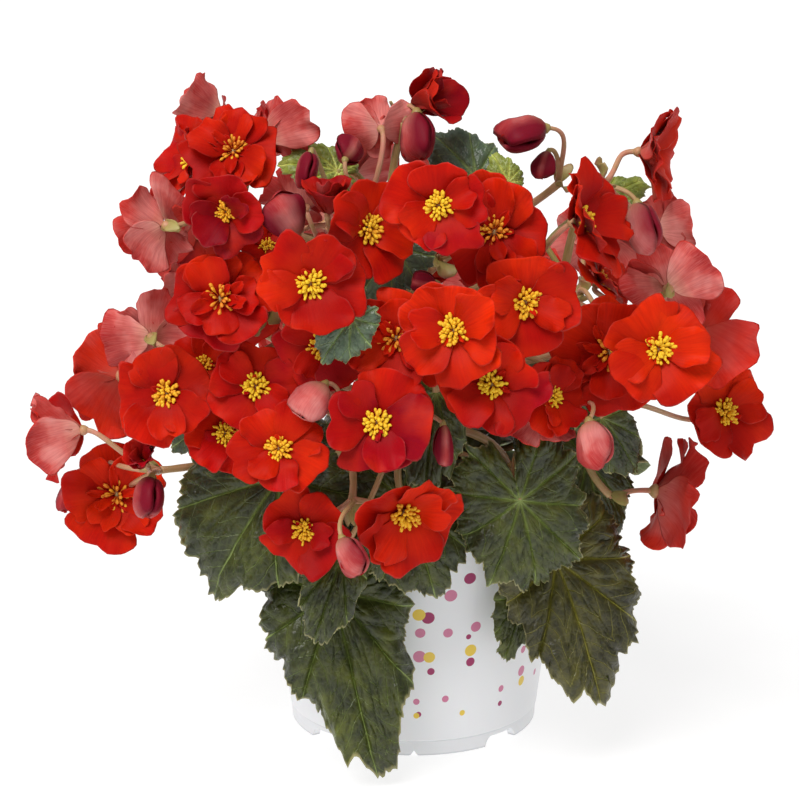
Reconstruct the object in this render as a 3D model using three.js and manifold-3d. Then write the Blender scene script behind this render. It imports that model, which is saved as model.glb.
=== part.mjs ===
// Potted begonia: white moulded nursery pot, potting soil, main stems, leaves with their
// petioles, and flower cymes (peduncle, pedicels, flowers and buds grown as one piece).
// Millimetres, +Z up, origin on the pot's axis at the surface it stands on.
import * as THREE from 'three';
import { mergeVertices } from 'three/addons/utils/BufferGeometryUtils.js';
import Module from 'manifold-3d';

// ---------------------------------------------------------------- driving dimensions
const FOOT_R = 57.4;          // outer radius of the foot ring
const FOOT_WIDTH = 4.0;       // radial width of the foot ring
const LEDGE_Z = 7.6;          // parting ledge above the foot
const FLOOR_UNDER = 4.8;      // underside of the pot's floor
const FLOOR_TOP = 6.6;        // upper side of the pot's floor
const RIM_Z = 112;            // height of the pot
const RIM_R = 73.0;           // outer radius of the rolled rim
const WALL = 1.3;             // wall thickness
const SOIL_TOP = 98;          // soil level at the wall
const DRAIN_R = 4.0;          // drainage hole radius
const DRAIN_RING = 38;        // radius of the ring of drainage holes
const ARCH_W = 20;            // width of the four foot arches
const ARCH_H = 4.6;           // their height
const NOTCH_W = 3.6;          // width of the four small foot notches
const STEM_GAP = 0.35;        // clearance where a stalk meets the stem that carries it
const LEAF_T = 1.5;           // blade thickness
const PETAL_T = 1.5;          // petal layer thickness at mid radius

// ---------------------------------------------------------------- where things grow (mm)
// Stems, stalks: four control points of a cubic curve and the radii at its two ends.
const STEMS = {
  stem_left: { c: [[-20.0,-10.0,88.0],[-33.0,-17.1,116.3],[-66.9,-31.9,134.3],[-78.3,-35.6,164.4]], r0: 4.2, r1: 2.8 },
  stem_upper_left: { c: [[-8.0,6.0,88.0],[-16.0,8.0,140.0],[-52.0,-8.0,180.0],[-58.0,-30.0,238.0]], r0: 4.4, r1: 2.6 },
  stem_middle: { c: [[6.0,-8.0,88.0],[2.0,-26.0,140.0],[8.0,-62.0,170.0],[-10.0,-52.0,244.0]], r0: 4.8, r1: 2.8 },
  stem_right: { c: [[22.0,-4.0,88.0],[40.0,-14.0,118.0],[72.0,-34.0,140.0],[66.0,-40.0,222.0]], r0: 4.6, r1: 2.8 },
  stem_back: { c: [[2.0,22.0,88.0],[-4.0,50.0,120.0],[6.0,70.0,160.0],[8.0,66.0,220.0]], r0: 4.4, r1: 2.6 },
};
// Leaves: stalk end P0, tip P3, upper side nh, width w, asymmetry, arch, cross curvature k, fold.
const LEAVES = {
  leaf_left: { P0: [-59.0,-83.2,141.9], P3: [-92.0,-85.2,87.1], nh: [-0.25,-0.827,0.504], w: 1.02, asym: -0.15, arch: 0.050, k: 0.30, fold: 0.00, kind: 'ov',
    pet: { c: [[-68.0,-31.7,146.0],[-69.9,-43.4,156.2],[-51.6,-82.7,154.5],[-58.7,-82.7,141.7]], r0: 2.4, r1: 1.8, stem: 'stem_left' } },
  leaf_front_hanging: { P0: [-35.6,-84.0,89.2], P3: [-17.5,-97.0,9.7], nh: [-0.1,-0.921,0.375], w: 0.74, asym: -0.05, arch: 0.030, k: 0.22, fold: 0.00, kind: 'ov',
    pet: { c: [[-53.9,-25.9,129.8],[-63.8,-65.5,165.0],[-44.1,-89.6,133.1],[-35.6,-83.4,89.1]], r0: 2.4, r1: 1.8, stem: 'stem_left' } },
  leaf_front_small: { P0: [-31.2,-103.0,114.5], P3: [-44.8,-111.0,73.0], nh: [0.05,-0.905,0.423], w: 0.52, asym: 0.00, arch: 0.060, k: 0.30, fold: 0.00, kind: 'ov',
    pet: { c: [[-23.6,2.3,138.1],[-15.2,-37.0,195.2],[12.9,-117.1,198.8],[-31.2,-102.4,114.3]], r0: 1.7, r1: 1.3, stem: 'stem_upper_left' } },
  leaf_front_middle: { P0: [-5.5,-89.0,134.6], P3: [10.2,-99.0,89.9], nh: [0.0,-0.83,0.557], w: 0.88, asym: 0.00, arch: 0.070, k: 0.30, fold: 0.00, kind: 'ov',
    pet: { c: [[44.5,-17.6,120.5],[42.0,-49.8,159.7],[-19.0,-94.9,181.1],[-5.6,-88.4,134.4]], r0: 2.4, r1: 1.8, stem: 'stem_right' } },
  leaf_front_palmate: { P0: [45.8,-95.0,135.1], P3: [55.1,-93.0,91.5], nh: [0.1,-0.901,0.422], w: 0.84, asym: 0.00, arch: 0.050, k: 0.20, fold: 0.00, kind: 'palm',
    pet: { c: [[55.2,-25.2,140.3],[52.4,-41.9,148.5],[38.3,-69.3,151.1],[45.7,-94.4,135.1]], r0: 1.7, r1: 1.3, stem: 'stem_right' } },
  leaf_right_hanging: { P0: [63.2,-68.0,98.6], P3: [84.9,-76.0,32.4], nh: [0.2,-0.899,0.39], w: 0.84, asym: 0.10, arch: 0.050, k: 0.25, fold: 0.00, kind: 'ov',
    pet: { c: [[4.2,-27.3,130.6],[14.2,-49.3,134.1],[70.1,-53.6,116.8],[63.1,-67.4,98.5]], r0: 2.4, r1: 1.8, stem: 'stem_middle' } },
  leaf_right_upper: { P0: [77.2,-46.2,138.5], P3: [84.5,-42.2,89.0], nh: [0.3,-0.813,0.5], w: 0.70, asym: 0.00, arch: 0.080, k: 0.20, fold: 0.00, kind: 'ov',
    pet: { c: [[4.9,-15.1,105.9],[41.3,-35.8,123.8],[70.2,-46.8,162.3],[76.9,-45.7,138.5]], r0: 2.4, r1: 1.8, stem: 'stem_middle' } },
  leaf_small_hanging: { P0: [49.2,-66.0,82.7], P3: [39.9,-70.0,50.7], nh: [0.4,-0.846,0.353], w: 0.55, asym: 0.00, arch: 0.040, k: 0.30, fold: 0.00, kind: 'ov',
    pet: { c: [[4.1,-30.1,136.0],[21.4,-58.5,157.9],[67.8,-57.8,115.9],[49.0,-65.4,82.7]], r0: 1.7, r1: 1.3, stem: 'stem_middle' } },
  leaf_left_inner: { P0: [-25.0,-66.0,143.8], P3: [-62.3,-54.0,95.6], nh: [-0.1,-0.825,0.556], w: 0.68, asym: 0.00, arch: 0.050, k: 0.30, fold: 0.00, kind: 'ov',
    pet: { c: [[3.6,-36.8,149.5],[-2.4,-52.7,157.1],[-15.4,-68.1,152.8],[-24.7,-65.5,143.7]], r0: 2.4, r1: 1.8, stem: 'stem_middle' } },
  leaf_left_small: { P0: [-81.4,-48.8,160.4], P3: [-109.5,-44.8,143.9], nh: [-0.2,-0.745,0.636], w: 0.75, asym: 0.00, arch: 0.060, k: 0.30, fold: 0.00, kind: 'ov',
    pet: { c: [[-41.3,-8.2,178.0],[-64.4,-41.3,189.0],[-65.5,-56.6,174.2],[-81.2,-48.4,160.1]], r0: 1.7, r1: 1.3, stem: 'stem_upper_left' } },
  leaf_top: { P0: [26.9,-46.0,267.9], P3: [7.7,-34.0,285.1], nh: [0.0,-0.858,0.513], w: 0.95, asym: 0.00, arch: 0.080, k: 0.25, fold: 0.00, kind: 'ov',
    pet: { c: [[66.5,-39.2,212.4],[55.4,-19.1,216.0],[35.4,-48.1,253.3],[26.9,-45.5,267.6]], r0: 1.7, r1: 1.3, stem: 'stem_right' } },
  leaf_top_left: { P0: [-34.2,-42.0,270.2], P3: [-59.2,-46.0,274.2], nh: [0.0,-0.78,0.62], w: 0.78, asym: 0.00, arch: 0.100, k: 0.20, fold: 0.00, kind: 'ov',
    pet: { c: [[-35.0,-3.8,163.6],[-19.5,1.9,190.2],[-7.2,-22.0,273.2],[-34.2,-41.7,269.7]], r0: 1.7, r1: 1.3, stem: 'stem_upper_left' } },
  leaf_top_small: { P0: [40.8,-50.0,267.0], P3: [33.9,-44.0,278.2], nh: [-0.1,-0.684,0.723], w: 0.85, asym: 0.00, arch: 0.060, k: 0.20, fold: 0.00, kind: 'ov',
    pet: { c: [[66.7,-38.3,203.4],[75.7,-57.2,219.6],[64.1,-66.5,227.4],[40.7,-49.5,266.7]], r0: 1.7, r1: 1.3, stem: 'stem_right' } },
  leaf_inner_upper: { P0: [-8.1,-86.0,247.0], P3: [-27.1,-84.0,218.2], nh: [-0.1,-0.825,0.556], w: 0.85, asym: 0.00, arch: 0.060, k: 0.30, fold: 0.00, kind: 'ov',
    pet: { c: [[65.5,-34.9,179.5],[39.3,-60.3,218.7],[6.1,-69.1,273.2],[-7.9,-85.5,246.9]], r0: 1.7, r1: 1.3, stem: 'stem_right' } },
  leaf_inner_small: { P0: [-26.4,-130.0,226.9], P3: [-39.1,-128.0,207.3], nh: [0.0,-0.8,0.6], w: 0.85, asym: 0.00, arch: 0.050, k: 0.30, fold: 0.00, kind: 'ov',
    pet: { c: [[-44.9,-11.1,186.9],[-36.7,-52.6,213.5],[-35.6,-112.1,262.4],[-26.2,-129.5,226.8]], r0: 1.7, r1: 1.3, stem: 'stem_upper_left' } },
  leaf_inner_middle: { P0: [9.1,-97.0,185.1], P3: [4.0,-101.0,138.5], nh: [0.0,-0.858,0.513], w: 0.55, asym: 0.00, arch: 0.050, k: 0.30, fold: 0.00, kind: 'ov',
    pet: { c: [[0.2,-51.0,190.7],[7.1,-58.6,196.8],[7.3,-96.4,205.9],[9.1,-96.4,185.1]], r0: 2.4, r1: 1.8, stem: 'stem_middle' } },
  leaf_right_small: { P0: [82.2,-74.0,166.5], P3: [98.3,-66.0,137.3], nh: [0.3,-0.784,0.543], w: 0.72, asym: 0.00, arch: 0.060, k: 0.30, fold: 0.00, kind: 'ov',
    pet: { c: [[-16.7,4.8,120.9],[-4.4,-17.7,208.5],[68.5,-79.5,201.2],[81.8,-73.5,166.5]], r0: 1.7, r1: 1.3, stem: 'stem_upper_left' } },
  leaf_top_right: { P0: [80.8,-42.0,254.9], P3: [102.6,-30.0,262.6], nh: [0.1,-0.592,0.8], w: 0.68, asym: 0.00, arch: 0.120, k: 0.30, fold: 0.00, kind: 'ov',
    pet: { c: [[59.2,-28.4,150.8],[32.4,-48.2,164.2],[39.4,-50.7,243.6],[80.8,-41.6,254.4]], r0: 1.7, r1: 1.3, stem: 'stem_right' } },
  leaf_back_left: { P0: [-42.1,16.4,137.6], P3: [-86.5,69.1,88.3], nh: [-0.168,0.164,0.972], w: 1.00, asym: 0.00, arch: 0.080, k: 0.25, fold: 0.00, kind: 'ov',
    pet: { c: [[0.5,31.7,99.9],[-6.2,29.8,117.2],[-42.1,9.5,115.1],[-42.1,16.4,137.1]], r0: 2.4, r1: 1.8, stem: 'stem_back' } },
  leaf_back_middle: { P0: [-6.5,65.8,120.5], P3: [-34.4,110.0,85.7], nh: [-0.051,0.252,0.966], w: 1.00, asym: 0.00, arch: 0.070, k: 0.25, fold: 0.00, kind: 'ov',
    pet: { c: [[0.8,49.6,128.6],[2.8,37.8,133.9],[-12.8,64.3,103.2],[-6.5,65.8,120.0]], r0: 2.4, r1: 1.8, stem: 'stem_back' } },
  leaf_back_right: { P0: [51.4,26.9,126.6], P3: [80.9,107.0,98.9], nh: [0.091,0.33,0.94], w: 0.98, asym: 0.00, arch: 0.070, k: 0.25, fold: 0.00, kind: 'ov',
    pet: { c: [[0.1,37.7,108.3],[-11.5,32.7,118.5],[44.3,20.7,116.0],[51.4,26.9,126.1]], r0: 2.4, r1: 1.8, stem: 'stem_back' } },
  leaf_back_upper: { P0: [27.3,31.9,170.0], P3: [50.2,-39.6,174.5], nh: [0.162,-0.297,0.941], w: 1.06, asym: 0.00, arch: 0.080, k: 0.25, fold: 0.00, kind: 'ov',
    pet: { c: [[0.2,43.3,117.0],[-6.5,45.3,146.4],[21.5,35.6,151.6],[27.3,31.9,169.5]], r0: 2.4, r1: 1.8, stem: 'stem_back' } },
};
// Flowers and buds: base P, facing n, sideways u, radius R, rim height H or bud length L.
const BLOOMS = {
  A: { kind: 'double', P: [-77.1,-81.5,286.7], n: [-0.12,-0.835,0.538], u: [0.988,-0.048,0.146], R: 19.6, H: 5.1 },
  A2: { kind: 'back', P: [-66.1,-48.0,286.6], n: [0.62,0.744,0.25], u: [-0.745,0.458,0.484], R: 14.5, H: 5.2 },
  A3: { kind: 'back', P: [-85.8,-28.0,293.2], n: [-0.859,0.479,0.18], u: [-0.13,-0.544,0.829], R: 14.5, H: 5.2 },
  B: { kind: 'side', P: [-95.3,-52.1,277.3], n: [-0.86,-0.442,0.255], u: [0.457,-0.889,0.0], R: 17.4, H: 7.3 },
  C: { kind: 'back', P: [-106.3,-88.2,256.3], n: [-0.72,0.694,-0.017], u: [-0.656,-0.673,0.342], R: 18.0, H: 6.5 },
  C2: { kind: 'back', P: [-93.8,-63.8,246.1], n: [-0.15,0.847,-0.51], u: [-0.701,0.273,0.659], R: 14.8, H: 5.3 },
  D: { kind: 'cup', P: [-79.3,-104.1,266.2], n: [-0.12,-0.979,0.163], u: [0.964,-0.076,0.255], R: 16.4, H: 8.2 },
  E: { kind: 'double', P: [-82.2,-107.3,229.1], n: [-0.06,-0.952,0.301], u: [0.777,0.145,0.613], R: 21.2, H: 5.5 },
  E2: { kind: 'open', P: [-63.5,-92.5,247.7], n: [0.25,-0.654,0.714], u: [0.934,0.357,0.0], R: 12.8, H: 3.3 },
  G: { kind: 'open', P: [-43.9,-128.5,241.1], n: [0.08,-0.956,0.281], u: [0.991,0.107,0.084], R: 20.4, H: 5.3 },
  F: { kind: 'open', P: [-20.7,-106.7,259.9], n: [0.52,-0.825,0.222], u: [0.717,0.563,0.412], R: 21.0, H: 5.5 },
  K: { kind: 'open', P: [9.8,-118.6,272.5], n: [0.0,-0.979,0.205], u: [1.0,0.0,0.0], R: 20.0, H: 5.2 },
  L: { kind: 'double', P: [33.4,-99.1,256.3], n: [0.05,-0.949,0.311], u: [0.933,0.156,0.325], R: 22.4, H: 5.8 },
  CO: { kind: 'back', P: [-14.6,-59.2,292.5], n: [-0.25,0.965,0.081], u: [-0.968,-0.251,0.0], R: 13.0, H: 4.7 },
  I: { kind: 'half', P: [-0.8,-48.0,300.8], n: [0.781,-0.421,0.461], u: [0.444,0.894,0.064], R: 11.5, H: 16.0 },
  TU: { kind: 'half', P: [-37.3,-100.1,264.4], n: [-0.05,-0.087,0.995], u: [0.499,-0.865,-0.05], R: 8.4, H: 14.4 },
  M: { kind: 'side', P: [67.2,-98.3,260.5], n: [0.8,-0.473,0.369], u: [0.509,0.861,0.0], R: 22.9, H: 9.6 },
  N: { kind: 'side', P: [97.8,-49.5,280.3], n: [0.95,-0.312,-0.012], u: [0.247,0.725,0.643], R: 19.2, H: 8.1 },
  P2: { kind: 'back', P: [106.9,-43.1,245.6], n: [0.45,0.88,-0.155], u: [-0.89,0.455,0.0], R: 15.0, H: 5.4 },
  Q: { kind: 'back', P: [110.8,-62.2,221.5], n: [0.15,0.986,0.075], u: [-0.976,0.135,0.173], R: 21.0, H: 7.6 },
  R: { kind: 'back', P: [125.1,-36.4,196.3], n: [0.421,0.862,-0.281], u: [-0.427,0.462,0.777], R: 24.0, H: 8.6 },
  S: { kind: 'open', P: [104.1,-98.0,204.2], n: [0.04,-0.933,0.358], u: [0.961,0.134,0.242], R: 22.3, H: 5.8 },
  T: { kind: 'double', P: [84.6,-82.1,198.9], n: [-0.08,-0.969,0.233], u: [0.827,0.066,0.558], R: 24.3, H: 6.3 },
  O: { kind: 'open', P: [46.2,-114.2,230.1], n: [0.12,-0.987,0.103], u: [0.629,0.156,0.762], R: 21.1, H: 5.5 },
  U: { kind: 'back', P: [-131.5,-33.1,174.0], n: [-0.6,0.752,-0.273], u: [-0.782,-0.624,0.0], R: 26.1, H: 9.4 },
  V: { kind: 'back', P: [-114.4,-74.6,203.1], n: [-0.15,0.986,0.075], u: [-0.75,-0.163,0.641], R: 19.6, H: 7.1 },
  W: { kind: 'open', P: [-106.2,-97.9,184.5], n: [-0.16,-0.932,0.326], u: [0.881,0.014,0.473], R: 20.6, H: 5.4 },
  X: { kind: 'open', P: [-91.9,-82.7,192.7], n: [0.25,-0.852,0.459], u: [0.96,0.281,0.0], R: 14.7, H: 3.8 },
  Y: { kind: 'back', P: [-146.6,-64.8,158.2], n: [-0.932,0.321,-0.17], u: [-0.332,-0.943,0.04], R: 18.0, H: 6.5 },
  Z: { kind: 'double', P: [-134.6,-34.4,118.6], n: [-0.1,-0.96,0.262], u: [0.984,-0.057,0.168], R: 22.7, H: 5.9 },
  AA: { kind: 'half', P: [-116.8,-91.8,151.5], n: [-0.25,-0.695,0.674], u: [0.941,-0.338,0.0], R: 7.2, H: 12.4 },
  AD: { kind: 'open', P: [-82.0,-96.9,166.7], n: [0.1,-0.942,0.319], u: [0.923,0.208,0.324], R: 17.3, H: 4.5 },
  AE: { kind: 'open', P: [-67.9,-105.6,190.3], n: [-0.05,-0.943,0.33], u: [0.655,0.218,0.723], R: 19.7, H: 5.1 },
  AG: { kind: 'open', P: [-39.6,-108.0,208.7], n: [0.0,-0.979,0.205], u: [1.0,0.0,0.0], R: 18.7, H: 4.9 },
  AH: { kind: 'double', P: [-8.1,-116.0,214.4], n: [0.02,-0.965,0.263], u: [0.964,0.088,0.25], R: 20.7, H: 5.4 },
  AI: { kind: 'open', P: [16.5,-132.7,222.0], n: [-0.25,-0.913,0.321], u: [0.965,-0.264,0.0], R: 20.8, H: 5.4 },
  AK: { kind: 'open', P: [-16.1,-132.4,181.9], n: [0.0,-0.965,0.263], u: [1.0,0.0,0.0], R: 21.4, H: 5.6 },
  AL: { kind: 'open', P: [-57.7,-122.7,167.5], n: [-0.05,-0.917,0.395], u: [0.779,0.212,0.59], R: 19.5, H: 5.1 },
  AM: { kind: 'open', P: [-47.3,-113.7,128.6], n: [-0.18,-0.97,0.161], u: [0.973,-0.152,0.171], R: 18.1, H: 4.7 },
  AN: { kind: 'open', P: [-5.1,-120.7,139.1], n: [0.3,-0.914,-0.273], u: [0.827,0.107,0.552], R: 23.1, H: 6.0 },
  AP: { kind: 'open', P: [32.2,-128.2,197.7], n: [0.0,-0.959,0.282], u: [0.94,0.097,0.328], R: 21.0, H: 5.5 },
  AQ: { kind: 'open', P: [57.6,-100.0,183.8], n: [0.5,-0.815,0.292], u: [0.852,0.523,0.0], R: 17.2, H: 4.5 },
  AR: { kind: 'back', P: [52.6,-97.9,178.2], n: [-0.1,0.684,-0.723], u: [-0.989,-0.145,0.0], R: 17.2, H: 6.2 },
  AT: { kind: 'open', P: [141.2,-11.4,150.1], n: [0.45,-0.802,0.392], u: [0.659,0.595,0.46], R: 21.1, H: 5.5 },
  AU: { kind: 'back', P: [108.5,-46.1,123.8], n: [0.943,0.281,-0.181], u: [-0.09,0.735,0.672], R: 27.0, H: 9.7 },
  b1: { kind: 'bud', P: [-49.8,-106.8,256.4], n: [-0.45,-0.155,0.88], u: [-0.872,-0.138,-0.47], R: 9.3, L: 20.2 },
  b2: { kind: 'bud', P: [-44.3,-81.8,287.2], n: [-0.2,-0.498,-0.844], u: [0.979,-0.058,-0.198], R: 6.0, L: 16.2 },
  b3: { kind: 'bud', P: [-29.9,-79.1,283.1], n: [0.2,0.912,0.357], u: [-0.949,0.089,0.303], R: 6.4, L: 14.5 },
  bH: { kind: 'bud', P: [0.9,-54.0,298.9], n: [0.03,-0.505,-0.862], u: [1.0,0.009,0.03], R: 9.8, L: 22.5 },
  bJ: { kind: 'bud', P: [56.2,-69.2,295.0], n: [-0.93,-0.329,-0.164], u: [0.26,-0.273,-0.926], R: 10.3, L: 22.3 },
  bJ2: { kind: 'bud', P: [57.5,-63.4,283.2], n: [-0.3,-0.557,-0.774], u: [0.949,-0.089,-0.303], R: 5.2, L: 12.9 },
  b4: { kind: 'bud', P: [8.8,-106.2,235.9], n: [-0.95,-0.256,0.179], u: [-0.105,-0.281,-0.954], R: 4.2, L: 11.0 },
  bP: { kind: 'bud', P: [95.7,-72.8,262.9], n: [0.22,-0.571,-0.791], u: [0.973,0.066,0.223], R: 9.5, L: 24.1 },
  bAB: { kind: 'bud', P: [-114.3,-93.1,145.5], n: [-0.12,-0.545,-0.83], u: [0.992,-0.035,-0.12], R: 8.7, L: 18.3 },
  bAC: { kind: 'bud', P: [-151.6,-16.2,125.2], n: [-0.42,-0.545,-0.726], u: [0.897,-0.125,-0.425], R: 5.5, L: 23.0 },
  bAJ: { kind: 'bud', P: [-38.0,-122.9,196.2], n: [-0.6,-0.538,-0.592], u: [0.768,-0.181,-0.614], R: 8.0, L: 18.6 },
  bAO: { kind: 'bud', P: [11.8,-122.0,178.3], n: [0.0,-0.507,-0.862], u: [1.0,0.0,0.0], R: 3.8, L: 18.6 },
  bAS: { kind: 'bud', P: [74.5,-107.9,175.4], n: [0.2,-0.583,-0.787], u: [0.977,0.06,0.204], R: 9.4, L: 21.4 },
  bAN: { kind: 'bud', P: [-31.0,-136.6,132.3], n: [0.45,-0.607,-0.655], u: [0.872,0.138,0.47], R: 7.6, L: 18.6 },
  k0: { kind: 'open', P: [-104.9,37.7,197.5], n: [-0.922,0.334,0.194], u: [0.127,-0.211,0.969], R: 22.2, H: 5.8 },
  k1: { kind: 'double', P: [-106.8,82.4,240.0], n: [-0.78,0.498,0.38], u: [-0.522,-0.18,-0.834], R: 22.6, H: 5.9 },
  k2: { kind: 'open', P: [-106.3,91.2,165.0], n: [-0.793,0.609,0.0], u: [0.108,0.141,0.984], R: 23.0, H: 6.0 },
  k3: { kind: 'open', P: [-29.8,89.2,237.7], n: [-0.337,0.758,0.558], u: [0.788,0.551,-0.274], R: 22.5, H: 5.8 },
  k4: { kind: 'open', P: [-43.7,131.5,205.0], n: [-0.441,0.876,0.194], u: [-0.897,-0.436,-0.068], R: 20.6, H: 5.4 },
  k5: { kind: 'open', P: [-56.3,116.3,148.0], n: [-0.576,0.812,-0.092], u: [-0.799,-0.536,0.271], R: 21.2, H: 5.5 },
  k6: { kind: 'double', P: [16.5,120.0,228.4], n: [0.149,0.914,0.378], u: [-0.826,0.325,-0.46], R: 20.0, H: 5.2 },
  k7: { kind: 'open', P: [33.1,132.1,172.0], n: [0.215,0.972,0.098], u: [-0.037,-0.093,0.995], R: 21.0, H: 5.5 },
  k8: { kind: 'open', P: [32.4,65.0,225.8], n: [0.552,0.63,0.547], u: [-0.573,-0.191,0.797], R: 21.7, H: 5.6 },
  k9: { kind: 'open', P: [86.8,101.2,202.4], n: [0.569,0.795,0.209], u: [-0.559,0.189,0.807], R: 23.4, H: 6.1 },
  k10: { kind: 'open', P: [98.6,90.7,150.0], n: [0.69,0.717,-0.099], u: [-0.469,0.339,-0.815], R: 22.6, H: 5.9 },
  k11: { kind: 'double', P: [85.5,44.7,221.2], n: [0.798,0.493,0.346], u: [0.583,-0.776,-0.24], R: 21.0, H: 5.4 },
  k12: { kind: 'open', P: [133.9,38.8,171.6], n: [0.971,0.216,0.1], u: [0.233,-0.784,-0.576], R: 24.5, H: 6.4 },
  kb0: { kind: 'bud', P: [50.8,104.4,140.0], n: [0.244,0.548,-0.8], u: [0.929,0.104,0.355], R: 9.0, L: 22.0 },
  kb1: { kind: 'bud', P: [24.8,76.0,253.0], n: [0.225,0.556,-0.8], u: [0.938,0.098,0.331], R: 9.0, L: 22.0 },
  m0: { kind: 'open', P: [-29.0,9.9,223.5], n: [-0.528,-0.114,0.841], u: [-0.82,0.326,-0.471], R: 17.7, H: 4.8 },
  m1: { kind: 'open', P: [39.7,-15.9,209.9], n: [0.279,-0.422,0.863], u: [-0.88,0.248,0.406], R: 18.9, H: 5.1 },
  m2: { kind: 'open', P: [-73.9,-25.3,193.6], n: [-0.526,-0.424,0.737], u: [-0.848,0.329,-0.416], R: 19.7, H: 5.3 },
  m3: { kind: 'double', P: [-63.4,70.4,186.7], n: [-0.491,0.452,0.745], u: [-0.7,0.305,-0.646], R: 18.5, H: 5.0 },
  m4: { kind: 'open', P: [95.5,5.0,188.2], n: [0.765,0.17,0.621], u: [-0.643,0.13,0.755], R: 18.4, H: 5.0 },
  m5: { kind: 'open', P: [13.2,22.5,245.5], n: [0.017,0.199,0.98], u: [-0.946,0.321,-0.049], R: 19.3, H: 5.2 },
  m6: { kind: 'open', P: [0.0,-29.3,241.5], n: [-0.227,-0.445,0.867], u: [-0.943,0.323,-0.081], R: 20.0, H: 5.4 },
  m7: { kind: 'double', P: [-10.3,53.5,211.6], n: [-0.276,0.354,0.894], u: [-0.857,0.33,-0.395], R: 19.7, H: 5.3 },
  m8: { kind: 'open', P: [-69.0,17.3,195.3], n: [-0.442,0.174,0.88], u: [-0.818,0.325,-0.475], R: 20.2, H: 5.5 },
  m9: { kind: 'open', P: [55.2,25.1,201.3], n: [0.655,0.001,0.756], u: [-0.744,0.176,0.644], R: 20.8, H: 5.6 },
  m10: { kind: 'double', P: [-51.0,45.4,233.4], n: [-0.33,0.653,0.682], u: [-0.708,0.307,-0.637], R: 21.3, H: 5.8 },
  m11: { kind: 'double', P: [82.4,-25.2,214.8], n: [0.746,-0.072,0.662], u: [-0.65,0.134,0.748], R: 17.6, H: 4.8 },
  m12: { kind: 'double', P: [56.2,68.7,193.4], n: [0.54,0.541,0.645], u: [-0.831,0.22,0.512], R: 18.1, H: 4.9 },
  m13: { kind: 'open', P: [-33.7,-25.1,223.0], n: [-0.183,-0.32,0.93], u: [-0.943,0.323,-0.075], R: 18.2, H: 4.9 },
  m14: { kind: 'double', P: [4.6,-3.7,215.2], n: [-0.115,-0.28,0.953], u: [-0.948,0.318,-0.02], R: 21.1, H: 5.7 },
};
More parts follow.
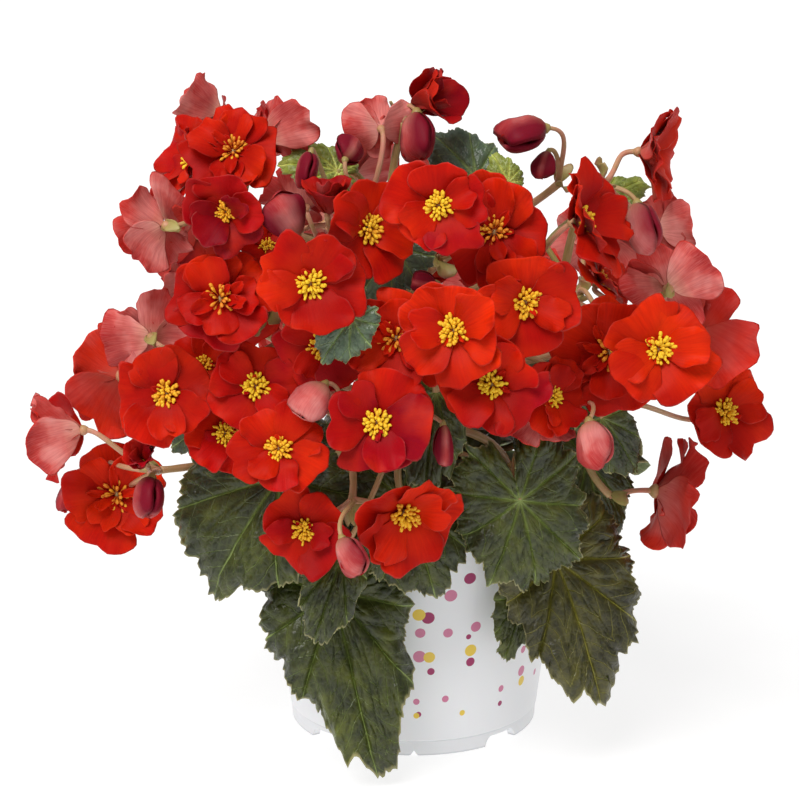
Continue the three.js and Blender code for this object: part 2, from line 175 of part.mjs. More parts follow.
// Cymes: the blooms each one carries, its peduncle and its pedicels, and the stem it grows on.
const CYMES = {
  flowers_far_left: { items: ['Y','Z','AA','bAB','bAC'], stem: 'stem_left', peduncle: { c: [[-59.3,-28.2,135.5],[-74.9,-35.3,137.2],[-100.8,-52.5,136.4],[-113.4,-59.0,137.8]], r0: 2.2, r1: 1.8 }, 
    ped: [{ c: [[-113.4,-59.0,137.8],[-129.9,-70.2,145.5],[-137.2,-68.0,159.9],[-146.1,-64.9,158.3]], r0: 1.45, r1: 1.25 }, { c: [[-113.4,-59.0,137.8],[-125.0,-54.0,132.5],[-133.1,-20.7,114.8],[-134.5,-33.9,118.4]], r0: 1.45, r1: 1.25 }, { c: [[-113.4,-59.0,137.8],[-119.5,-75.6,142.0],[-114.8,-75.8,139.4],[-116.7,-91.4,151.1]], r0: 1.45, r1: 1.25 }, { c: [[-113.4,-59.0,137.8],[-114.3,-67.2,137.3],[-112.1,-91.4,149.6],[-114.3,-93.1,145.5]], r0: 1.45, r1: 1.00 }, { c: [[-113.4,-59.0,137.8],[-139.8,-45.1,131.9],[-144.7,-10.6,135.6],[-151.6,-16.2,125.2]], r0: 1.45, r1: 1.00 }] },
  flower_and_bud_top: { items: ['I','bH'], stem: 'stem_middle', peduncle: { c: [[-10.0,-52.0,244.0],[-12.2,-47.8,258.8],[-9.3,-46.8,276.5],[-5.1,-50.0,293.7]], r0: 2.2, r1: 1.8 }, 
    ped: [{ c: [[-5.1,-50.0,293.7],[-2.1,-50.0,299.7],[-6.2,-45.0,297.6],[-1.2,-47.8,300.6]], r0: 1.45, r1: 1.25 }, { c: [[-5.1,-50.0,293.7],[-4.9,-48.2,299.7],[-3.0,-47.7,303.2],[0.9,-54.0,298.9]], r0: 1.45, r1: 1.00 }] },
  flowers_top_right: { items: ['N','bP','P2'], stem: 'stem_right', peduncle: { c: [[66.0,-40.0,222.0],[70.1,-48.8,249.6],[69.2,-66.0,257.4],[81.2,-67.9,269.2]], r0: 2.2, r1: 1.8 }, 
    ped: [{ c: [[81.2,-67.9,269.2],[89.9,-58.2,276.4],[86.6,-47.3,280.9],[97.2,-49.3,280.3]], r0: 1.45, r1: 1.25 }, { c: [[81.2,-67.9,269.2],[89.2,-70.7,269.4],[93.8,-70.9,266.5],[95.7,-72.8,262.9]], r0: 1.45, r1: 1.00 }, { c: [[81.2,-67.9,269.2],[87.2,-64.1,265.7],[100.7,-54.8,250.0],[106.6,-43.6,245.7]], r0: 1.45, r1: 1.25 }] },
  flower_right_low: { items: ['AU'], stem: 'stem_right', peduncle: { c: [[64.5,-33.6,172.4],[82.9,-56.3,163.2],[65.3,-60.3,146.7],[87.2,-61.5,126.9]], r0: 2.2, r1: 1.8 }, 
    ped: [{ c: [[87.2,-61.5,126.9],[94.0,-57.8,125.6],[95.3,-50.0,126.3],[108.0,-46.2,123.9]], r0: 1.45, r1: 1.25 }] },
  flowers_right: { items: ['S','T','AT'], stem: 'stem_right', peduncle: { c: [[62.5,-31.5,162.6],[75.6,-36.9,167.2],[77.7,-48.7,158.4],[80.5,-52.5,166.3]], r0: 2.2, r1: 1.8 }, 
    ped: [{ c: [[80.5,-52.5,166.3],[91.5,-69.7,189.1],[102.7,-69.0,195.2],[104.1,-97.5,204.0]], r0: 1.45, r1: 1.25 }, { c: [[80.5,-52.5,166.3],[83.4,-61.8,183.5],[95.8,-58.0,195.0],[84.7,-81.5,198.7]], r0: 1.45, r1: 1.25 }, { c: [[80.5,-52.5,166.3],[108.4,-46.0,170.5],[121.3,3.1,134.6],[141.0,-10.9,149.9]], r0: 1.45, r1: 1.25 }] },
  flower_top_right_side: { items: ['M'], stem: 'stem_middle', peduncle: { c: [[-1.8,-53.0,204.4],[9.5,-58.9,216.7],[27.7,-66.7,220.6],[53.5,-86.9,243.7]], r0: 2.2, r1: 1.8 }, 
    ped: [{ c: [[53.5,-86.9,243.7],[58.6,-92.3,251.9],[62.9,-95.7,257.5],[66.8,-98.1,260.3]], r0: 1.45, r1: 1.25 }] },
  buds_top_right: { items: ['bJ','bJ2'], stem: 'stem_middle', peduncle: { c: [[-3.8,-53.7,215.3],[15.2,-48.3,241.3],[41.1,-40.8,244.3],[62.6,-52.0,266.7]], r0: 2.2, r1: 1.8 }, 
    ped: [{ c: [[62.6,-52.0,266.7],[63.1,-60.3,280.4],[69.1,-65.2,294.5],[56.2,-69.2,295.0]], r0: 1.45, r1: 1.00 }, { c: [[62.6,-52.0,266.7],[64.2,-57.9,275.4],[60.4,-59.7,287.0],[57.5,-63.4,283.2]], r0: 1.45, r1: 1.00 }] },
  flowers_front_low: { items: ['AM','AN','bAN'], stem: 'stem_upper_left', peduncle: { c: [[-33.7,-3.0,160.7],[-50.9,-56.6,172.7],[-22.4,-79.4,162.9],[-27.2,-104.5,138.7]], r0: 2.2, r1: 1.8 }, 
    ped: [{ c: [[-27.2,-104.5,138.7],[-32.5,-110.0,135.8],[-43.7,-102.7,127.1],[-47.2,-113.1,128.5]], r0: 1.45, r1: 1.25 }, { c: [[-27.2,-104.5,138.7],[-16.3,-113.4,140.5],[-8.2,-115.6,140.2],[-5.3,-120.1,139.2]], r0: 1.45, r1: 1.25 }, { c: [[-27.2,-104.5,138.7],[-23.5,-115.2,140.3],[-35.4,-131.0,141.9],[-31.0,-136.6,132.3]], r0: 1.45, r1: 1.00 }] },
  flowers_top_left: { items: ['A','A2','A3'], stem: 'stem_upper_left', peduncle: { c: [[-58.0,-30.0,238.0],[-62.6,-42.8,246.8],[-71.6,-44.6,247.1],[-76.0,-48.5,252.5]], r0: 2.2, r1: 1.8 }, 
    ped: [{ c: [[-76.0,-48.5,252.5],[-76.0,-57.8,263.5],[-76.1,-65.1,270.9],[-77.1,-81.0,286.3]], r0: 1.45, r1: 1.25 }, { c: [[-76.0,-48.5,252.5],[-72.6,-53.9,269.0],[-70.5,-53.2,284.9],[-66.1,-48.0,286.6]], r0: 1.45, r1: 1.25 }, { c: [[-76.0,-48.5,252.5],[-81.8,-49.1,264.9],[-77.2,-32.8,291.5],[-85.4,-28.3,293.2]], r0: 1.45, r1: 1.25 }] },
  flowers_left_upper: { items: ['B','C','C2'], stem: 'stem_middle', peduncle: { c: [[-5.3,-53.7,223.1],[-25.5,-58.5,236.2],[-58.8,-69.3,250.6],[-77.1,-70.5,258.0]], r0: 2.2, r1: 1.8 }, 
    ped: [{ c: [[-77.1,-70.5,258.0],[-79.6,-67.5,263.2],[-82.4,-44.8,269.9],[-94.7,-51.8,277.1]], r0: 1.45, r1: 1.25 }, { c: [[-77.1,-70.5,258.0],[-93.0,-79.1,260.2],[-99.1,-95.1,256.5],[-105.9,-88.5,256.4]], r0: 1.45, r1: 1.25 }, { c: [[-77.1,-70.5,258.0],[-88.5,-68.3,254.7],[-92.1,-69.8,250.5],[-93.7,-64.3,246.4]], r0: 1.45, r1: 1.25 }] },
  flower_and_bud_left: { items: ['D','b1'], stem: 'stem_left', peduncle: { c: [[-72.3,-33.4,152.4],[-64.8,-51.8,165.1],[-55.8,-61.0,180.3],[-55.2,-85.7,222.3]], r0: 2.2, r1: 1.8 }, 
    ped: [{ c: [[-55.2,-85.7,222.3],[-60.8,-90.8,239.4],[-77.7,-70.7,260.8],[-79.2,-103.6,266.1]], r0: 1.45, r1: 1.25 }, { c: [[-55.2,-85.7,222.3],[-51.9,-95.1,240.1],[-43.7,-104.1,241.1],[-49.8,-106.8,256.4]], r0: 1.45, r1: 1.00 }] },
  flowers_left_inner: { items: ['E','E2','m13'], stem: 'stem_upper_left', peduncle: { c: [[-53.1,-19.9,211.4],[-53.4,-36.5,215.9],[-58.9,-65.8,207.9],[-64.3,-86.8,216.1]], r0: 2.2, r1: 1.8 }, 
    ped: [{ c: [[-64.3,-86.8,216.1],[-70.3,-93.3,221.0],[-78.9,-95.4,226.5],[-82.2,-106.7,229.0]], r0: 1.45, r1: 1.25 }, { c: [[-64.3,-86.8,216.1],[-65.2,-92.4,228.0],[-66.6,-85.4,239.1],[-63.7,-92.1,247.3]], r0: 1.45, r1: 1.25 }, { c: [[-64.3,-86.8,216.1],[-60.4,-85.1,227.6],[-29.2,-17.4,200.5],[-33.6,-24.9,222.5]], r0: 1.45, r1: 1.25 }] },
  flowers_upper_left_inner: { items: ['G','TU','b2','m6'], stem: 'stem_middle', peduncle: { c: [[-7.0,-53.3,231.1],[-14.6,-58.0,238.0],[-23.1,-63.9,241.9],[-30.2,-73.7,246.1]], r0: 2.2, r1: 1.8 }, 
    ped: [{ c: [[-30.2,-73.7,246.1],[-42.6,-101.1,246.9],[-43.4,-102.6,234.8],[-43.9,-128.0,241.0]], r0: 1.45, r1: 1.25 }, { c: [[-30.2,-73.7,246.1],[-33.4,-86.3,253.8],[-36.3,-95.3,250.5],[-37.2,-100.0,263.8]], r0: 1.45, r1: 1.25 }, { c: [[-30.2,-73.7,246.1],[-32.7,-75.7,256.5],[-45.2,-72.2,294.1],[-44.3,-81.8,287.2]], r0: 1.45, r1: 1.00 }, { c: [[-30.2,-73.7,246.1],[-26.6,-71.9,255.5],[5.6,-18.4,220.3],[0.2,-29.1,241.1]], r0: 1.45, r1: 1.25 }] },
  flowers_upper_middle: { items: ['F','CO','b3'], stem: 'stem_upper_left', peduncle: { c: [[-56.0,-24.8,224.4],[-48.6,-36.1,234.0],[-30.2,-56.5,246.2],[-23.3,-65.6,255.0]], r0: 2.2, r1: 1.8 }, 
    ped: [{ c: [[-23.3,-65.6,255.0],[-23.9,-76.9,262.8],[-25.0,-96.1,255.9],[-21.0,-106.2,259.7]], r0: 1.45, r1: 1.25 }, { c: [[-23.3,-65.6,255.0],[-14.2,-68.5,274.4],[-12.1,-68.8,291.7],[-14.5,-59.7,292.5]], r0: 1.45, r1: 1.25 }, { c: [[-23.3,-65.6,255.0],[-23.7,-71.9,265.3],[-30.8,-91.3,276.5],[-29.9,-79.1,283.1]], r0: 1.45, r1: 1.00 }] },
  flowers_top_middle: { items: ['K','L'], stem: 'stem_upper_left', peduncle: { c: [[-50.3,-16.5,202.0],[-23.6,-37.3,228.8],[0.9,-40.7,225.1],[11.2,-66.0,237.1]], r0: 2.2, r1: 1.8 }, 
    ped: [{ c: [[11.2,-66.0,237.1],[16.5,-79.6,246.9],[7.0,-78.0,268.2],[9.8,-118.0,272.4]], r0: 1.45, r1: 1.25 }, { c: [[11.2,-66.0,237.1],[22.9,-81.7,244.1],[31.6,-87.1,246.7],[33.4,-98.6,256.1]], r0: 1.45, r1: 1.25 }] },
  flower_right_inner: { items: ['O'], stem: 'stem_right', 
    ped: [{ c: [[66.6,-37.3,195.0],[60.3,-72.2,227.2],[48.1,-85.1,224.9],[46.2,-113.6,230.0]], r0: 1.90, r1: 1.20 }] },
  flowers_right_back_facing: { items: ['Q','R','m11'], stem: 'stem_middle', peduncle: { c: [[2.0,-47.0,175.1],[22.1,-52.0,180.9],[48.8,-53.9,184.5],[88.6,-51.4,197.2]], r0: 2.2, r1: 1.8 }, 
    ped: [{ c: [[88.6,-51.4,197.2],[100.3,-56.7,206.6],[108.1,-74.0,219.5],[110.7,-62.8,221.4]], r0: 1.45, r1: 1.25 }, { c: [[88.6,-51.4,197.2],[108.8,-48.7,199.7],[120.8,-45.0,199.1],[124.8,-36.8,196.5]], r0: 1.45, r1: 1.25 }, { c: [[88.6,-51.4,197.2],[93.7,-55.6,218.6],[75.7,-24.5,208.8],[82.1,-25.1,214.5]], r0: 1.45, r1: 1.25 }] },
  flowers_left_back_facing: { items: ['U','V','m2'], stem: 'stem_upper_left', peduncle: { c: [[-37.6,-5.5,169.3],[-52.7,-18.1,175.4],[-75.2,-37.1,178.6],[-88.4,-46.8,180.9]], r0: 2.2, r1: 1.8 }, 
    ped: [{ c: [[-88.4,-46.8,180.9],[-108.2,-45.5,180.9],[-124.3,-39.4,175.5],[-131.2,-33.5,174.2]], r0: 1.45, r1: 1.25 }, { c: [[-88.4,-46.8,180.9],[-88.5,-55.0,188.6],[-109.2,-100.7,203.0],[-114.3,-75.2,203.1]], r0: 1.45, r1: 1.25 }, { c: [[-88.4,-46.8,180.9],[-83.0,-49.8,190.2],[-67.3,-20.0,184.3],[-73.7,-25.1,193.3]], r0: 1.45, r1: 1.25 }] },
  flowers_left: { items: ['W','X'], stem: 'stem_upper_left', peduncle: { c: [[-47.2,-13.2,192.9],[-57.3,-25.8,189.3],[-76.2,-39.1,180.7],[-94.0,-67.6,182.2]], r0: 2.2, r1: 1.8 }, 
    ped: [{ c: [[-94.0,-67.6,182.2],[-100.6,-79.3,181.5],[-102.8,-85.7,180.5],[-106.1,-97.3,184.3]], r0: 1.45, r1: 1.25 }, { c: [[-94.0,-67.6,182.2],[-93.7,-70.8,184.4],[-93.2,-76.4,189.2],[-92.0,-82.2,192.4]], r0: 1.45, r1: 1.25 }] },
  flowers_left_lower: { items: ['AD','AL'], stem: 'stem_middle', peduncle: { c: [[2.5,-45.0,169.2],[-25.7,-69.1,165.4],[-20.4,-68.3,204.1],[-56.0,-97.5,185.0]], r0: 2.2, r1: 1.8 }, 
    ped: [{ c: [[-56.0,-97.5,185.0],[-63.1,-92.5,184.2],[-84.3,-80.2,159.8],[-82.1,-96.3,166.5]], r0: 1.45, r1: 1.25 }, { c: [[-56.0,-97.5,185.0],[-61.4,-111.9,173.9],[-60.1,-114.0,165.7],[-57.7,-122.2,167.2]], r0: 1.45, r1: 1.25 }] },
  flowers_middle_left: { items: ['AE','AG','bAJ'], stem: 'stem_middle', peduncle: { c: [[3.2,-40.5,157.8],[-1.1,-57.3,170.7],[-19.9,-96.7,167.7],[-23.6,-108.1,164.6]], r0: 2.2, r1: 1.8 }, 
    ped: [{ c: [[-23.6,-108.1,164.6],[-36.1,-99.8,185.2],[-72.1,-75.7,184.1],[-67.9,-105.0,190.1]], r0: 1.45, r1: 1.25 }, { c: [[-23.6,-108.1,164.6],[-35.7,-113.9,179.7],[-39.2,-91.0,201.6],[-39.6,-107.4,208.6]], r0: 1.45, r1: 1.25 }, { c: [[-23.6,-108.1,164.6],[-27.7,-116.8,171.3],[-29.8,-120.1,199.2],[-38.0,-122.9,196.2]], r0: 1.45, r1: 1.00 }] },
  flowers_middle: { items: ['AH','AI','b4','m14'], stem: 'stem_middle', peduncle: { c: [[-0.7,-52.1,197.4],[0.0,-57.5,200.1],[4.9,-74.7,206.5],[5.0,-83.6,208.9]], r0: 2.2, r1: 1.8 }, 
    ped: [{ c: [[5.0,-83.6,208.9],[-1.9,-102.4,211.5],[-7.4,-105.8,212.1],[-8.1,-115.5,214.3]], r0: 1.45, r1: 1.25 }, { c: [[5.0,-83.6,208.9],[12.5,-108.0,211.9],[19.6,-108.2,215.1],[16.6,-132.1,221.8]], r0: 1.45, r1: 1.25 }, { c: [[5.0,-83.6,208.9],[7.1,-100.3,221.7],[17.2,-104.0,232.4],[8.8,-106.2,235.9]], r0: 1.45, r1: 1.00 }, { c: [[5.0,-83.6,208.9],[-1.1,-89.4,230.9],[7.0,2.2,195.0],[4.7,-3.6,214.7]], r0: 1.45, r1: 1.25 }] },
  flower_front_middle: { items: ['AK','bAO'], stem: 'stem_left', peduncle: { c: [[-76.0,-34.8,159.1],[-54.0,-31.3,160.9],[-43.7,-79.4,193.5],[-18.3,-108.9,185.4]], r0: 2.2, r1: 1.8 }, 
    ped: [{ c: [[-18.3,-108.9,185.4],[-15.0,-120.2,184.0],[-16.2,-121.9,181.1],[-16.1,-131.9,181.7]], r0: 1.45, r1: 1.25 }, { c: [[-18.3,-108.9,185.4],[-4.4,-114.8,187.3],[9.8,-121.3,181.2],[11.8,-122.0,178.3]], r0: 1.45, r1: 1.00 }] },
  flowers_front_right: { items: ['AP','AR'], stem: 'stem_right', peduncle: { c: [[61.0,-30.0,156.5],[64.5,-67.4,165.7],[37.9,-57.8,205.7],[35.2,-93.1,192.2]], r0: 2.2, r1: 1.8 }, 
    ped: [{ c: [[35.2,-93.1,192.2],[34.0,-108.1,193.0],[33.2,-119.8,195.2],[32.2,-127.6,197.6]], r0: 1.45, r1: 1.25 }, { c: [[35.2,-93.1,192.2],[33.6,-91.7,192.1],[45.2,-97.5,191.0],[52.6,-98.3,178.7]], r0: 1.45, r1: 1.25 }] },
  flower_and_bud_right_lower: { items: ['AQ','bAS','m1'], stem: 'stem_right', peduncle: { c: [[51.8,-22.7,133.2],[50.7,-26.2,138.1],[45.0,-29.7,154.6],[47.7,-56.9,166.1]], r0: 2.2, r1: 1.8 }, 
    ped: [{ c: [[47.7,-56.9,166.1],[49.7,-75.5,175.7],[45.0,-76.1,176.1],[57.3,-99.5,183.6]], r0: 1.45, r1: 1.25 }, { c: [[47.7,-56.9,166.1],[64.8,-83.1,170.7],[83.3,-91.5,187.3],[74.5,-107.9,175.4]], r0: 1.45, r1: 1.00 }, { c: [[47.7,-56.9,166.1],[40.8,-58.5,180.6],[34.7,-8.3,194.5],[39.5,-15.7,209.5]], r0: 1.45, r1: 1.25 }] },
  flowers_back_left: { items: ['k0','k2','m3','m8'], stem: 'stem_upper_left', peduncle: { c: [[-32.5,-2.2,157.9],[-43.9,22.9,169.5],[-57.0,35.1,165.4],[-72.8,52.2,171.6]], r0: 2.2, r1: 1.8 }, 
    ped: [{ c: [[-72.8,52.2,171.6],[-90.4,50.5,192.2],[-89.9,33.6,193.9],[-104.4,37.5,197.4]], r0: 1.45, r1: 1.25 }, { c: [[-72.8,52.2,171.6],[-88.6,72.3,169.2],[-90.3,77.6,166.1],[-105.9,90.9,165.0]], r0: 1.45, r1: 1.25 }, { c: [[-72.2,52.8,171.0],[-67.0,56.7,178.7],[-58.7,66.1,179.6],[-63.1,70.1,186.3]], r0: 1.45, r1: 1.25 }, { c: [[-72.6,51.9,171.7],[-80.1,58.1,175.7],[-61.3,14.3,180.0],[-68.8,17.2,194.9]], r0: 1.45, r1: 1.25 }] },
  flowers_back_upper_left: { items: ['k1','k3','m5','m7'], stem: 'stem_back', peduncle: { c: [[7.0,66.4,199.2],[-17.3,63.9,209.8],[-37.0,66.0,199.3],[-54.3,69.0,213.9]], r0: 2.2, r1: 1.8 }, 
    ped: [{ c: [[-54.3,69.0,213.9],[-64.8,70.5,219.7],[-79.7,68.3,226.8],[-106.3,82.2,239.8]], r0: 1.45, r1: 1.25 }, { c: [[-54.3,69.0,213.9],[-51.5,75.8,234.6],[-28.1,77.4,226.5],[-29.6,88.8,237.4]], r0: 1.45, r1: 1.25 }, { c: [[-54.4,68.9,214.2],[-57.6,76.8,224.8],[12.8,18.1,223.6],[13.2,22.4,245.0]], r0: 1.45, r1: 1.25 }, { c: [[-54.4,68.7,213.3],[-52.0,65.0,221.2],[-6.1,48.2,198.2],[-10.1,53.3,211.2]], r0: 1.45, r1: 1.25 }] },
  flowers_back_middle_left: { items: ['k4','k5','m10','m12'], stem: 'stem_back', peduncle: { c: [[3.3,60.3,156.8],[-7.9,73.4,163.2],[-16.5,75.8,166.4],[-29.1,95.4,169.6]], r0: 2.2, r1: 1.8 }, 
    ped: [{ c: [[-29.1,95.4,169.6],[-35.3,113.1,185.4],[-34.7,113.2,198.8],[-43.4,131.0,204.9]], r0: 1.45, r1: 1.25 }, { c: [[-29.1,95.4,169.6],[-39.1,103.1,162.7],[-42.4,98.3,151.7],[-56.0,115.9,148.1]], r0: 1.45, r1: 1.25 }, { c: [[-29.1,95.4,169.6],[-34.7,103.2,177.7],[-42.9,29.5,216.7],[-50.8,45.1,233.0]], r0: 1.45, r1: 1.25 }, { c: [[-29.1,95.4,169.6],[-33.1,87.3,189.2],[37.9,50.5,171.7],[55.9,68.4,193.1]], r0: 1.45, r1: 1.25 }] },
  flowers_back_top: { items: ['k6','k8','kb1','m0'], stem: 'stem_back', peduncle: { c: [[7.4,66.5,206.0],[9.8,61.8,210.5],[8.6,51.0,207.8],[12.7,50.4,215.7]], r0: 2.2, r1: 1.8 }, 
    ped: [{ c: [[12.7,50.4,215.7],[19.6,67.4,219.9],[15.4,100.4,223.4],[16.4,119.4,228.1]], r0: 1.45, r1: 1.25 }, { c: [[12.7,50.4,215.7],[22.6,55.8,223.8],[26.0,58.8,220.8],[32.1,64.7,225.5]], r0: 1.45, r1: 1.25 }, { c: [[12.7,50.4,215.7],[15.1,54.8,232.4],[20.1,63.6,265.4],[24.8,76.0,253.0]], r0: 1.45, r1: 1.00 }, { c: [[12.7,50.4,215.7],[21.3,42.2,232.0],[-19.7,11.9,208.7],[-28.8,9.9,223.1]], r0: 1.45, r1: 1.25 }] },
  flowers_back_low_right: { items: ['k7','k10','kb0','m9'], stem: 'stem_back', peduncle: { c: [[2.5,57.8,148.7],[15.3,66.7,156.7],[30.9,77.7,157.8],[43.0,87.2,159.2]], r0: 2.2, r1: 1.8 }, 
    ped: [{ c: [[43.0,87.2,159.2],[49.2,107.3,166.0],[30.6,117.1,168.7],[33.0,131.5,171.9]], r0: 1.45, r1: 1.25 }, { c: [[43.0,87.2,159.2],[66.6,90.9,156.0],[81.7,80.0,152.5],[98.2,90.3,150.1]], r0: 1.45, r1: 1.25 }, { c: [[43.0,87.2,159.2],[48.1,96.6,150.2],[48.1,99.2,146.9],[50.8,104.4,140.0]], r0: 1.45, r1: 1.00 }, { c: [[43.0,87.2,159.2],[46.9,91.0,181.0],[40.3,25.1,184.1],[54.9,25.1,200.9]], r0: 1.45, r1: 1.25 }] },
  flowers_back_right: { items: ['k9','k11','k12','m4'], stem: 'stem_back', peduncle: { c: [[5.0,64.1,174.0],[28.4,54.9,184.6],[37.8,37.5,176.9],[76.0,44.0,188.5]], r0: 2.2, r1: 1.8 }, 
    ped: [{ c: [[76.0,44.0,188.5],[87.5,68.2,197.2],[76.7,80.8,198.5],[86.5,100.7,202.2]], r0: 1.45, r1: 1.25 }, { c: [[76.0,44.0,188.5],[85.2,43.0,205.3],[77.4,37.1,214.7],[85.0,44.4,221.0]], r0: 1.45, r1: 1.25 }, { c: [[76.0,44.0,188.5],[89.9,44.0,182.9],[101.7,33.9,168.0],[133.3,38.7,171.6]], r0: 1.45, r1: 1.25 }, { c: [[76.0,44.0,188.5],[81.4,45.6,208.0],[84.7,2.6,179.4],[95.2,4.9,187.9]], r0: 1.45, r1: 1.25 }] },
};

// ---------------------------------------------------------------- colours
const C = {
  pot: new THREE.MeshStandardMaterial({ color: 0xeceef2, roughness: 0.42, metalness: 0 }),
  soil: new THREE.MeshStandardMaterial({ color: 0x3a2a20, roughness: 1.0, metalness: 0 }),
  stem: new THREE.MeshStandardMaterial({ color: 0x8c6a44, roughness: 0.55, metalness: 0 }),
  leaf: new THREE.MeshStandardMaterial({ color: 0x3f5229, roughness: 0.5, metalness: 0 }),
  flower: new THREE.MeshStandardMaterial({ color: 0xd8200f, roughness: 0.6, metalness: 0 }),
};
const own = (m) => m.clone();

// ---------------------------------------------------------------- solids
const wasm = await Module();
wasm.setup();

function solid(geometry) {
  const g = geometry.clone();
  for (const name of Object.keys(g.attributes)) if (name !== 'position') g.deleteAttribute(name);
  const m = mergeVertices(g, 1e-3);
  const p = m.attributes.position.array, ix = m.index.array, tri = [];
  for (let i = 0; i < ix.length; i += 3) {
    const a = ix[i], b = ix[i + 1], c = ix[i + 2];
    if (a !== b && b !== c && a !== c) tri.push(a, b, c);
  }
  return new wasm.Manifold(new wasm.Mesh({ numProp: 3, vertProperties: new Float32Array(p), triVerts: new Uint32Array(tri) }));
}

function geometryOf(manifold) {
  const m = manifold.getMesh(), n = m.numProp, count = m.vertProperties.length / n;
  const p = new Float32Array(count * 3);
  for (let i = 0; i < count; i++) for (let k = 0; k < 3; k++) p[3 * i + k] = m.vertProperties[n * i + k];
  const g = new THREE.BufferGeometry();
  g.setAttribute('position', new THREE.BufferAttribute(p, 3));
  g.setIndex([...m.triVerts]);
  g.computeVertexNormals();
  return g;
}

// Keeps the largest connected body: a stalk that is trimmed by its stem can leave a sliver.
function mainBody(manifold) {
  const list = manifold.simplify(0.1).decompose();
  let best = list[0];
  for (const m of list) if (Math.abs(m.volume()) > Math.abs(best.volume())) best = m;
  return best;
}

function indexed(points, faces) {
  const p = new Float32Array(points.length * 3);
  points.forEach((v, i) => { p[3 * i] = v.x; p[3 * i + 1] = v.y; p[3 * i + 2] = v.z; });
  let volume = 0;
  for (let i = 0; i < faces.length; i += 3) {
    const [a, b, c] = [points[faces[i]], points[faces[i + 1]], points[faces[i + 2]]];
    volume += a.dot(new THREE.Vector3().crossVectors(b, c));
  }
  const ix = volume < 0 ? faces.map((_, i) => faces[i - (i % 3) + [0, 2, 1][i % 3]]) : faces;
  const g = new THREE.BufferGeometry();
  g.setAttribute('position', new THREE.BufferAttribute(p, 3));
  g.setIndex(ix);
  return g;
}

// A closed shell over a polar grid: an upper and a lower face joined along the margin.
function polarShell(count, rings, upper, lower) {
  const pts = [upper(0, 0), lower(0, 0)], f = [];
  const at = (side, r, a) => 2 + (side * rings.length + r) * count + ((a + count) % count);
  for (const fn of [upper, lower]) for (const s of rings) for (let a = 0; a < count; a++) pts.push(fn(s, a));
  for (let a = 0; a < count; a++) {
    f.push(0, at(0, 0, a), at(0, 0, a + 1), 1, at(1, 0, a + 1), at(1, 0, a));
    for (let r = 0; r + 1 < rings.length; r++) {
      f.push(at(0, r, a), at(0, r + 1, a), at(0, r + 1, a + 1), at(0, r, a), at(0, r + 1, a + 1), at(0, r, a + 1));
      f.push(at(1, r, a), at(1, r + 1, a + 1), at(1, r + 1, a), at(1, r, a), at(1, r, a + 1), at(1, r + 1, a + 1));
    }
    const e = rings.length - 1;
    f.push(at(0, e, a), at(1, e, a), at(1, e, a + 1), at(0, e, a), at(1, e, a + 1), at(0, e, a + 1));
  }
  return indexed(pts, f);
}

// A tapered stalk along a cubic curve, closed at both ends.
function stalk(ctrl, r0, r1, sides, steps, grow = 0) {
  const v = ctrl.map((c) => new THREE.Vector3(...c));
  const curve = new THREE.CubicBezierCurve3(...v);
  const fr = curve.computeFrenetFrames(steps, false), pts = [], f = [];
  for (let i = 0; i <= steps; i++) {
    const t = i / steps, p = curve.getPointAt(t), r = r0 + (r1 - r0) * t + grow;
    for (let a = 0; a < sides; a++) {
      const w = (a / sides) * Math.PI * 2;
      pts.push(p.clone().addScaledVector(fr.normals[i], r * Math.cos(w)).addScaledVector(fr.binormals[i], r * Math.sin(w)));
    }
  }
  const at = (i, a) => i * sides + (a % sides);
  for (let i = 0; i < steps; i++) for (let a = 0; a < sides; a++)
    f.push(at(i, a), at(i, a + 1), at(i + 1, a + 1), at(i, a), at(i + 1, a + 1), at(i + 1, a));
  for (let a = 1; a + 1 < sides; a++) f.push(at(0, 0), at(0, a + 1), at(0, a), at(steps, 0), at(steps, a), at(steps, a + 1));
  return indexed(pts, f);
}

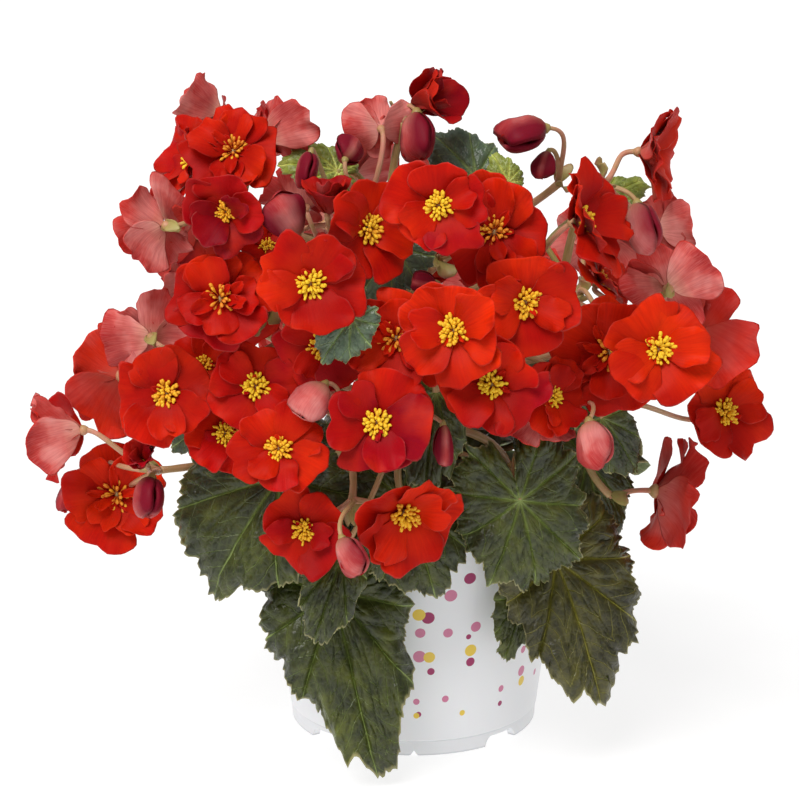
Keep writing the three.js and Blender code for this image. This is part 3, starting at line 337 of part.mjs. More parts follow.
// ---------------------------------------------------------------- pot and soil
function potGeometry() {
  const r = (z) => FOOT_R + 1.0 + (z - LEDGE_Z) * 0.1235;
  const P = [[0, FLOOR_UNDER], [FOOT_R - FOOT_WIDTH, FLOOR_UNDER], [FOOT_R - FOOT_WIDTH, 0], [FOOT_R, 0],
    [FOOT_R + 0.3, LEDGE_Z - 0.5], [FOOT_R + 1.0, LEDGE_Z], [r(RIM_Z - 9), RIM_Z - 9], [RIM_R, RIM_Z - 8],
    [RIM_R, RIM_Z], [RIM_R - 3.4, RIM_Z], [r(RIM_Z - 9) - WALL, RIM_Z - 9],
    [FOOT_R - 1.2, FLOOR_TOP], [0, FLOOR_TOP]];
  const lathe = new THREE.LatheGeometry(P.map(([x, y]) => new THREE.Vector2(x, y)), 28);
  lathe.rotateX(Math.PI / 2);
  let pot = solid(lathe);
  if (pot.volume() < 0) { lathe.index.array.reverse(); pot = solid(lathe); }
  const cut = (g) => { pot = pot.subtract(solid(g)); };
  for (let i = 0; i < 4; i++) {
    const a = Math.PI / 4 + (i * Math.PI) / 2;
    const w = ARCH_W / 2, s = new THREE.Shape([new THREE.Vector2(-w, -1), new THREE.Vector2(w, -1), new THREE.Vector2(w - 1.2, ARCH_H * 0.7),
      new THREE.Vector2(w - 3.4, ARCH_H), new THREE.Vector2(-w + 3.4, ARCH_H), new THREE.Vector2(-w + 1.2, ARCH_H * 0.7)]);
    const g = new THREE.ExtrudeGeometry(s, { depth: 12, bevelEnabled: false, steps: 1 });
    g.rotateX(Math.PI / 2); g.rotateY(0); g.translate(0, FOOT_R + 4, 0); g.rotateZ(-a); cut(g);
    const b = (i * Math.PI) / 2, q = NOTCH_W / 2;
    const n = new THREE.Shape([new THREE.Vector2(-q, -1), new THREE.Vector2(q, -1), new THREE.Vector2(0, 2.4)]);
    const h = new THREE.ExtrudeGeometry(n, { depth: 12, bevelEnabled: false, steps: 1 });
    h.rotateX(Math.PI / 2); h.translate(0, FOOT_R + 4, 0); h.rotateZ(-b); cut(h);
  }
  for (let i = 0; i < 8; i++) {
    const a = ((i + 0.5) * Math.PI) / 4, g = new THREE.CylinderGeometry(DRAIN_R, DRAIN_R, 8, 8);
    g.rotateX(Math.PI / 2); g.translate(DRAIN_RING * Math.cos(a), DRAIN_RING * Math.sin(a), (FLOOR_TOP + FLOOR_UNDER) / 2); cut(g);
  }
  return geometryOf(mainBody(pot));
}

function soilSolid() {
  const r = (z) => FOOT_R + 1.0 - WALL + (z - LEDGE_Z) * 0.1235;
  const P = [[0, FLOOR_TOP + 0.4], [FOOT_R - 2.4, FLOOR_TOP + 0.4], [r(SOIL_TOP) - 0.6, SOIL_TOP], [36, SOIL_TOP + 2.4], [0, SOIL_TOP + 2.0]];
  const lathe = new THREE.LatheGeometry(P.map(([x, y]) => new THREE.Vector2(x, y)), 20);
  lathe.rotateX(Math.PI / 2);
  let m = solid(lathe);
  if (m.volume() < 0) { lathe.index.array.reverse(); m = solid(lathe); }
  return m;
}

// ---------------------------------------------------------------- flowers, buds, leaves
const V = (a) => new THREE.Vector3(...a);

// An open flower: five broad petals with a raised stamen centre and a receptacle behind.
function flowerGeometry(it) {
  const P = V(it.P), n = V(it.n), u = V(it.u), v = new THREE.Vector3().crossVectors(n, u), N = 8;
  const pos = (s, a, h) => {
    const w = (a / N) * Math.PI * 2, lobe = a % 2 ? 0.94 : 1.0, rr = it.R * s * (s > 0.5 ? lobe : 1);
    return P.clone().addScaledVector(u, rr * Math.cos(w)).addScaledVector(v, rr * Math.sin(w)).addScaledVector(n, h);
  };
  const rise = (s) => it.H * Math.pow(s, 1.5), half = it.kind === 'half';
  return polarShell(N, [0.3, 1.0],
    (s, a) => pos(s, a, s === 0 ? (half ? 2.0 : 5.0) : rise(s) + (s < 0.5 ? PETAL_T * (half ? 0.6 : 1.1) : 0.3)),
    (s, a) => pos(s, a, s === 0 ? -2.8 : rise(s) - (s < 0.5 ? PETAL_T * 1.1 : 0.7)));
}

// A closed bud: two clasped tepals, flattened, pointed at the stalk end.
function budGeometry(it) {
  const P = V(it.P), n = V(it.n), u = V(it.u), v = new THREE.Vector3().crossVectors(n, u), N = 6;
  const st = [[0.0, 0.16], [0.18, 0.62], [0.5, 1.0], [0.82, 0.8]], pts = [], f = [];
  for (const [s, w] of st) for (let a = 0; a < N; a++) {
    const q = (a / N) * Math.PI * 2;
    pts.push(P.clone().addScaledVector(n, s * it.L).addScaledVector(u, w * it.R * Math.cos(q)).addScaledVector(v, w * it.R * 0.68 * Math.sin(q)));
  }
  const top = pts.push(P.clone().addScaledVector(n, it.L)) - 1, bot = pts.push(P.clone().addScaledVector(n, -0.6)) - 1;
  const at = (i, a) => i * N + (a % N);
  for (let a = 0; a < N; a++) {
    for (let i = 0; i < 3; i++) f.push(at(i, a), at(i, a + 1), at(i + 1, a + 1), at(i, a), at(i + 1, a + 1), at(i + 1, a));
    f.push(at(3, a), at(3, a + 1), top, at(0, a + 1), at(0, a), bot);
  }
  return indexed(pts, f);
}

// Margin of a blade: polar radius from the stalk's end by angle from the midrib (degrees).
const MARGIN = {
  ov: [[-180, 0.15], [-155, 0.42], [-112, 0.53], [-70, 0.62], [-32, 0.76], [0, 1.0], [32, 0.76], [70, 0.62], [112, 0.53], [155, 0.42]],
  palm: [[-180, 0.20], [-155, 0.72], [-112, 0.80], [-70, 0.83], [-32, 0.88], [0, 1.0], [32, 0.88], [70, 0.83], [112, 0.80], [155, 0.72]],
};
function leafGeometry(l) {
  const P0 = V(l.P0), c = V(l.P3).sub(P0), L = c.length(), T = c.clone().divideScalar(L);
  const nh = V(l.nh), N = nh.clone().addScaledVector(T, -nh.dot(T)).normalize(), S = new THREE.Vector3().crossVectors(N, T);
  const surf = (u, v, off) => {
    const h = (u > 0 ? l.arch * 4 * u * (1 - u) : l.arch * 2.4 * u) - l.k * v * v + l.fold * Math.abs(v);
    return P0.clone().addScaledVector(T, u * L).addScaledVector(N, h * L + off).addScaledVector(S, v * L);
  };
  const M = MARGIN[l.kind];
  const uv = (s, a) => {
    if (s === 0) return [0, 0];
    const w = (M[a][0] * Math.PI) / 180, r = M[a][1] * s;
    return [r * Math.cos(w), r * Math.sin(w) * l.w * (1 + l.asym * Math.sign(Math.sin(w)))];
  };
  return polarShell(M.length, [0.55, 1.0],
    (s, a) => surf(...uv(s, a), s > 0.9 ? LEAF_T * 0.35 : LEAF_T * 0.5),
    (s, a) => surf(...uv(s, a), s > 0.9 ? -LEAF_T * 0.35 : -LEAF_T * 0.5));
}

// ---------------------------------------------------------------- assembly
const begonia = new THREE.Group();
const add = (name, geometry, material) => {
  const m = new THREE.Mesh(geometry, own(material));
  m.name = name;
  begonia.add(m);
};

add('pot', potGeometry(), C.pot);

const trim = {};
let soil = soilSolid();
for (const [name, s] of Object.entries(STEMS)) {
  const m = solid(stalk(s.c, s.r0, s.r1, 8, 7));
  trim[name] = solid(stalk(s.c, s.r0, s.r1, 8, 7, STEM_GAP));
  soil = soil.subtract(trim[name]);
  add(name, geometryOf(m), C.stem);
}
add('potting_soil', geometryOf(mainBody(soil)), C.soil);

for (const [name, l] of Object.entries(LEAVES)) {
  let m = solid(leafGeometry(l)).add(solid(stalk(l.pet.c, l.pet.r0, l.pet.r1, 5, 4)));
  m = m.subtract(trim[l.pet.stem]);
  add(name, geometryOf(mainBody(m)), C.leaf);
}

for (const [name, c] of Object.entries(CYMES)) {
  let m = null;
  const join = (g) => { const s = solid(g); m = m ? m.add(s) : s; };
  if (c.peduncle) join(stalk(c.peduncle.c, c.peduncle.r0, c.peduncle.r1, 5, 4));
  for (const p of c.ped) join(stalk(p.c, p.r0, p.r1, 4, 3));
  for (const id of c.items) join(BLOOMS[id].kind === 'bud' ? budGeometry(BLOOMS[id]) : flowerGeometry(BLOOMS[id]));
  m = m.subtract(trim[c.stem]);
  add(name, geometryOf(mainBody(m)), C.flower);
}

export default begonia;
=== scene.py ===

import math

import bpy
import mathutils
import numpy as np
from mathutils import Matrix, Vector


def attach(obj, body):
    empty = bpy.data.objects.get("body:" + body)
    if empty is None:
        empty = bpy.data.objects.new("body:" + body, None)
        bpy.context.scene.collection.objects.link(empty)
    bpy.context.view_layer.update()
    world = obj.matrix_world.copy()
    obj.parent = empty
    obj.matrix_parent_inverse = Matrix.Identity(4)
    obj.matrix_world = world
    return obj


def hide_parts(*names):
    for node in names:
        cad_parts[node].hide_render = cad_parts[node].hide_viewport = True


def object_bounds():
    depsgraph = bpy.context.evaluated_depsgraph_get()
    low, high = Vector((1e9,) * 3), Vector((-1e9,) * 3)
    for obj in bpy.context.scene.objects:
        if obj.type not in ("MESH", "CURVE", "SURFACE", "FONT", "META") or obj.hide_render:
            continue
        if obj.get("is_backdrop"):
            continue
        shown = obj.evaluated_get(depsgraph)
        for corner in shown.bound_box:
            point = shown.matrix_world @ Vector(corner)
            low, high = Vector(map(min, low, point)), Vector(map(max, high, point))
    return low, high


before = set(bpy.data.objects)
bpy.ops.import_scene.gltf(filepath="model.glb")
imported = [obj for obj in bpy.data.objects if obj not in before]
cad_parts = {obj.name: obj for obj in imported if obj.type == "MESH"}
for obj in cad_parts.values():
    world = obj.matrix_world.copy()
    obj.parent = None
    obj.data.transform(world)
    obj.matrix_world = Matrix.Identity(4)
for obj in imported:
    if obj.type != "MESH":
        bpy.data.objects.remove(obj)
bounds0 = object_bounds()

# driving dimensions, mm (the same as in the solid model)
FOOT_R, FOOT_WIDTH, LEDGE_Z, FLOOR_UNDER, FLOOR_TOP = 57.4, 4.0, 7.6, 4.8, 6.6
RIM_Z, RIM_R, WALL, SOIL_TOP = 112.0, 73.0, 1.3, 98.0
DRAIN_R, DRAIN_RING, ARCH_W, ARCH_H, NOTCH_W = 4.0, 38.0, 20.0, 4.6, 3.6

# Stems: four control points of a cubic curve and the radii at its ends.
STEMS = {
    'stem_left': dict(c=[[-20.0, -10.0, 88.0], [-33.0, -17.1, 116.3], [-66.9, -31.9, 134.3], [-78.3, -35.6, 164.4]], r0=4.2, r1=2.8),
    'stem_upper_left': dict(c=[[-8.0, 6.0, 88.0], [-16.0, 8.0, 140.0], [-52.0, -8.0, 180.0], [-58.0, -30.0, 238.0]], r0=4.4, r1=2.6),
    'stem_middle': dict(c=[[6.0, -8.0, 88.0], [2.0, -26.0, 140.0], [8.0, -62.0, 170.0], [-10.0, -52.0, 244.0]], r0=4.8, r1=2.8),
    'stem_right': dict(c=[[22.0, -4.0, 88.0], [40.0, -14.0, 118.0], [72.0, -34.0, 140.0], [66.0, -40.0, 222.0]], r0=4.6, r1=2.8),
    'stem_back': dict(c=[[2.0, 22.0, 88.0], [-4.0, 50.0, 120.0], [6.0, 70.0, 160.0], [8.0, 66.0, 220.0]], r0=4.4, r1=2.6),
}
# Leaves: stalk end, tip, upper side, width, shape, and the stalk.
LEAVES = {
    'leaf_left': dict(P0=[-59.0, -83.2, 141.9], P3=[-92.0, -85.2, 87.1], nh=[-0.25, -0.827, 0.504], w=1.02, asym=-0.15, arch=0.050, k=0.30, fold=0.00, kind='ov',
        pet=dict(c=[[-68.0, -31.7, 146.0], [-69.9, -43.4, 156.2], [-51.6, -82.7, 154.5], [-58.7, -82.7, 141.7]], r0=2.4, r1=1.8)),
    'leaf_front_hanging': dict(P0=[-35.6, -84.0, 89.2], P3=[-17.5, -97.0, 9.7], nh=[-0.1, -0.921, 0.375], w=0.74, asym=-0.05, arch=0.030, k=0.22, fold=0.00, kind='ov',
        pet=dict(c=[[-53.9, -25.9, 129.8], [-63.8, -65.5, 165.0], [-44.1, -89.6, 133.1], [-35.6, -83.4, 89.1]], r0=2.4, r1=1.8)),
    'leaf_front_small': dict(P0=[-31.2, -103.0, 114.5], P3=[-44.8, -111.0, 73.0], nh=[0.05, -0.905, 0.423], w=0.52, asym=0.00, arch=0.060, k=0.30, fold=0.00, kind='ov',
        pet=dict(c=[[-23.6, 2.3, 138.1], [-15.2, -37.0, 195.2], [12.9, -117.1, 198.8], [-31.2, -102.4, 114.3]], r0=1.7, r1=1.3)),
    'leaf_front_middle': dict(P0=[-5.5, -89.0, 134.6], P3=[10.2, -99.0, 89.9], nh=[0.0, -0.83, 0.557], w=0.88, asym=0.00, arch=0.070, k=0.30, fold=0.00, kind='ov',
        pet=dict(c=[[44.5, -17.6, 120.5], [42.0, -49.8, 159.7], [-19.0, -94.9, 181.1], [-5.6, -88.4, 134.4]], r0=2.4, r1=1.8)),
    'leaf_front_palmate': dict(P0=[45.8, -95.0, 135.1], P3=[55.1, -93.0, 91.5], nh=[0.1, -0.901, 0.422], w=0.84, asym=0.00, arch=0.050, k=0.20, fold=0.00, kind='palm',
        pet=dict(c=[[55.2, -25.2, 140.3], [52.4, -41.9, 148.5], [38.3, -69.3, 151.1], [45.7, -94.4, 135.1]], r0=1.7, r1=1.3)),
    'leaf_right_hanging': dict(P0=[63.2, -68.0, 98.6], P3=[84.9, -76.0, 32.4], nh=[0.2, -0.899, 0.39], w=0.84, asym=0.10, arch=0.050, k=0.25, fold=0.00, kind='ov',
        pet=dict(c=[[4.2, -27.3, 130.6], [14.2, -49.3, 134.1], [70.1, -53.6, 116.8], [63.1, -67.4, 98.5]], r0=2.4, r1=1.8)),
    'leaf_right_upper': dict(P0=[77.2, -46.2, 138.5], P3=[84.5, -42.2, 89.0], nh=[0.3, -0.813, 0.5], w=0.70, asym=0.00, arch=0.080, k=0.20, fold=0.00, kind='ov',
        pet=dict(c=[[4.9, -15.1, 105.9], [41.3, -35.8, 123.8], [70.2, -46.8, 162.3], [76.9, -45.7, 138.5]], r0=2.4, r1=1.8)),
    'leaf_small_hanging': dict(P0=[49.2, -66.0, 82.7], P3=[39.9, -70.0, 50.7], nh=[0.4, -0.846, 0.353], w=0.55, asym=0.00, arch=0.040, k=0.30, fold=0.00, kind='ov',
        pet=dict(c=[[4.1, -30.1, 136.0], [21.4, -58.5, 157.9], [67.8, -57.8, 115.9], [49.0, -65.4, 82.7]], r0=1.7, r1=1.3)),
    'leaf_left_inner': dict(P0=[-25.0, -66.0, 143.8], P3=[-62.3, -54.0, 95.6], nh=[-0.1, -0.825, 0.556], w=0.68, asym=0.00, arch=0.050, k=0.30, fold=0.00, kind='ov',
        pet=dict(c=[[3.6, -36.8, 149.5], [-2.4, -52.7, 157.1], [-15.4, -68.1, 152.8], [-24.7, -65.5, 143.7]], r0=2.4, r1=1.8)),
    'leaf_left_small': dict(P0=[-81.4, -48.8, 160.4], P3=[-109.5, -44.8, 143.9], nh=[-0.2, -0.745, 0.636], w=0.75, asym=0.00, arch=0.060, k=0.30, fold=0.00, kind='ov',
        pet=dict(c=[[-41.3, -8.2, 178.0], [-64.4, -41.3, 189.0], [-65.5, -56.6, 174.2], [-81.2, -48.4, 160.1]], r0=1.7, r1=1.3)),
    'leaf_top': dict(P0=[26.9, -46.0, 267.9], P3=[7.7, -34.0, 285.1], nh=[0.0, -0.858, 0.513], w=0.95, asym=0.00, arch=0.080, k=0.25, fold=0.00, kind='ov',
        pet=dict(c=[[66.5, -39.2, 212.4], [55.4, -19.1, 216.0], [35.4, -48.1, 253.3], [26.9, -45.5, 267.6]], r0=1.7, r1=1.3)),
    'leaf_top_left': dict(P0=[-34.2, -42.0, 270.2], P3=[-59.2, -46.0, 274.2], nh=[0.0, -0.78, 0.62], w=0.78, asym=0.00, arch=0.100, k=0.20, fold=0.00, kind='ov',
        pet=dict(c=[[-35.0, -3.8, 163.6], [-19.5, 1.9, 190.2], [-7.2, -22.0, 273.2], [-34.2, -41.7, 269.7]], r0=1.7, r1=1.3)),
    'leaf_top_small': dict(P0=[40.8, -50.0, 267.0], P3=[33.9, -44.0, 278.2], nh=[-0.1, -0.684, 0.723], w=0.85, asym=0.00, arch=0.060, k=0.20, fold=0.00, kind='ov',
        pet=dict(c=[[66.7, -38.3, 203.4], [75.7, -57.2, 219.6], [64.1, -66.5, 227.4], [40.7, -49.5, 266.7]], r0=1.7, r1=1.3)),
    'leaf_inner_upper': dict(P0=[-8.1, -86.0, 247.0], P3=[-27.1, -84.0, 218.2], nh=[-0.1, -0.825, 0.556], w=0.85, asym=0.00, arch=0.060, k=0.30, fold=0.00, kind='ov',
        pet=dict(c=[[65.5, -34.9, 179.5], [39.3, -60.3, 218.7], [6.1, -69.1, 273.2], [-7.9, -85.5, 246.9]], r0=1.7, r1=1.3)),
    'leaf_inner_small': dict(P0=[-26.4, -130.0, 226.9], P3=[-39.1, -128.0, 207.3], nh=[0.0, -0.8, 0.6], w=0.85, asym=0.00, arch=0.050, k=0.30, fold=0.00, kind='ov',
        pet=dict(c=[[-44.9, -11.1, 186.9], [-36.7, -52.6, 213.5], [-35.6, -112.1, 262.4], [-26.2, -129.5, 226.8]], r0=1.7, r1=1.3)),
    'leaf_inner_middle': dict(P0=[9.1, -97.0, 185.1], P3=[4.0, -101.0, 138.5], nh=[0.0, -0.858, 0.513], w=0.55, asym=0.00, arch=0.050, k=0.30, fold=0.00, kind='ov',
        pet=dict(c=[[0.2, -51.0, 190.7], [7.1, -58.6, 196.8], [7.3, -96.4, 205.9], [9.1, -96.4, 185.1]], r0=2.4, r1=1.8)),
    'leaf_right_small': dict(P0=[82.2, -74.0, 166.5], P3=[98.3, -66.0, 137.3], nh=[0.3, -0.784, 0.543], w=0.72, asym=0.00, arch=0.060, k=0.30, fold=0.00, kind='ov',
        pet=dict(c=[[-16.7, 4.8, 120.9], [-4.4, -17.7, 208.5], [68.5, -79.5, 201.2], [81.8, -73.5, 166.5]], r0=1.7, r1=1.3)),
    'leaf_top_right': dict(P0=[80.8, -42.0, 254.9], P3=[102.6, -30.0, 262.6], nh=[0.1, -0.592, 0.8], w=0.68, asym=0.00, arch=0.120, k=0.30, fold=0.00, kind='ov',
        pet=dict(c=[[59.2, -28.4, 150.8], [32.4, -48.2, 164.2], [39.4, -50.7, 243.6], [80.8, -41.6, 254.4]], r0=1.7, r1=1.3)),
    'leaf_back_left': dict(P0=[-42.1, 16.4, 137.6], P3=[-86.5, 69.1, 88.3], nh=[-0.168, 0.164, 0.972], w=1.00, asym=0.00, arch=0.080, k=0.25, fold=0.00, kind='ov',
        pet=dict(c=[[0.5, 31.7, 99.9], [-6.2, 29.8, 117.2], [-42.1, 9.5, 115.1], [-42.1, 16.4, 137.1]], r0=2.4, r1=1.8)),
    'leaf_back_middle': dict(P0=[-6.5, 65.8, 120.5], P3=[-34.4, 110.0, 85.7], nh=[-0.051, 0.252, 0.966], w=1.00, asym=0.00, arch=0.070, k=0.25, fold=0.00, kind='ov',
        pet=dict(c=[[0.8, 49.6, 128.6], [2.8, 37.8, 133.9], [-12.8, 64.3, 103.2], [-6.5, 65.8, 120.0]], r0=2.4, r1=1.8)),
    'leaf_back_right': dict(P0=[51.4, 26.9, 126.6], P3=[80.9, 107.0, 98.9], nh=[0.091, 0.33, 0.94], w=0.98, asym=0.00, arch=0.070, k=0.25, fold=0.00, kind='ov',
        pet=dict(c=[[0.1, 37.7, 108.3], [-11.5, 32.7, 118.5], [44.3, 20.7, 116.0], [51.4, 26.9, 126.1]], r0=2.4, r1=1.8)),
    'leaf_back_upper': dict(P0=[27.3, 31.9, 170.0], P3=[50.2, -39.6, 174.5], nh=[0.162, -0.297, 0.941], w=1.06, asym=0.00, arch=0.080, k=0.25, fold=0.00, kind='ov',
        pet=dict(c=[[0.2, 43.3, 117.0], [-6.5, 45.3, 146.4], [21.5, 35.6, 151.6], [27.3, 31.9, 169.5]], r0=2.4, r1=1.8)),
}
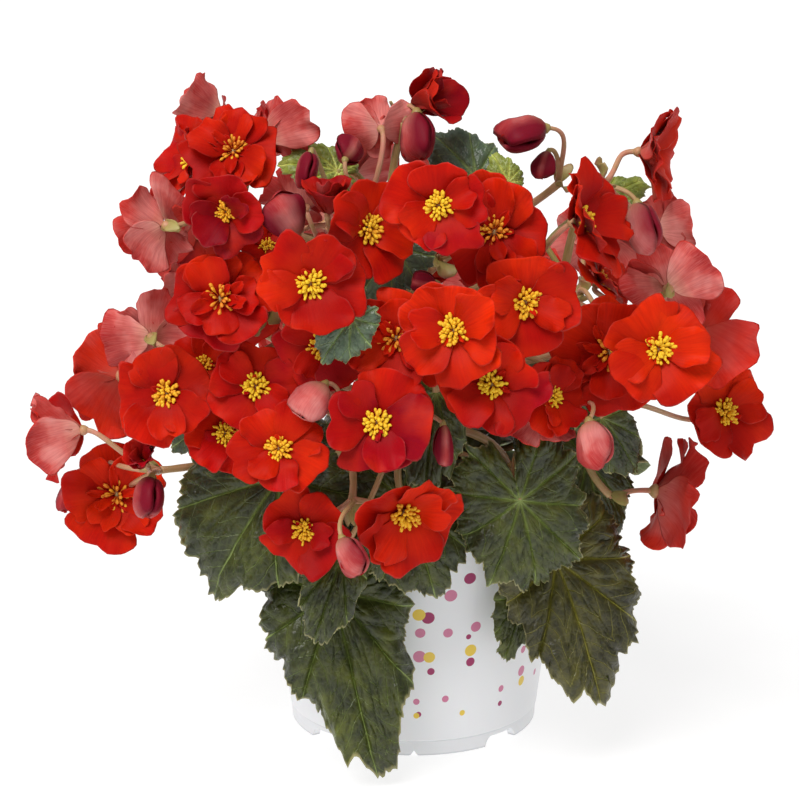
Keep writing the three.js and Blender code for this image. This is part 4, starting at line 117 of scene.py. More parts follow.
# Flowers and buds: base, facing, sideways, radius, rim height H or bud length L.
BLOOMS = {
    'A': dict(kind='double', P=[-77.1, -81.5, 286.7], n=[-0.12, -0.835, 0.538], u=[0.988, -0.048, 0.146], R=19.6, Rv=21.2, H=5.1),
    'A2': dict(kind='back', P=[-66.1, -48.0, 286.6], n=[0.62, 0.744, 0.25], u=[-0.745, 0.458, 0.484], R=14.5, Rv=17.7, H=5.2),
    'A3': dict(kind='back', P=[-85.8, -28.0, 293.2], n=[-0.859, 0.479, 0.18], u=[-0.13, -0.544, 0.829], R=14.5, Rv=17.7, H=5.2),
    'B': dict(kind='side', P=[-95.3, -52.1, 277.3], n=[-0.86, -0.442, 0.255], u=[0.457, -0.889, 0.0], R=17.4, Rv=18.6, H=7.3),
    'C': dict(kind='back', P=[-106.3, -88.2, 256.3], n=[-0.72, 0.694, -0.017], u=[-0.656, -0.673, 0.342], R=18.0, Rv=21.2, H=6.5),
    'C2': dict(kind='back', P=[-93.8, -63.8, 246.1], n=[-0.15, 0.847, -0.51], u=[-0.701, 0.273, 0.659], R=14.8, Rv=15.8, H=5.3),
    'D': dict(kind='cup', P=[-79.3, -104.1, 266.2], n=[-0.12, -0.979, 0.163], u=[0.964, -0.076, 0.255], R=16.4, Rv=18.0, H=8.2),
    'E': dict(kind='double', P=[-82.2, -107.3, 229.1], n=[-0.06, -0.952, 0.301], u=[0.777, 0.145, 0.613], R=21.2, Rv=23.1, H=5.5),
    'E2': dict(kind='open', P=[-63.5, -92.5, 247.7], n=[0.25, -0.654, 0.714], u=[0.934, 0.357, 0.0], R=12.8, Rv=13.8, H=3.3),
    'G': dict(kind='open', P=[-43.9, -128.5, 241.1], n=[0.08, -0.956, 0.281], u=[0.991, 0.107, 0.084], R=20.4, Rv=22.6, H=5.3),
    'F': dict(kind='open', P=[-20.7, -106.7, 259.9], n=[0.52, -0.825, 0.222], u=[0.717, 0.563, 0.412], R=21.0, Rv=23.1, H=5.5),
    'K': dict(kind='open', P=[9.8, -118.6, 272.5], n=[0.0, -0.979, 0.205], u=[1.0, 0.0, 0.0], R=20.0, Rv=22.2, H=5.2),
    'L': dict(kind='double', P=[33.4, -99.1, 256.3], n=[0.05, -0.949, 0.311], u=[0.933, 0.156, 0.325], R=22.4, Rv=24.5, H=5.8),
    'CO': dict(kind='back', P=[-14.6, -59.2, 292.5], n=[-0.25, 0.965, 0.081], u=[-0.968, -0.251, 0.0], R=13.0, Rv=15.9, H=4.7),
    'I': dict(kind='half', P=[-0.8, -48.0, 300.8], n=[0.781, -0.421, 0.461], u=[0.444, 0.894, 0.064], R=11.5, Rv=12.3, H=16.0),
    'TU': dict(kind='half', P=[-37.3, -100.1, 264.4], n=[-0.05, -0.087, 0.995], u=[0.499, -0.865, -0.05], R=8.4, Rv=9.1, H=14.4),
    'M': dict(kind='side', P=[67.2, -98.3, 260.5], n=[0.8, -0.473, 0.369], u=[0.509, 0.861, 0.0], R=22.9, Rv=24.9, H=9.6),
    'N': dict(kind='side', P=[97.8, -49.5, 280.3], n=[0.95, -0.312, -0.012], u=[0.247, 0.725, 0.643], R=19.2, Rv=20.5, H=8.1),
    'P2': dict(kind='back', P=[106.9, -43.1, 245.6], n=[0.45, 0.88, -0.155], u=[-0.89, 0.455, 0.0], R=15.0, Rv=16.0, H=5.4),
    'Q': dict(kind='back', P=[110.8, -62.2, 221.5], n=[0.15, 0.986, 0.075], u=[-0.976, 0.135, 0.173], R=21.0, Rv=22.5, H=7.6),
    'R': dict(kind='back', P=[125.1, -36.4, 196.3], n=[0.421, 0.862, -0.281], u=[-0.427, 0.462, 0.777], R=24.0, Rv=26.8, H=8.6),
    'S': dict(kind='open', P=[104.1, -98.0, 204.2], n=[0.04, -0.933, 0.358], u=[0.961, 0.134, 0.242], R=22.3, Rv=24.0, H=5.8),
    'T': dict(kind='double', P=[84.6, -82.1, 198.9], n=[-0.08, -0.969, 0.233], u=[0.827, 0.066, 0.558], R=24.3, Rv=26.0, H=6.3),
    'O': dict(kind='open', P=[46.2, -114.2, 230.1], n=[0.12, -0.987, 0.103], u=[0.629, 0.156, 0.762], R=21.1, Rv=23.1, H=5.5),
    'U': dict(kind='back', P=[-131.5, -33.1, 174.0], n=[-0.6, 0.752, -0.273], u=[-0.782, -0.624, 0.0], R=26.1, Rv=27.9, H=9.4),
    'V': dict(kind='back', P=[-114.4, -74.6, 203.1], n=[-0.15, 0.986, 0.075], u=[-0.75, -0.163, 0.641], R=19.6, Rv=21.0, H=7.1),
    'W': dict(kind='open', P=[-106.2, -97.9, 184.5], n=[-0.16, -0.932, 0.326], u=[0.881, 0.014, 0.473], R=20.6, Rv=22.2, H=5.4),
    'X': dict(kind='open', P=[-91.9, -82.7, 192.7], n=[0.25, -0.852, 0.459], u=[0.96, 0.281, 0.0], R=14.7, Rv=15.8, H=3.8),
    'Y': dict(kind='back', P=[-146.6, -64.8, 158.2], n=[-0.932, 0.321, -0.17], u=[-0.332, -0.943, 0.04], R=18.0, Rv=20.3, H=6.5),
    'Z': dict(kind='double', P=[-134.6, -34.4, 118.6], n=[-0.1, -0.96, 0.262], u=[0.984, -0.057, 0.168], R=22.7, Rv=24.3, H=5.9),
    'AA': dict(kind='half', P=[-116.8, -91.8, 151.5], n=[-0.25, -0.695, 0.674], u=[0.941, -0.338, 0.0], R=7.2, Rv=7.7, H=12.4),
    'AD': dict(kind='open', P=[-82.0, -96.9, 166.7], n=[0.1, -0.942, 0.319], u=[0.923, 0.208, 0.324], R=17.3, Rv=18.5, H=4.5),
    'AE': dict(kind='open', P=[-67.9, -105.6, 190.3], n=[-0.05, -0.943, 0.33], u=[0.655, 0.218, 0.723], R=19.7, Rv=21.2, H=5.1),
    'AG': dict(kind='open', P=[-39.6, -108.0, 208.7], n=[0.0, -0.979, 0.205], u=[1.0, 0.0, 0.0], R=18.7, Rv=20.3, H=4.9),
    'AH': dict(kind='double', P=[-8.1, -116.0, 214.4], n=[0.02, -0.965, 0.263], u=[0.964, 0.088, 0.25], R=20.7, Rv=22.6, H=5.4),
    'AI': dict(kind='open', P=[16.5, -132.7, 222.0], n=[-0.25, -0.913, 0.321], u=[0.965, -0.264, 0.0], R=20.8, Rv=23.1, H=5.4),
    'AK': dict(kind='open', P=[-16.1, -132.4, 181.9], n=[0.0, -0.965, 0.263], u=[1.0, 0.0, 0.0], R=21.4, Rv=23.5, H=5.6),
    'AL': dict(kind='open', P=[-57.7, -122.7, 167.5], n=[-0.05, -0.917, 0.395], u=[0.779, 0.212, 0.59], R=19.5, Rv=21.2, H=5.1),
    'AM': dict(kind='open', P=[-47.3, -113.7, 128.6], n=[-0.18, -0.97, 0.161], u=[0.973, -0.152, 0.171], R=18.1, Rv=19.4, H=4.7),
    'AN': dict(kind='open', P=[-5.1, -120.7, 139.1], n=[0.3, -0.914, -0.273], u=[0.827, 0.107, 0.552], R=23.1, Rv=24.9, H=6.0),
    'AP': dict(kind='open', P=[32.2, -128.2, 197.7], n=[0.0, -0.959, 0.282], u=[0.94, 0.097, 0.328], R=21.0, Rv=23.1, H=5.5),
    'AQ': dict(kind='open', P=[57.6, -100.0, 183.8], n=[0.5, -0.815, 0.292], u=[0.852, 0.523, 0.0], R=17.2, Rv=18.5, H=4.5),
    'AR': dict(kind='back', P=[52.6, -97.9, 178.2], n=[-0.1, 0.684, -0.723], u=[-0.989, -0.145, 0.0], R=17.2, Rv=18.5, H=6.2),
    'AT': dict(kind='open', P=[141.2, -11.4, 150.1], n=[0.45, -0.802, 0.392], u=[0.659, 0.595, 0.46], R=21.1, Rv=22.6, H=5.5),
    'AU': dict(kind='back', P=[108.5, -46.1, 123.8], n=[0.943, 0.281, -0.181], u=[-0.09, 0.735, 0.672], R=27.0, Rv=28.9, H=9.7),
    'b1': dict(kind='bud', P=[-49.8, -106.8, 256.4], n=[-0.45, -0.155, 0.88], u=[-0.872, -0.138, -0.47], R=9.3, Rv=9.9, L=20.2),
    'b2': dict(kind='bud', P=[-44.3, -81.8, 287.2], n=[-0.2, -0.498, -0.844], u=[0.979, -0.058, -0.198], R=6.0, Rv=6.4, L=16.2),
    'b3': dict(kind='bud', P=[-29.9, -79.1, 283.1], n=[0.2, 0.912, 0.357], u=[-0.949, 0.089, 0.303], R=6.4, Rv=6.9, L=14.5),
    'bH': dict(kind='bud', P=[0.9, -54.0, 298.9], n=[0.03, -0.505, -0.862], u=[1.0, 0.009, 0.03], R=9.8, Rv=10.5, L=22.5),
    'bJ': dict(kind='bud', P=[56.2, -69.2, 295.0], n=[-0.93, -0.329, -0.164], u=[0.26, -0.273, -0.926], R=10.3, Rv=11.0, L=22.3),
    'bJ2': dict(kind='bud', P=[57.5, -63.4, 283.2], n=[-0.3, -0.557, -0.774], u=[0.949, -0.089, -0.303], R=5.2, Rv=5.5, L=12.9),
    'b4': dict(kind='bud', P=[8.8, -106.2, 235.9], n=[-0.95, -0.256, 0.179], u=[-0.105, -0.281, -0.954], R=4.2, Rv=4.5, L=11.0),
    'bP': dict(kind='bud', P=[95.7, -72.8, 262.9], n=[0.22, -0.571, -0.791], u=[0.973, 0.066, 0.223], R=9.5, Rv=10.1, L=24.1),
    'bAB': dict(kind='bud', P=[-114.3, -93.1, 145.5], n=[-0.12, -0.545, -0.83], u=[0.992, -0.035, -0.12], R=8.7, Rv=9.3, L=18.3),
    'bAC': dict(kind='bud', P=[-151.6, -16.2, 125.2], n=[-0.42, -0.545, -0.726], u=[0.897, -0.125, -0.425], R=5.5, Rv=5.9, L=23.0),
    'bAJ': dict(kind='bud', P=[-38.0, -122.9, 196.2], n=[-0.6, -0.538, -0.592], u=[0.768, -0.181, -0.614], R=8.0, Rv=8.6, L=18.6),
    'bAO': dict(kind='bud', P=[11.8, -122.0, 178.3], n=[0.0, -0.507, -0.862], u=[1.0, 0.0, 0.0], R=3.8, Rv=4.1, L=18.6),
    'bAS': dict(kind='bud', P=[74.5, -107.9, 175.4], n=[0.2, -0.583, -0.787], u=[0.977, 0.06, 0.204], R=9.4, Rv=10.1, L=21.4),
    'bAN': dict(kind='bud', P=[-31.0, -136.6, 132.3], n=[0.45, -0.607, -0.655], u=[0.872, 0.138, 0.47], R=7.6, Rv=8.1, L=18.6),
    'k0': dict(kind='open', P=[-104.9, 37.7, 197.5], n=[-0.922, 0.334, 0.194], u=[0.127, -0.211, 0.969], R=22.2, Rv=23.8, H=5.8),
    'k1': dict(kind='double', P=[-106.8, 82.4, 240.0], n=[-0.78, 0.498, 0.38], u=[-0.522, -0.18, -0.834], R=22.6, Rv=24.1, H=5.9),
    'k2': dict(kind='open', P=[-106.3, 91.2, 165.0], n=[-0.793, 0.609, 0.0], u=[0.108, 0.141, 0.984], R=23.0, Rv=24.6, H=6.0),
    'k3': dict(kind='open', P=[-29.8, 89.2, 237.7], n=[-0.337, 0.758, 0.558], u=[0.788, 0.551, -0.274], R=22.5, Rv=24.0, H=5.8),
    'k4': dict(kind='open', P=[-43.7, 131.5, 205.0], n=[-0.441, 0.876, 0.194], u=[-0.897, -0.436, -0.068], R=20.6, Rv=22.0, H=5.4),
    'k5': dict(kind='open', P=[-56.3, 116.3, 148.0], n=[-0.576, 0.812, -0.092], u=[-0.799, -0.536, 0.271], R=21.2, Rv=22.7, H=5.5),
    'k6': dict(kind='double', P=[16.5, 120.0, 228.4], n=[0.149, 0.914, 0.378], u=[-0.826, 0.325, -0.46], R=20.0, Rv=21.4, H=5.2),
    'k7': dict(kind='open', P=[33.1, 132.1, 172.0], n=[0.215, 0.972, 0.098], u=[-0.037, -0.093, 0.995], R=21.0, Rv=22.4, H=5.5),
    'k8': dict(kind='open', P=[32.4, 65.0, 225.8], n=[0.552, 0.63, 0.547], u=[-0.573, -0.191, 0.797], R=21.7, Rv=23.2, H=5.6),
    'k9': dict(kind='open', P=[86.8, 101.2, 202.4], n=[0.569, 0.795, 0.209], u=[-0.559, 0.189, 0.807], R=23.4, Rv=25.0, H=6.1),
    'k10': dict(kind='open', P=[98.6, 90.7, 150.0], n=[0.69, 0.717, -0.099], u=[-0.469, 0.339, -0.815], R=22.6, Rv=24.1, H=5.9),
    'k11': dict(kind='double', P=[85.5, 44.7, 221.2], n=[0.798, 0.493, 0.346], u=[0.583, -0.776, -0.24], R=21.0, Rv=22.4, H=5.4),
    'k12': dict(kind='open', P=[133.9, 38.8, 171.6], n=[0.971, 0.216, 0.1], u=[0.233, -0.784, -0.576], R=24.5, Rv=26.2, H=6.4),
    'kb0': dict(kind='bud', P=[50.8, 104.4, 140.0], n=[0.244, 0.548, -0.8], u=[0.929, 0.104, 0.355], R=9.0, Rv=9.6, L=22.0),
    'kb1': dict(kind='bud', P=[24.8, 76.0, 253.0], n=[0.225, 0.556, -0.8], u=[0.938, 0.098, 0.331], R=9.0, Rv=9.6, L=22.0),
    'm0': dict(kind='open', P=[-29.0, 9.9, 223.5], n=[-0.528, -0.114, 0.841], u=[-0.82, 0.326, -0.471], R=17.7, Rv=18.9, H=4.8),
    'm1': dict(kind='open', P=[39.7, -15.9, 209.9], n=[0.279, -0.422, 0.863], u=[-0.88, 0.248, 0.406], R=18.9, Rv=20.2, H=5.1),
    'm2': dict(kind='open', P=[-73.9, -25.3, 193.6], n=[-0.526, -0.424, 0.737], u=[-0.848, 0.329, -0.416], R=19.7, Rv=21.0, H=5.3),
    'm3': dict(kind='double', P=[-63.4, 70.4, 186.7], n=[-0.491, 0.452, 0.745], u=[-0.7, 0.305, -0.646], R=18.5, Rv=19.8, H=5.0),
    'm4': dict(kind='open', P=[95.5, 5.0, 188.2], n=[0.765, 0.17, 0.621], u=[-0.643, 0.13, 0.755], R=18.4, Rv=19.6, H=5.0),
    'm5': dict(kind='open', P=[13.2, 22.5, 245.5], n=[0.017, 0.199, 0.98], u=[-0.946, 0.321, -0.049], R=19.3, Rv=20.7, H=5.2),
    'm6': dict(kind='open', P=[0.0, -29.3, 241.5], n=[-0.227, -0.445, 0.867], u=[-0.943, 0.323, -0.081], R=20.0, Rv=21.4, H=5.4),
    'm7': dict(kind='double', P=[-10.3, 53.5, 211.6], n=[-0.276, 0.354, 0.894], u=[-0.857, 0.33, -0.395], R=19.7, Rv=21.1, H=5.3),
    'm8': dict(kind='open', P=[-69.0, 17.3, 195.3], n=[-0.442, 0.174, 0.88], u=[-0.818, 0.325, -0.475], R=20.2, Rv=21.7, H=5.5),
    'm9': dict(kind='open', P=[55.2, 25.1, 201.3], n=[0.655, 0.001, 0.756], u=[-0.744, 0.176, 0.644], R=20.8, Rv=22.3, H=5.6),
    'm10': dict(kind='double', P=[-51.0, 45.4, 233.4], n=[-0.33, 0.653, 0.682], u=[-0.708, 0.307, -0.637], R=21.3, Rv=22.8, H=5.8),
    'm11': dict(kind='double', P=[82.4, -25.2, 214.8], n=[0.746, -0.072, 0.662], u=[-0.65, 0.134, 0.748], R=17.6, Rv=18.8, H=4.8),
    'm12': dict(kind='double', P=[56.2, 68.7, 193.4], n=[0.54, 0.541, 0.645], u=[-0.831, 0.22, 0.512], R=18.1, Rv=19.4, H=4.9),
    'm13': dict(kind='open', P=[-33.7, -25.1, 223.0], n=[-0.183, -0.32, 0.93], u=[-0.943, 0.323, -0.075], R=18.2, Rv=19.5, H=4.9),
    'm14': dict(kind='double', P=[4.6, -3.7, 215.2], n=[-0.115, -0.28, 0.953], u=[-0.948, 0.318, -0.02], R=21.1, Rv=22.6, H=5.7),
}
# Cymes: the blooms each carries, its peduncle and its pedicels.
CYMES = {
    'flowers_far_left': dict(items=['Y', 'Z', 'AA', 'bAB', 'bAC'], peduncle=dict(c=[[-59.3, -28.2, 135.5], [-74.9, -35.3, 137.2], [-100.8, -52.5, 136.4], [-113.4, -59.0, 137.8]], r0=2.2, r1=1.8), 
        ped=[dict(c=[[-113.4, -59.0, 137.8], [-129.9, -70.2, 145.5], [-137.2, -68.0, 159.9], [-146.1, -64.9, 158.3]], r0=1.45, r1=1.25), dict(c=[[-113.4, -59.0, 137.8], [-125.0, -54.0, 132.5], [-133.1, -20.7, 114.8], [-134.5, -33.9, 118.4]], r0=1.45, r1=1.25), dict(c=[[-113.4, -59.0, 137.8], [-119.5, -75.6, 142.0], [-114.8, -75.8, 139.4], [-116.7, -91.4, 151.1]], r0=1.45, r1=1.25), dict(c=[[-113.4, -59.0, 137.8], [-114.3, -67.2, 137.3], [-112.1, -91.4, 149.6], [-114.3, -93.1, 145.5]], r0=1.45, r1=1.00), dict(c=[[-113.4, -59.0, 137.8], [-139.8, -45.1, 131.9], [-144.7, -10.6, 135.6], [-151.6, -16.2, 125.2]], r0=1.45, r1=1.00)]),
    'flower_and_bud_top': dict(items=['I', 'bH'], peduncle=dict(c=[[-10.0, -52.0, 244.0], [-12.2, -47.8, 258.8], [-9.3, -46.8, 276.5], [-5.1, -50.0, 293.7]], r0=2.2, r1=1.8), 
        ped=[dict(c=[[-5.1, -50.0, 293.7], [-2.1, -50.0, 299.7], [-6.2, -45.0, 297.6], [-1.2, -47.8, 300.6]], r0=1.45, r1=1.25), dict(c=[[-5.1, -50.0, 293.7], [-4.9, -48.2, 299.7], [-3.0, -47.7, 303.2], [0.9, -54.0, 298.9]], r0=1.45, r1=1.00)]),
    'flowers_top_right': dict(items=['N', 'bP', 'P2'], peduncle=dict(c=[[66.0, -40.0, 222.0], [70.1, -48.8, 249.6], [69.2, -66.0, 257.4], [81.2, -67.9, 269.2]], r0=2.2, r1=1.8), 
        ped=[dict(c=[[81.2, -67.9, 269.2], [89.9, -58.2, 276.4], [86.6, -47.3, 280.9], [97.2, -49.3, 280.3]], r0=1.45, r1=1.25), dict(c=[[81.2, -67.9, 269.2], [89.2, -70.7, 269.4], [93.8, -70.9, 266.5], [95.7, -72.8, 262.9]], r0=1.45, r1=1.00), dict(c=[[81.2, -67.9, 269.2], [87.2, -64.1, 265.7], [100.7, -54.8, 250.0], [106.6, -43.6, 245.7]], r0=1.45, r1=1.25)]),
    'flower_right_low': dict(items=['AU'], peduncle=dict(c=[[64.5, -33.6, 172.4], [82.9, -56.3, 163.2], [65.3, -60.3, 146.7], [87.2, -61.5, 126.9]], r0=2.2, r1=1.8), 
        ped=[dict(c=[[87.2, -61.5, 126.9], [94.0, -57.8, 125.6], [95.3, -50.0, 126.3], [108.0, -46.2, 123.9]], r0=1.45, r1=1.25)]),
    'flowers_right': dict(items=['S', 'T', 'AT'], peduncle=dict(c=[[62.5, -31.5, 162.6], [75.6, -36.9, 167.2], [77.7, -48.7, 158.4], [80.5, -52.5, 166.3]], r0=2.2, r1=1.8), 
        ped=[dict(c=[[80.5, -52.5, 166.3], [91.5, -69.7, 189.1], [102.7, -69.0, 195.2], [104.1, -97.5, 204.0]], r0=1.45, r1=1.25), dict(c=[[80.5, -52.5, 166.3], [83.4, -61.8, 183.5], [95.8, -58.0, 195.0], [84.7, -81.5, 198.7]], r0=1.45, r1=1.25), dict(c=[[80.5, -52.5, 166.3], [108.4, -46.0, 170.5], [121.3, 3.1, 134.6], [141.0, -10.9, 149.9]], r0=1.45, r1=1.25)]),
    'flower_top_right_side': dict(items=['M'], peduncle=dict(c=[[-1.8, -53.0, 204.4], [9.5, -58.9, 216.7], [27.7, -66.7, 220.6], [53.5, -86.9, 243.7]], r0=2.2, r1=1.8), 
        ped=[dict(c=[[53.5, -86.9, 243.7], [58.6, -92.3, 251.9], [62.9, -95.7, 257.5], [66.8, -98.1, 260.3]], r0=1.45, r1=1.25)]),
    'buds_top_right': dict(items=['bJ', 'bJ2'], peduncle=dict(c=[[-3.8, -53.7, 215.3], [15.2, -48.3, 241.3], [41.1, -40.8, 244.3], [62.6, -52.0, 266.7]], r0=2.2, r1=1.8), 
        ped=[dict(c=[[62.6, -52.0, 266.7], [63.1, -60.3, 280.4], [69.1, -65.2, 294.5], [56.2, -69.2, 295.0]], r0=1.45, r1=1.00), dict(c=[[62.6, -52.0, 266.7], [64.2, -57.9, 275.4], [60.4, -59.7, 287.0], [57.5, -63.4, 283.2]], r0=1.45, r1=1.00)]),
    'flowers_front_low': dict(items=['AM', 'AN', 'bAN'], peduncle=dict(c=[[-33.7, -3.0, 160.7], [-50.9, -56.6, 172.7], [-22.4, -79.4, 162.9], [-27.2, -104.5, 138.7]], r0=2.2, r1=1.8), 
        ped=[dict(c=[[-27.2, -104.5, 138.7], [-32.5, -110.0, 135.8], [-43.7, -102.7, 127.1], [-47.2, -113.1, 128.5]], r0=1.45, r1=1.25), dict(c=[[-27.2, -104.5, 138.7], [-16.3, -113.4, 140.5], [-8.2, -115.6, 140.2], [-5.3, -120.1, 139.2]], r0=1.45, r1=1.25), dict(c=[[-27.2, -104.5, 138.7], [-23.5, -115.2, 140.3], [-35.4, -131.0, 141.9], [-31.0, -136.6, 132.3]], r0=1.45, r1=1.00)]),
    'flowers_top_left': dict(items=['A', 'A2', 'A3'], peduncle=dict(c=[[-58.0, -30.0, 238.0], [-62.6, -42.8, 246.8], [-71.6, -44.6, 247.1], [-76.0, -48.5, 252.5]], r0=2.2, r1=1.8), 
        ped=[dict(c=[[-76.0, -48.5, 252.5], [-76.0, -57.8, 263.5], [-76.1, -65.1, 270.9], [-77.1, -81.0, 286.3]], r0=1.45, r1=1.25), dict(c=[[-76.0, -48.5, 252.5], [-72.6, -53.9, 269.0], [-70.5, -53.2, 284.9], [-66.1, -48.0, 286.6]], r0=1.45, r1=1.25), dict(c=[[-76.0, -48.5, 252.5], [-81.8, -49.1, 264.9], [-77.2, -32.8, 291.5], [-85.4, -28.3, 293.2]], r0=1.45, r1=1.25)]),
    'flowers_left_upper': dict(items=['B', 'C', 'C2'], peduncle=dict(c=[[-5.3, -53.7, 223.1], [-25.5, -58.5, 236.2], [-58.8, -69.3, 250.6], [-77.1, -70.5, 258.0]], r0=2.2, r1=1.8), 
        ped=[dict(c=[[-77.1, -70.5, 258.0], [-79.6, -67.5, 263.2], [-82.4, -44.8, 269.9], [-94.7, -51.8, 277.1]], r0=1.45, r1=1.25), dict(c=[[-77.1, -70.5, 258.0], [-93.0, -79.1, 260.2], [-99.1, -95.1, 256.5], [-105.9, -88.5, 256.4]], r0=1.45, r1=1.25), dict(c=[[-77.1, -70.5, 258.0], [-88.5, -68.3, 254.7], [-92.1, -69.8, 250.5], [-93.7, -64.3, 246.4]], r0=1.45, r1=1.25)]),
    'flower_and_bud_left': dict(items=['D', 'b1'], peduncle=dict(c=[[-72.3, -33.4, 152.4], [-64.8, -51.8, 165.1], [-55.8, -61.0, 180.3], [-55.2, -85.7, 222.3]], r0=2.2, r1=1.8), 
        ped=[dict(c=[[-55.2, -85.7, 222.3], [-60.8, -90.8, 239.4], [-77.7, -70.7, 260.8], [-79.2, -103.6, 266.1]], r0=1.45, r1=1.25), dict(c=[[-55.2, -85.7, 222.3], [-51.9, -95.1, 240.1], [-43.7, -104.1, 241.1], [-49.8, -106.8, 256.4]], r0=1.45, r1=1.00)]),
    'flowers_left_inner': dict(items=['E', 'E2', 'm13'], peduncle=dict(c=[[-53.1, -19.9, 211.4], [-53.4, -36.5, 215.9], [-58.9, -65.8, 207.9], [-64.3, -86.8, 216.1]], r0=2.2, r1=1.8), 
        ped=[dict(c=[[-64.3, -86.8, 216.1], [-70.3, -93.3, 221.0], [-78.9, -95.4, 226.5], [-82.2, -106.7, 229.0]], r0=1.45, r1=1.25), dict(c=[[-64.3, -86.8, 216.1], [-65.2, -92.4, 228.0], [-66.6, -85.4, 239.1], [-63.7, -92.1, 247.3]], r0=1.45, r1=1.25), dict(c=[[-64.3, -86.8, 216.1], [-60.4, -85.1, 227.6], [-29.2, -17.4, 200.5], [-33.6, -24.9, 222.5]], r0=1.45, r1=1.25)]),
    'flowers_upper_left_inner': dict(items=['G', 'TU', 'b2', 'm6'], peduncle=dict(c=[[-7.0, -53.3, 231.1], [-14.6, -58.0, 238.0], [-23.1, -63.9, 241.9], [-30.2, -73.7, 246.1]], r0=2.2, r1=1.8), 
        ped=[dict(c=[[-30.2, -73.7, 246.1], [-42.6, -101.1, 246.9], [-43.4, -102.6, 234.8], [-43.9, -128.0, 241.0]], r0=1.45, r1=1.25), dict(c=[[-30.2, -73.7, 246.1], [-33.4, -86.3, 253.8], [-36.3, -95.3, 250.5], [-37.2, -100.0, 263.8]], r0=1.45, r1=1.25), dict(c=[[-30.2, -73.7, 246.1], [-32.7, -75.7, 256.5], [-45.2, -72.2, 294.1], [-44.3, -81.8, 287.2]], r0=1.45, r1=1.00), dict(c=[[-30.2, -73.7, 246.1], [-26.6, -71.9, 255.5], [5.6, -18.4, 220.3], [0.2, -29.1, 241.1]], r0=1.45, r1=1.25)]),
    'flowers_upper_middle': dict(items=['F', 'CO', 'b3'], peduncle=dict(c=[[-56.0, -24.8, 224.4], [-48.6, -36.1, 234.0], [-30.2, -56.5, 246.2], [-23.3, -65.6, 255.0]], r0=2.2, r1=1.8), 
        ped=[dict(c=[[-23.3, -65.6, 255.0], [-23.9, -76.9, 262.8], [-25.0, -96.1, 255.9], [-21.0, -106.2, 259.7]], r0=1.45, r1=1.25), dict(c=[[-23.3, -65.6, 255.0], [-14.2, -68.5, 274.4], [-12.1, -68.8, 291.7], [-14.5, -59.7, 292.5]], r0=1.45, r1=1.25), dict(c=[[-23.3, -65.6, 255.0], [-23.7, -71.9, 265.3], [-30.8, -91.3, 276.5], [-29.9, -79.1, 283.1]], r0=1.45, r1=1.00)]),
    'flowers_top_middle': dict(items=['K', 'L'], peduncle=dict(c=[[-50.3, -16.5, 202.0], [-23.6, -37.3, 228.8], [0.9, -40.7, 225.1], [11.2, -66.0, 237.1]], r0=2.2, r1=1.8), 
        ped=[dict(c=[[11.2, -66.0, 237.1], [16.5, -79.6, 246.9], [7.0, -78.0, 268.2], [9.8, -118.0, 272.4]], r0=1.45, r1=1.25), dict(c=[[11.2, -66.0, 237.1], [22.9, -81.7, 244.1], [31.6, -87.1, 246.7], [33.4, -98.6, 256.1]], r0=1.45, r1=1.25)]),
    'flower_right_inner': dict(items=['O'], 
        ped=[dict(c=[[66.6, -37.3, 195.0], [60.3, -72.2, 227.2], [48.1, -85.1, 224.9], [46.2, -113.6, 230.0]], r0=1.90, r1=1.20)]),
    'flowers_right_back_facing': dict(items=['Q', 'R', 'm11'], peduncle=dict(c=[[2.0, -47.0, 175.1], [22.1, -52.0, 180.9], [48.8, -53.9, 184.5], [88.6, -51.4, 197.2]], r0=2.2, r1=1.8), 
        ped=[dict(c=[[88.6, -51.4, 197.2], [100.3, -56.7, 206.6], [108.1, -74.0, 219.5], [110.7, -62.8, 221.4]], r0=1.45, r1=1.25), dict(c=[[88.6, -51.4, 197.2], [108.8, -48.7, 199.7], [120.8, -45.0, 199.1], [124.8, -36.8, 196.5]], r0=1.45, r1=1.25), dict(c=[[88.6, -51.4, 197.2], [93.7, -55.6, 218.6], [75.7, -24.5, 208.8], [82.1, -25.1, 214.5]], r0=1.45, r1=1.25)]),
    'flowers_left_back_facing': dict(items=['U', 'V', 'm2'], peduncle=dict(c=[[-37.6, -5.5, 169.3], [-52.7, -18.1, 175.4], [-75.2, -37.1, 178.6], [-88.4, -46.8, 180.9]], r0=2.2, r1=1.8), 
        ped=[dict(c=[[-88.4, -46.8, 180.9], [-108.2, -45.5, 180.9], [-124.3, -39.4, 175.5], [-131.2, -33.5, 174.2]], r0=1.45, r1=1.25), dict(c=[[-88.4, -46.8, 180.9], [-88.5, -55.0, 188.6], [-109.2, -100.7, 203.0], [-114.3, -75.2, 203.1]], r0=1.45, r1=1.25), dict(c=[[-88.4, -46.8, 180.9], [-83.0, -49.8, 190.2], [-67.3, -20.0, 184.3], [-73.7, -25.1, 193.3]], r0=1.45, r1=1.25)]),
    'flowers_left': dict(items=['W', 'X'], peduncle=dict(c=[[-47.2, -13.2, 192.9], [-57.3, -25.8, 189.3], [-76.2, -39.1, 180.7], [-94.0, -67.6, 182.2]], r0=2.2, r1=1.8), 
        ped=[dict(c=[[-94.0, -67.6, 182.2], [-100.6, -79.3, 181.5], [-102.8, -85.7, 180.5], [-106.1, -97.3, 184.3]], r0=1.45, r1=1.25), dict(c=[[-94.0, -67.6, 182.2], [-93.7, -70.8, 184.4], [-93.2, -76.4, 189.2], [-92.0, -82.2, 192.4]], r0=1.45, r1=1.25)]),
    'flowers_left_lower': dict(items=['AD', 'AL'], peduncle=dict(c=[[2.5, -45.0, 169.2], [-25.7, -69.1, 165.4], [-20.4, -68.3, 204.1], [-56.0, -97.5, 185.0]], r0=2.2, r1=1.8), 
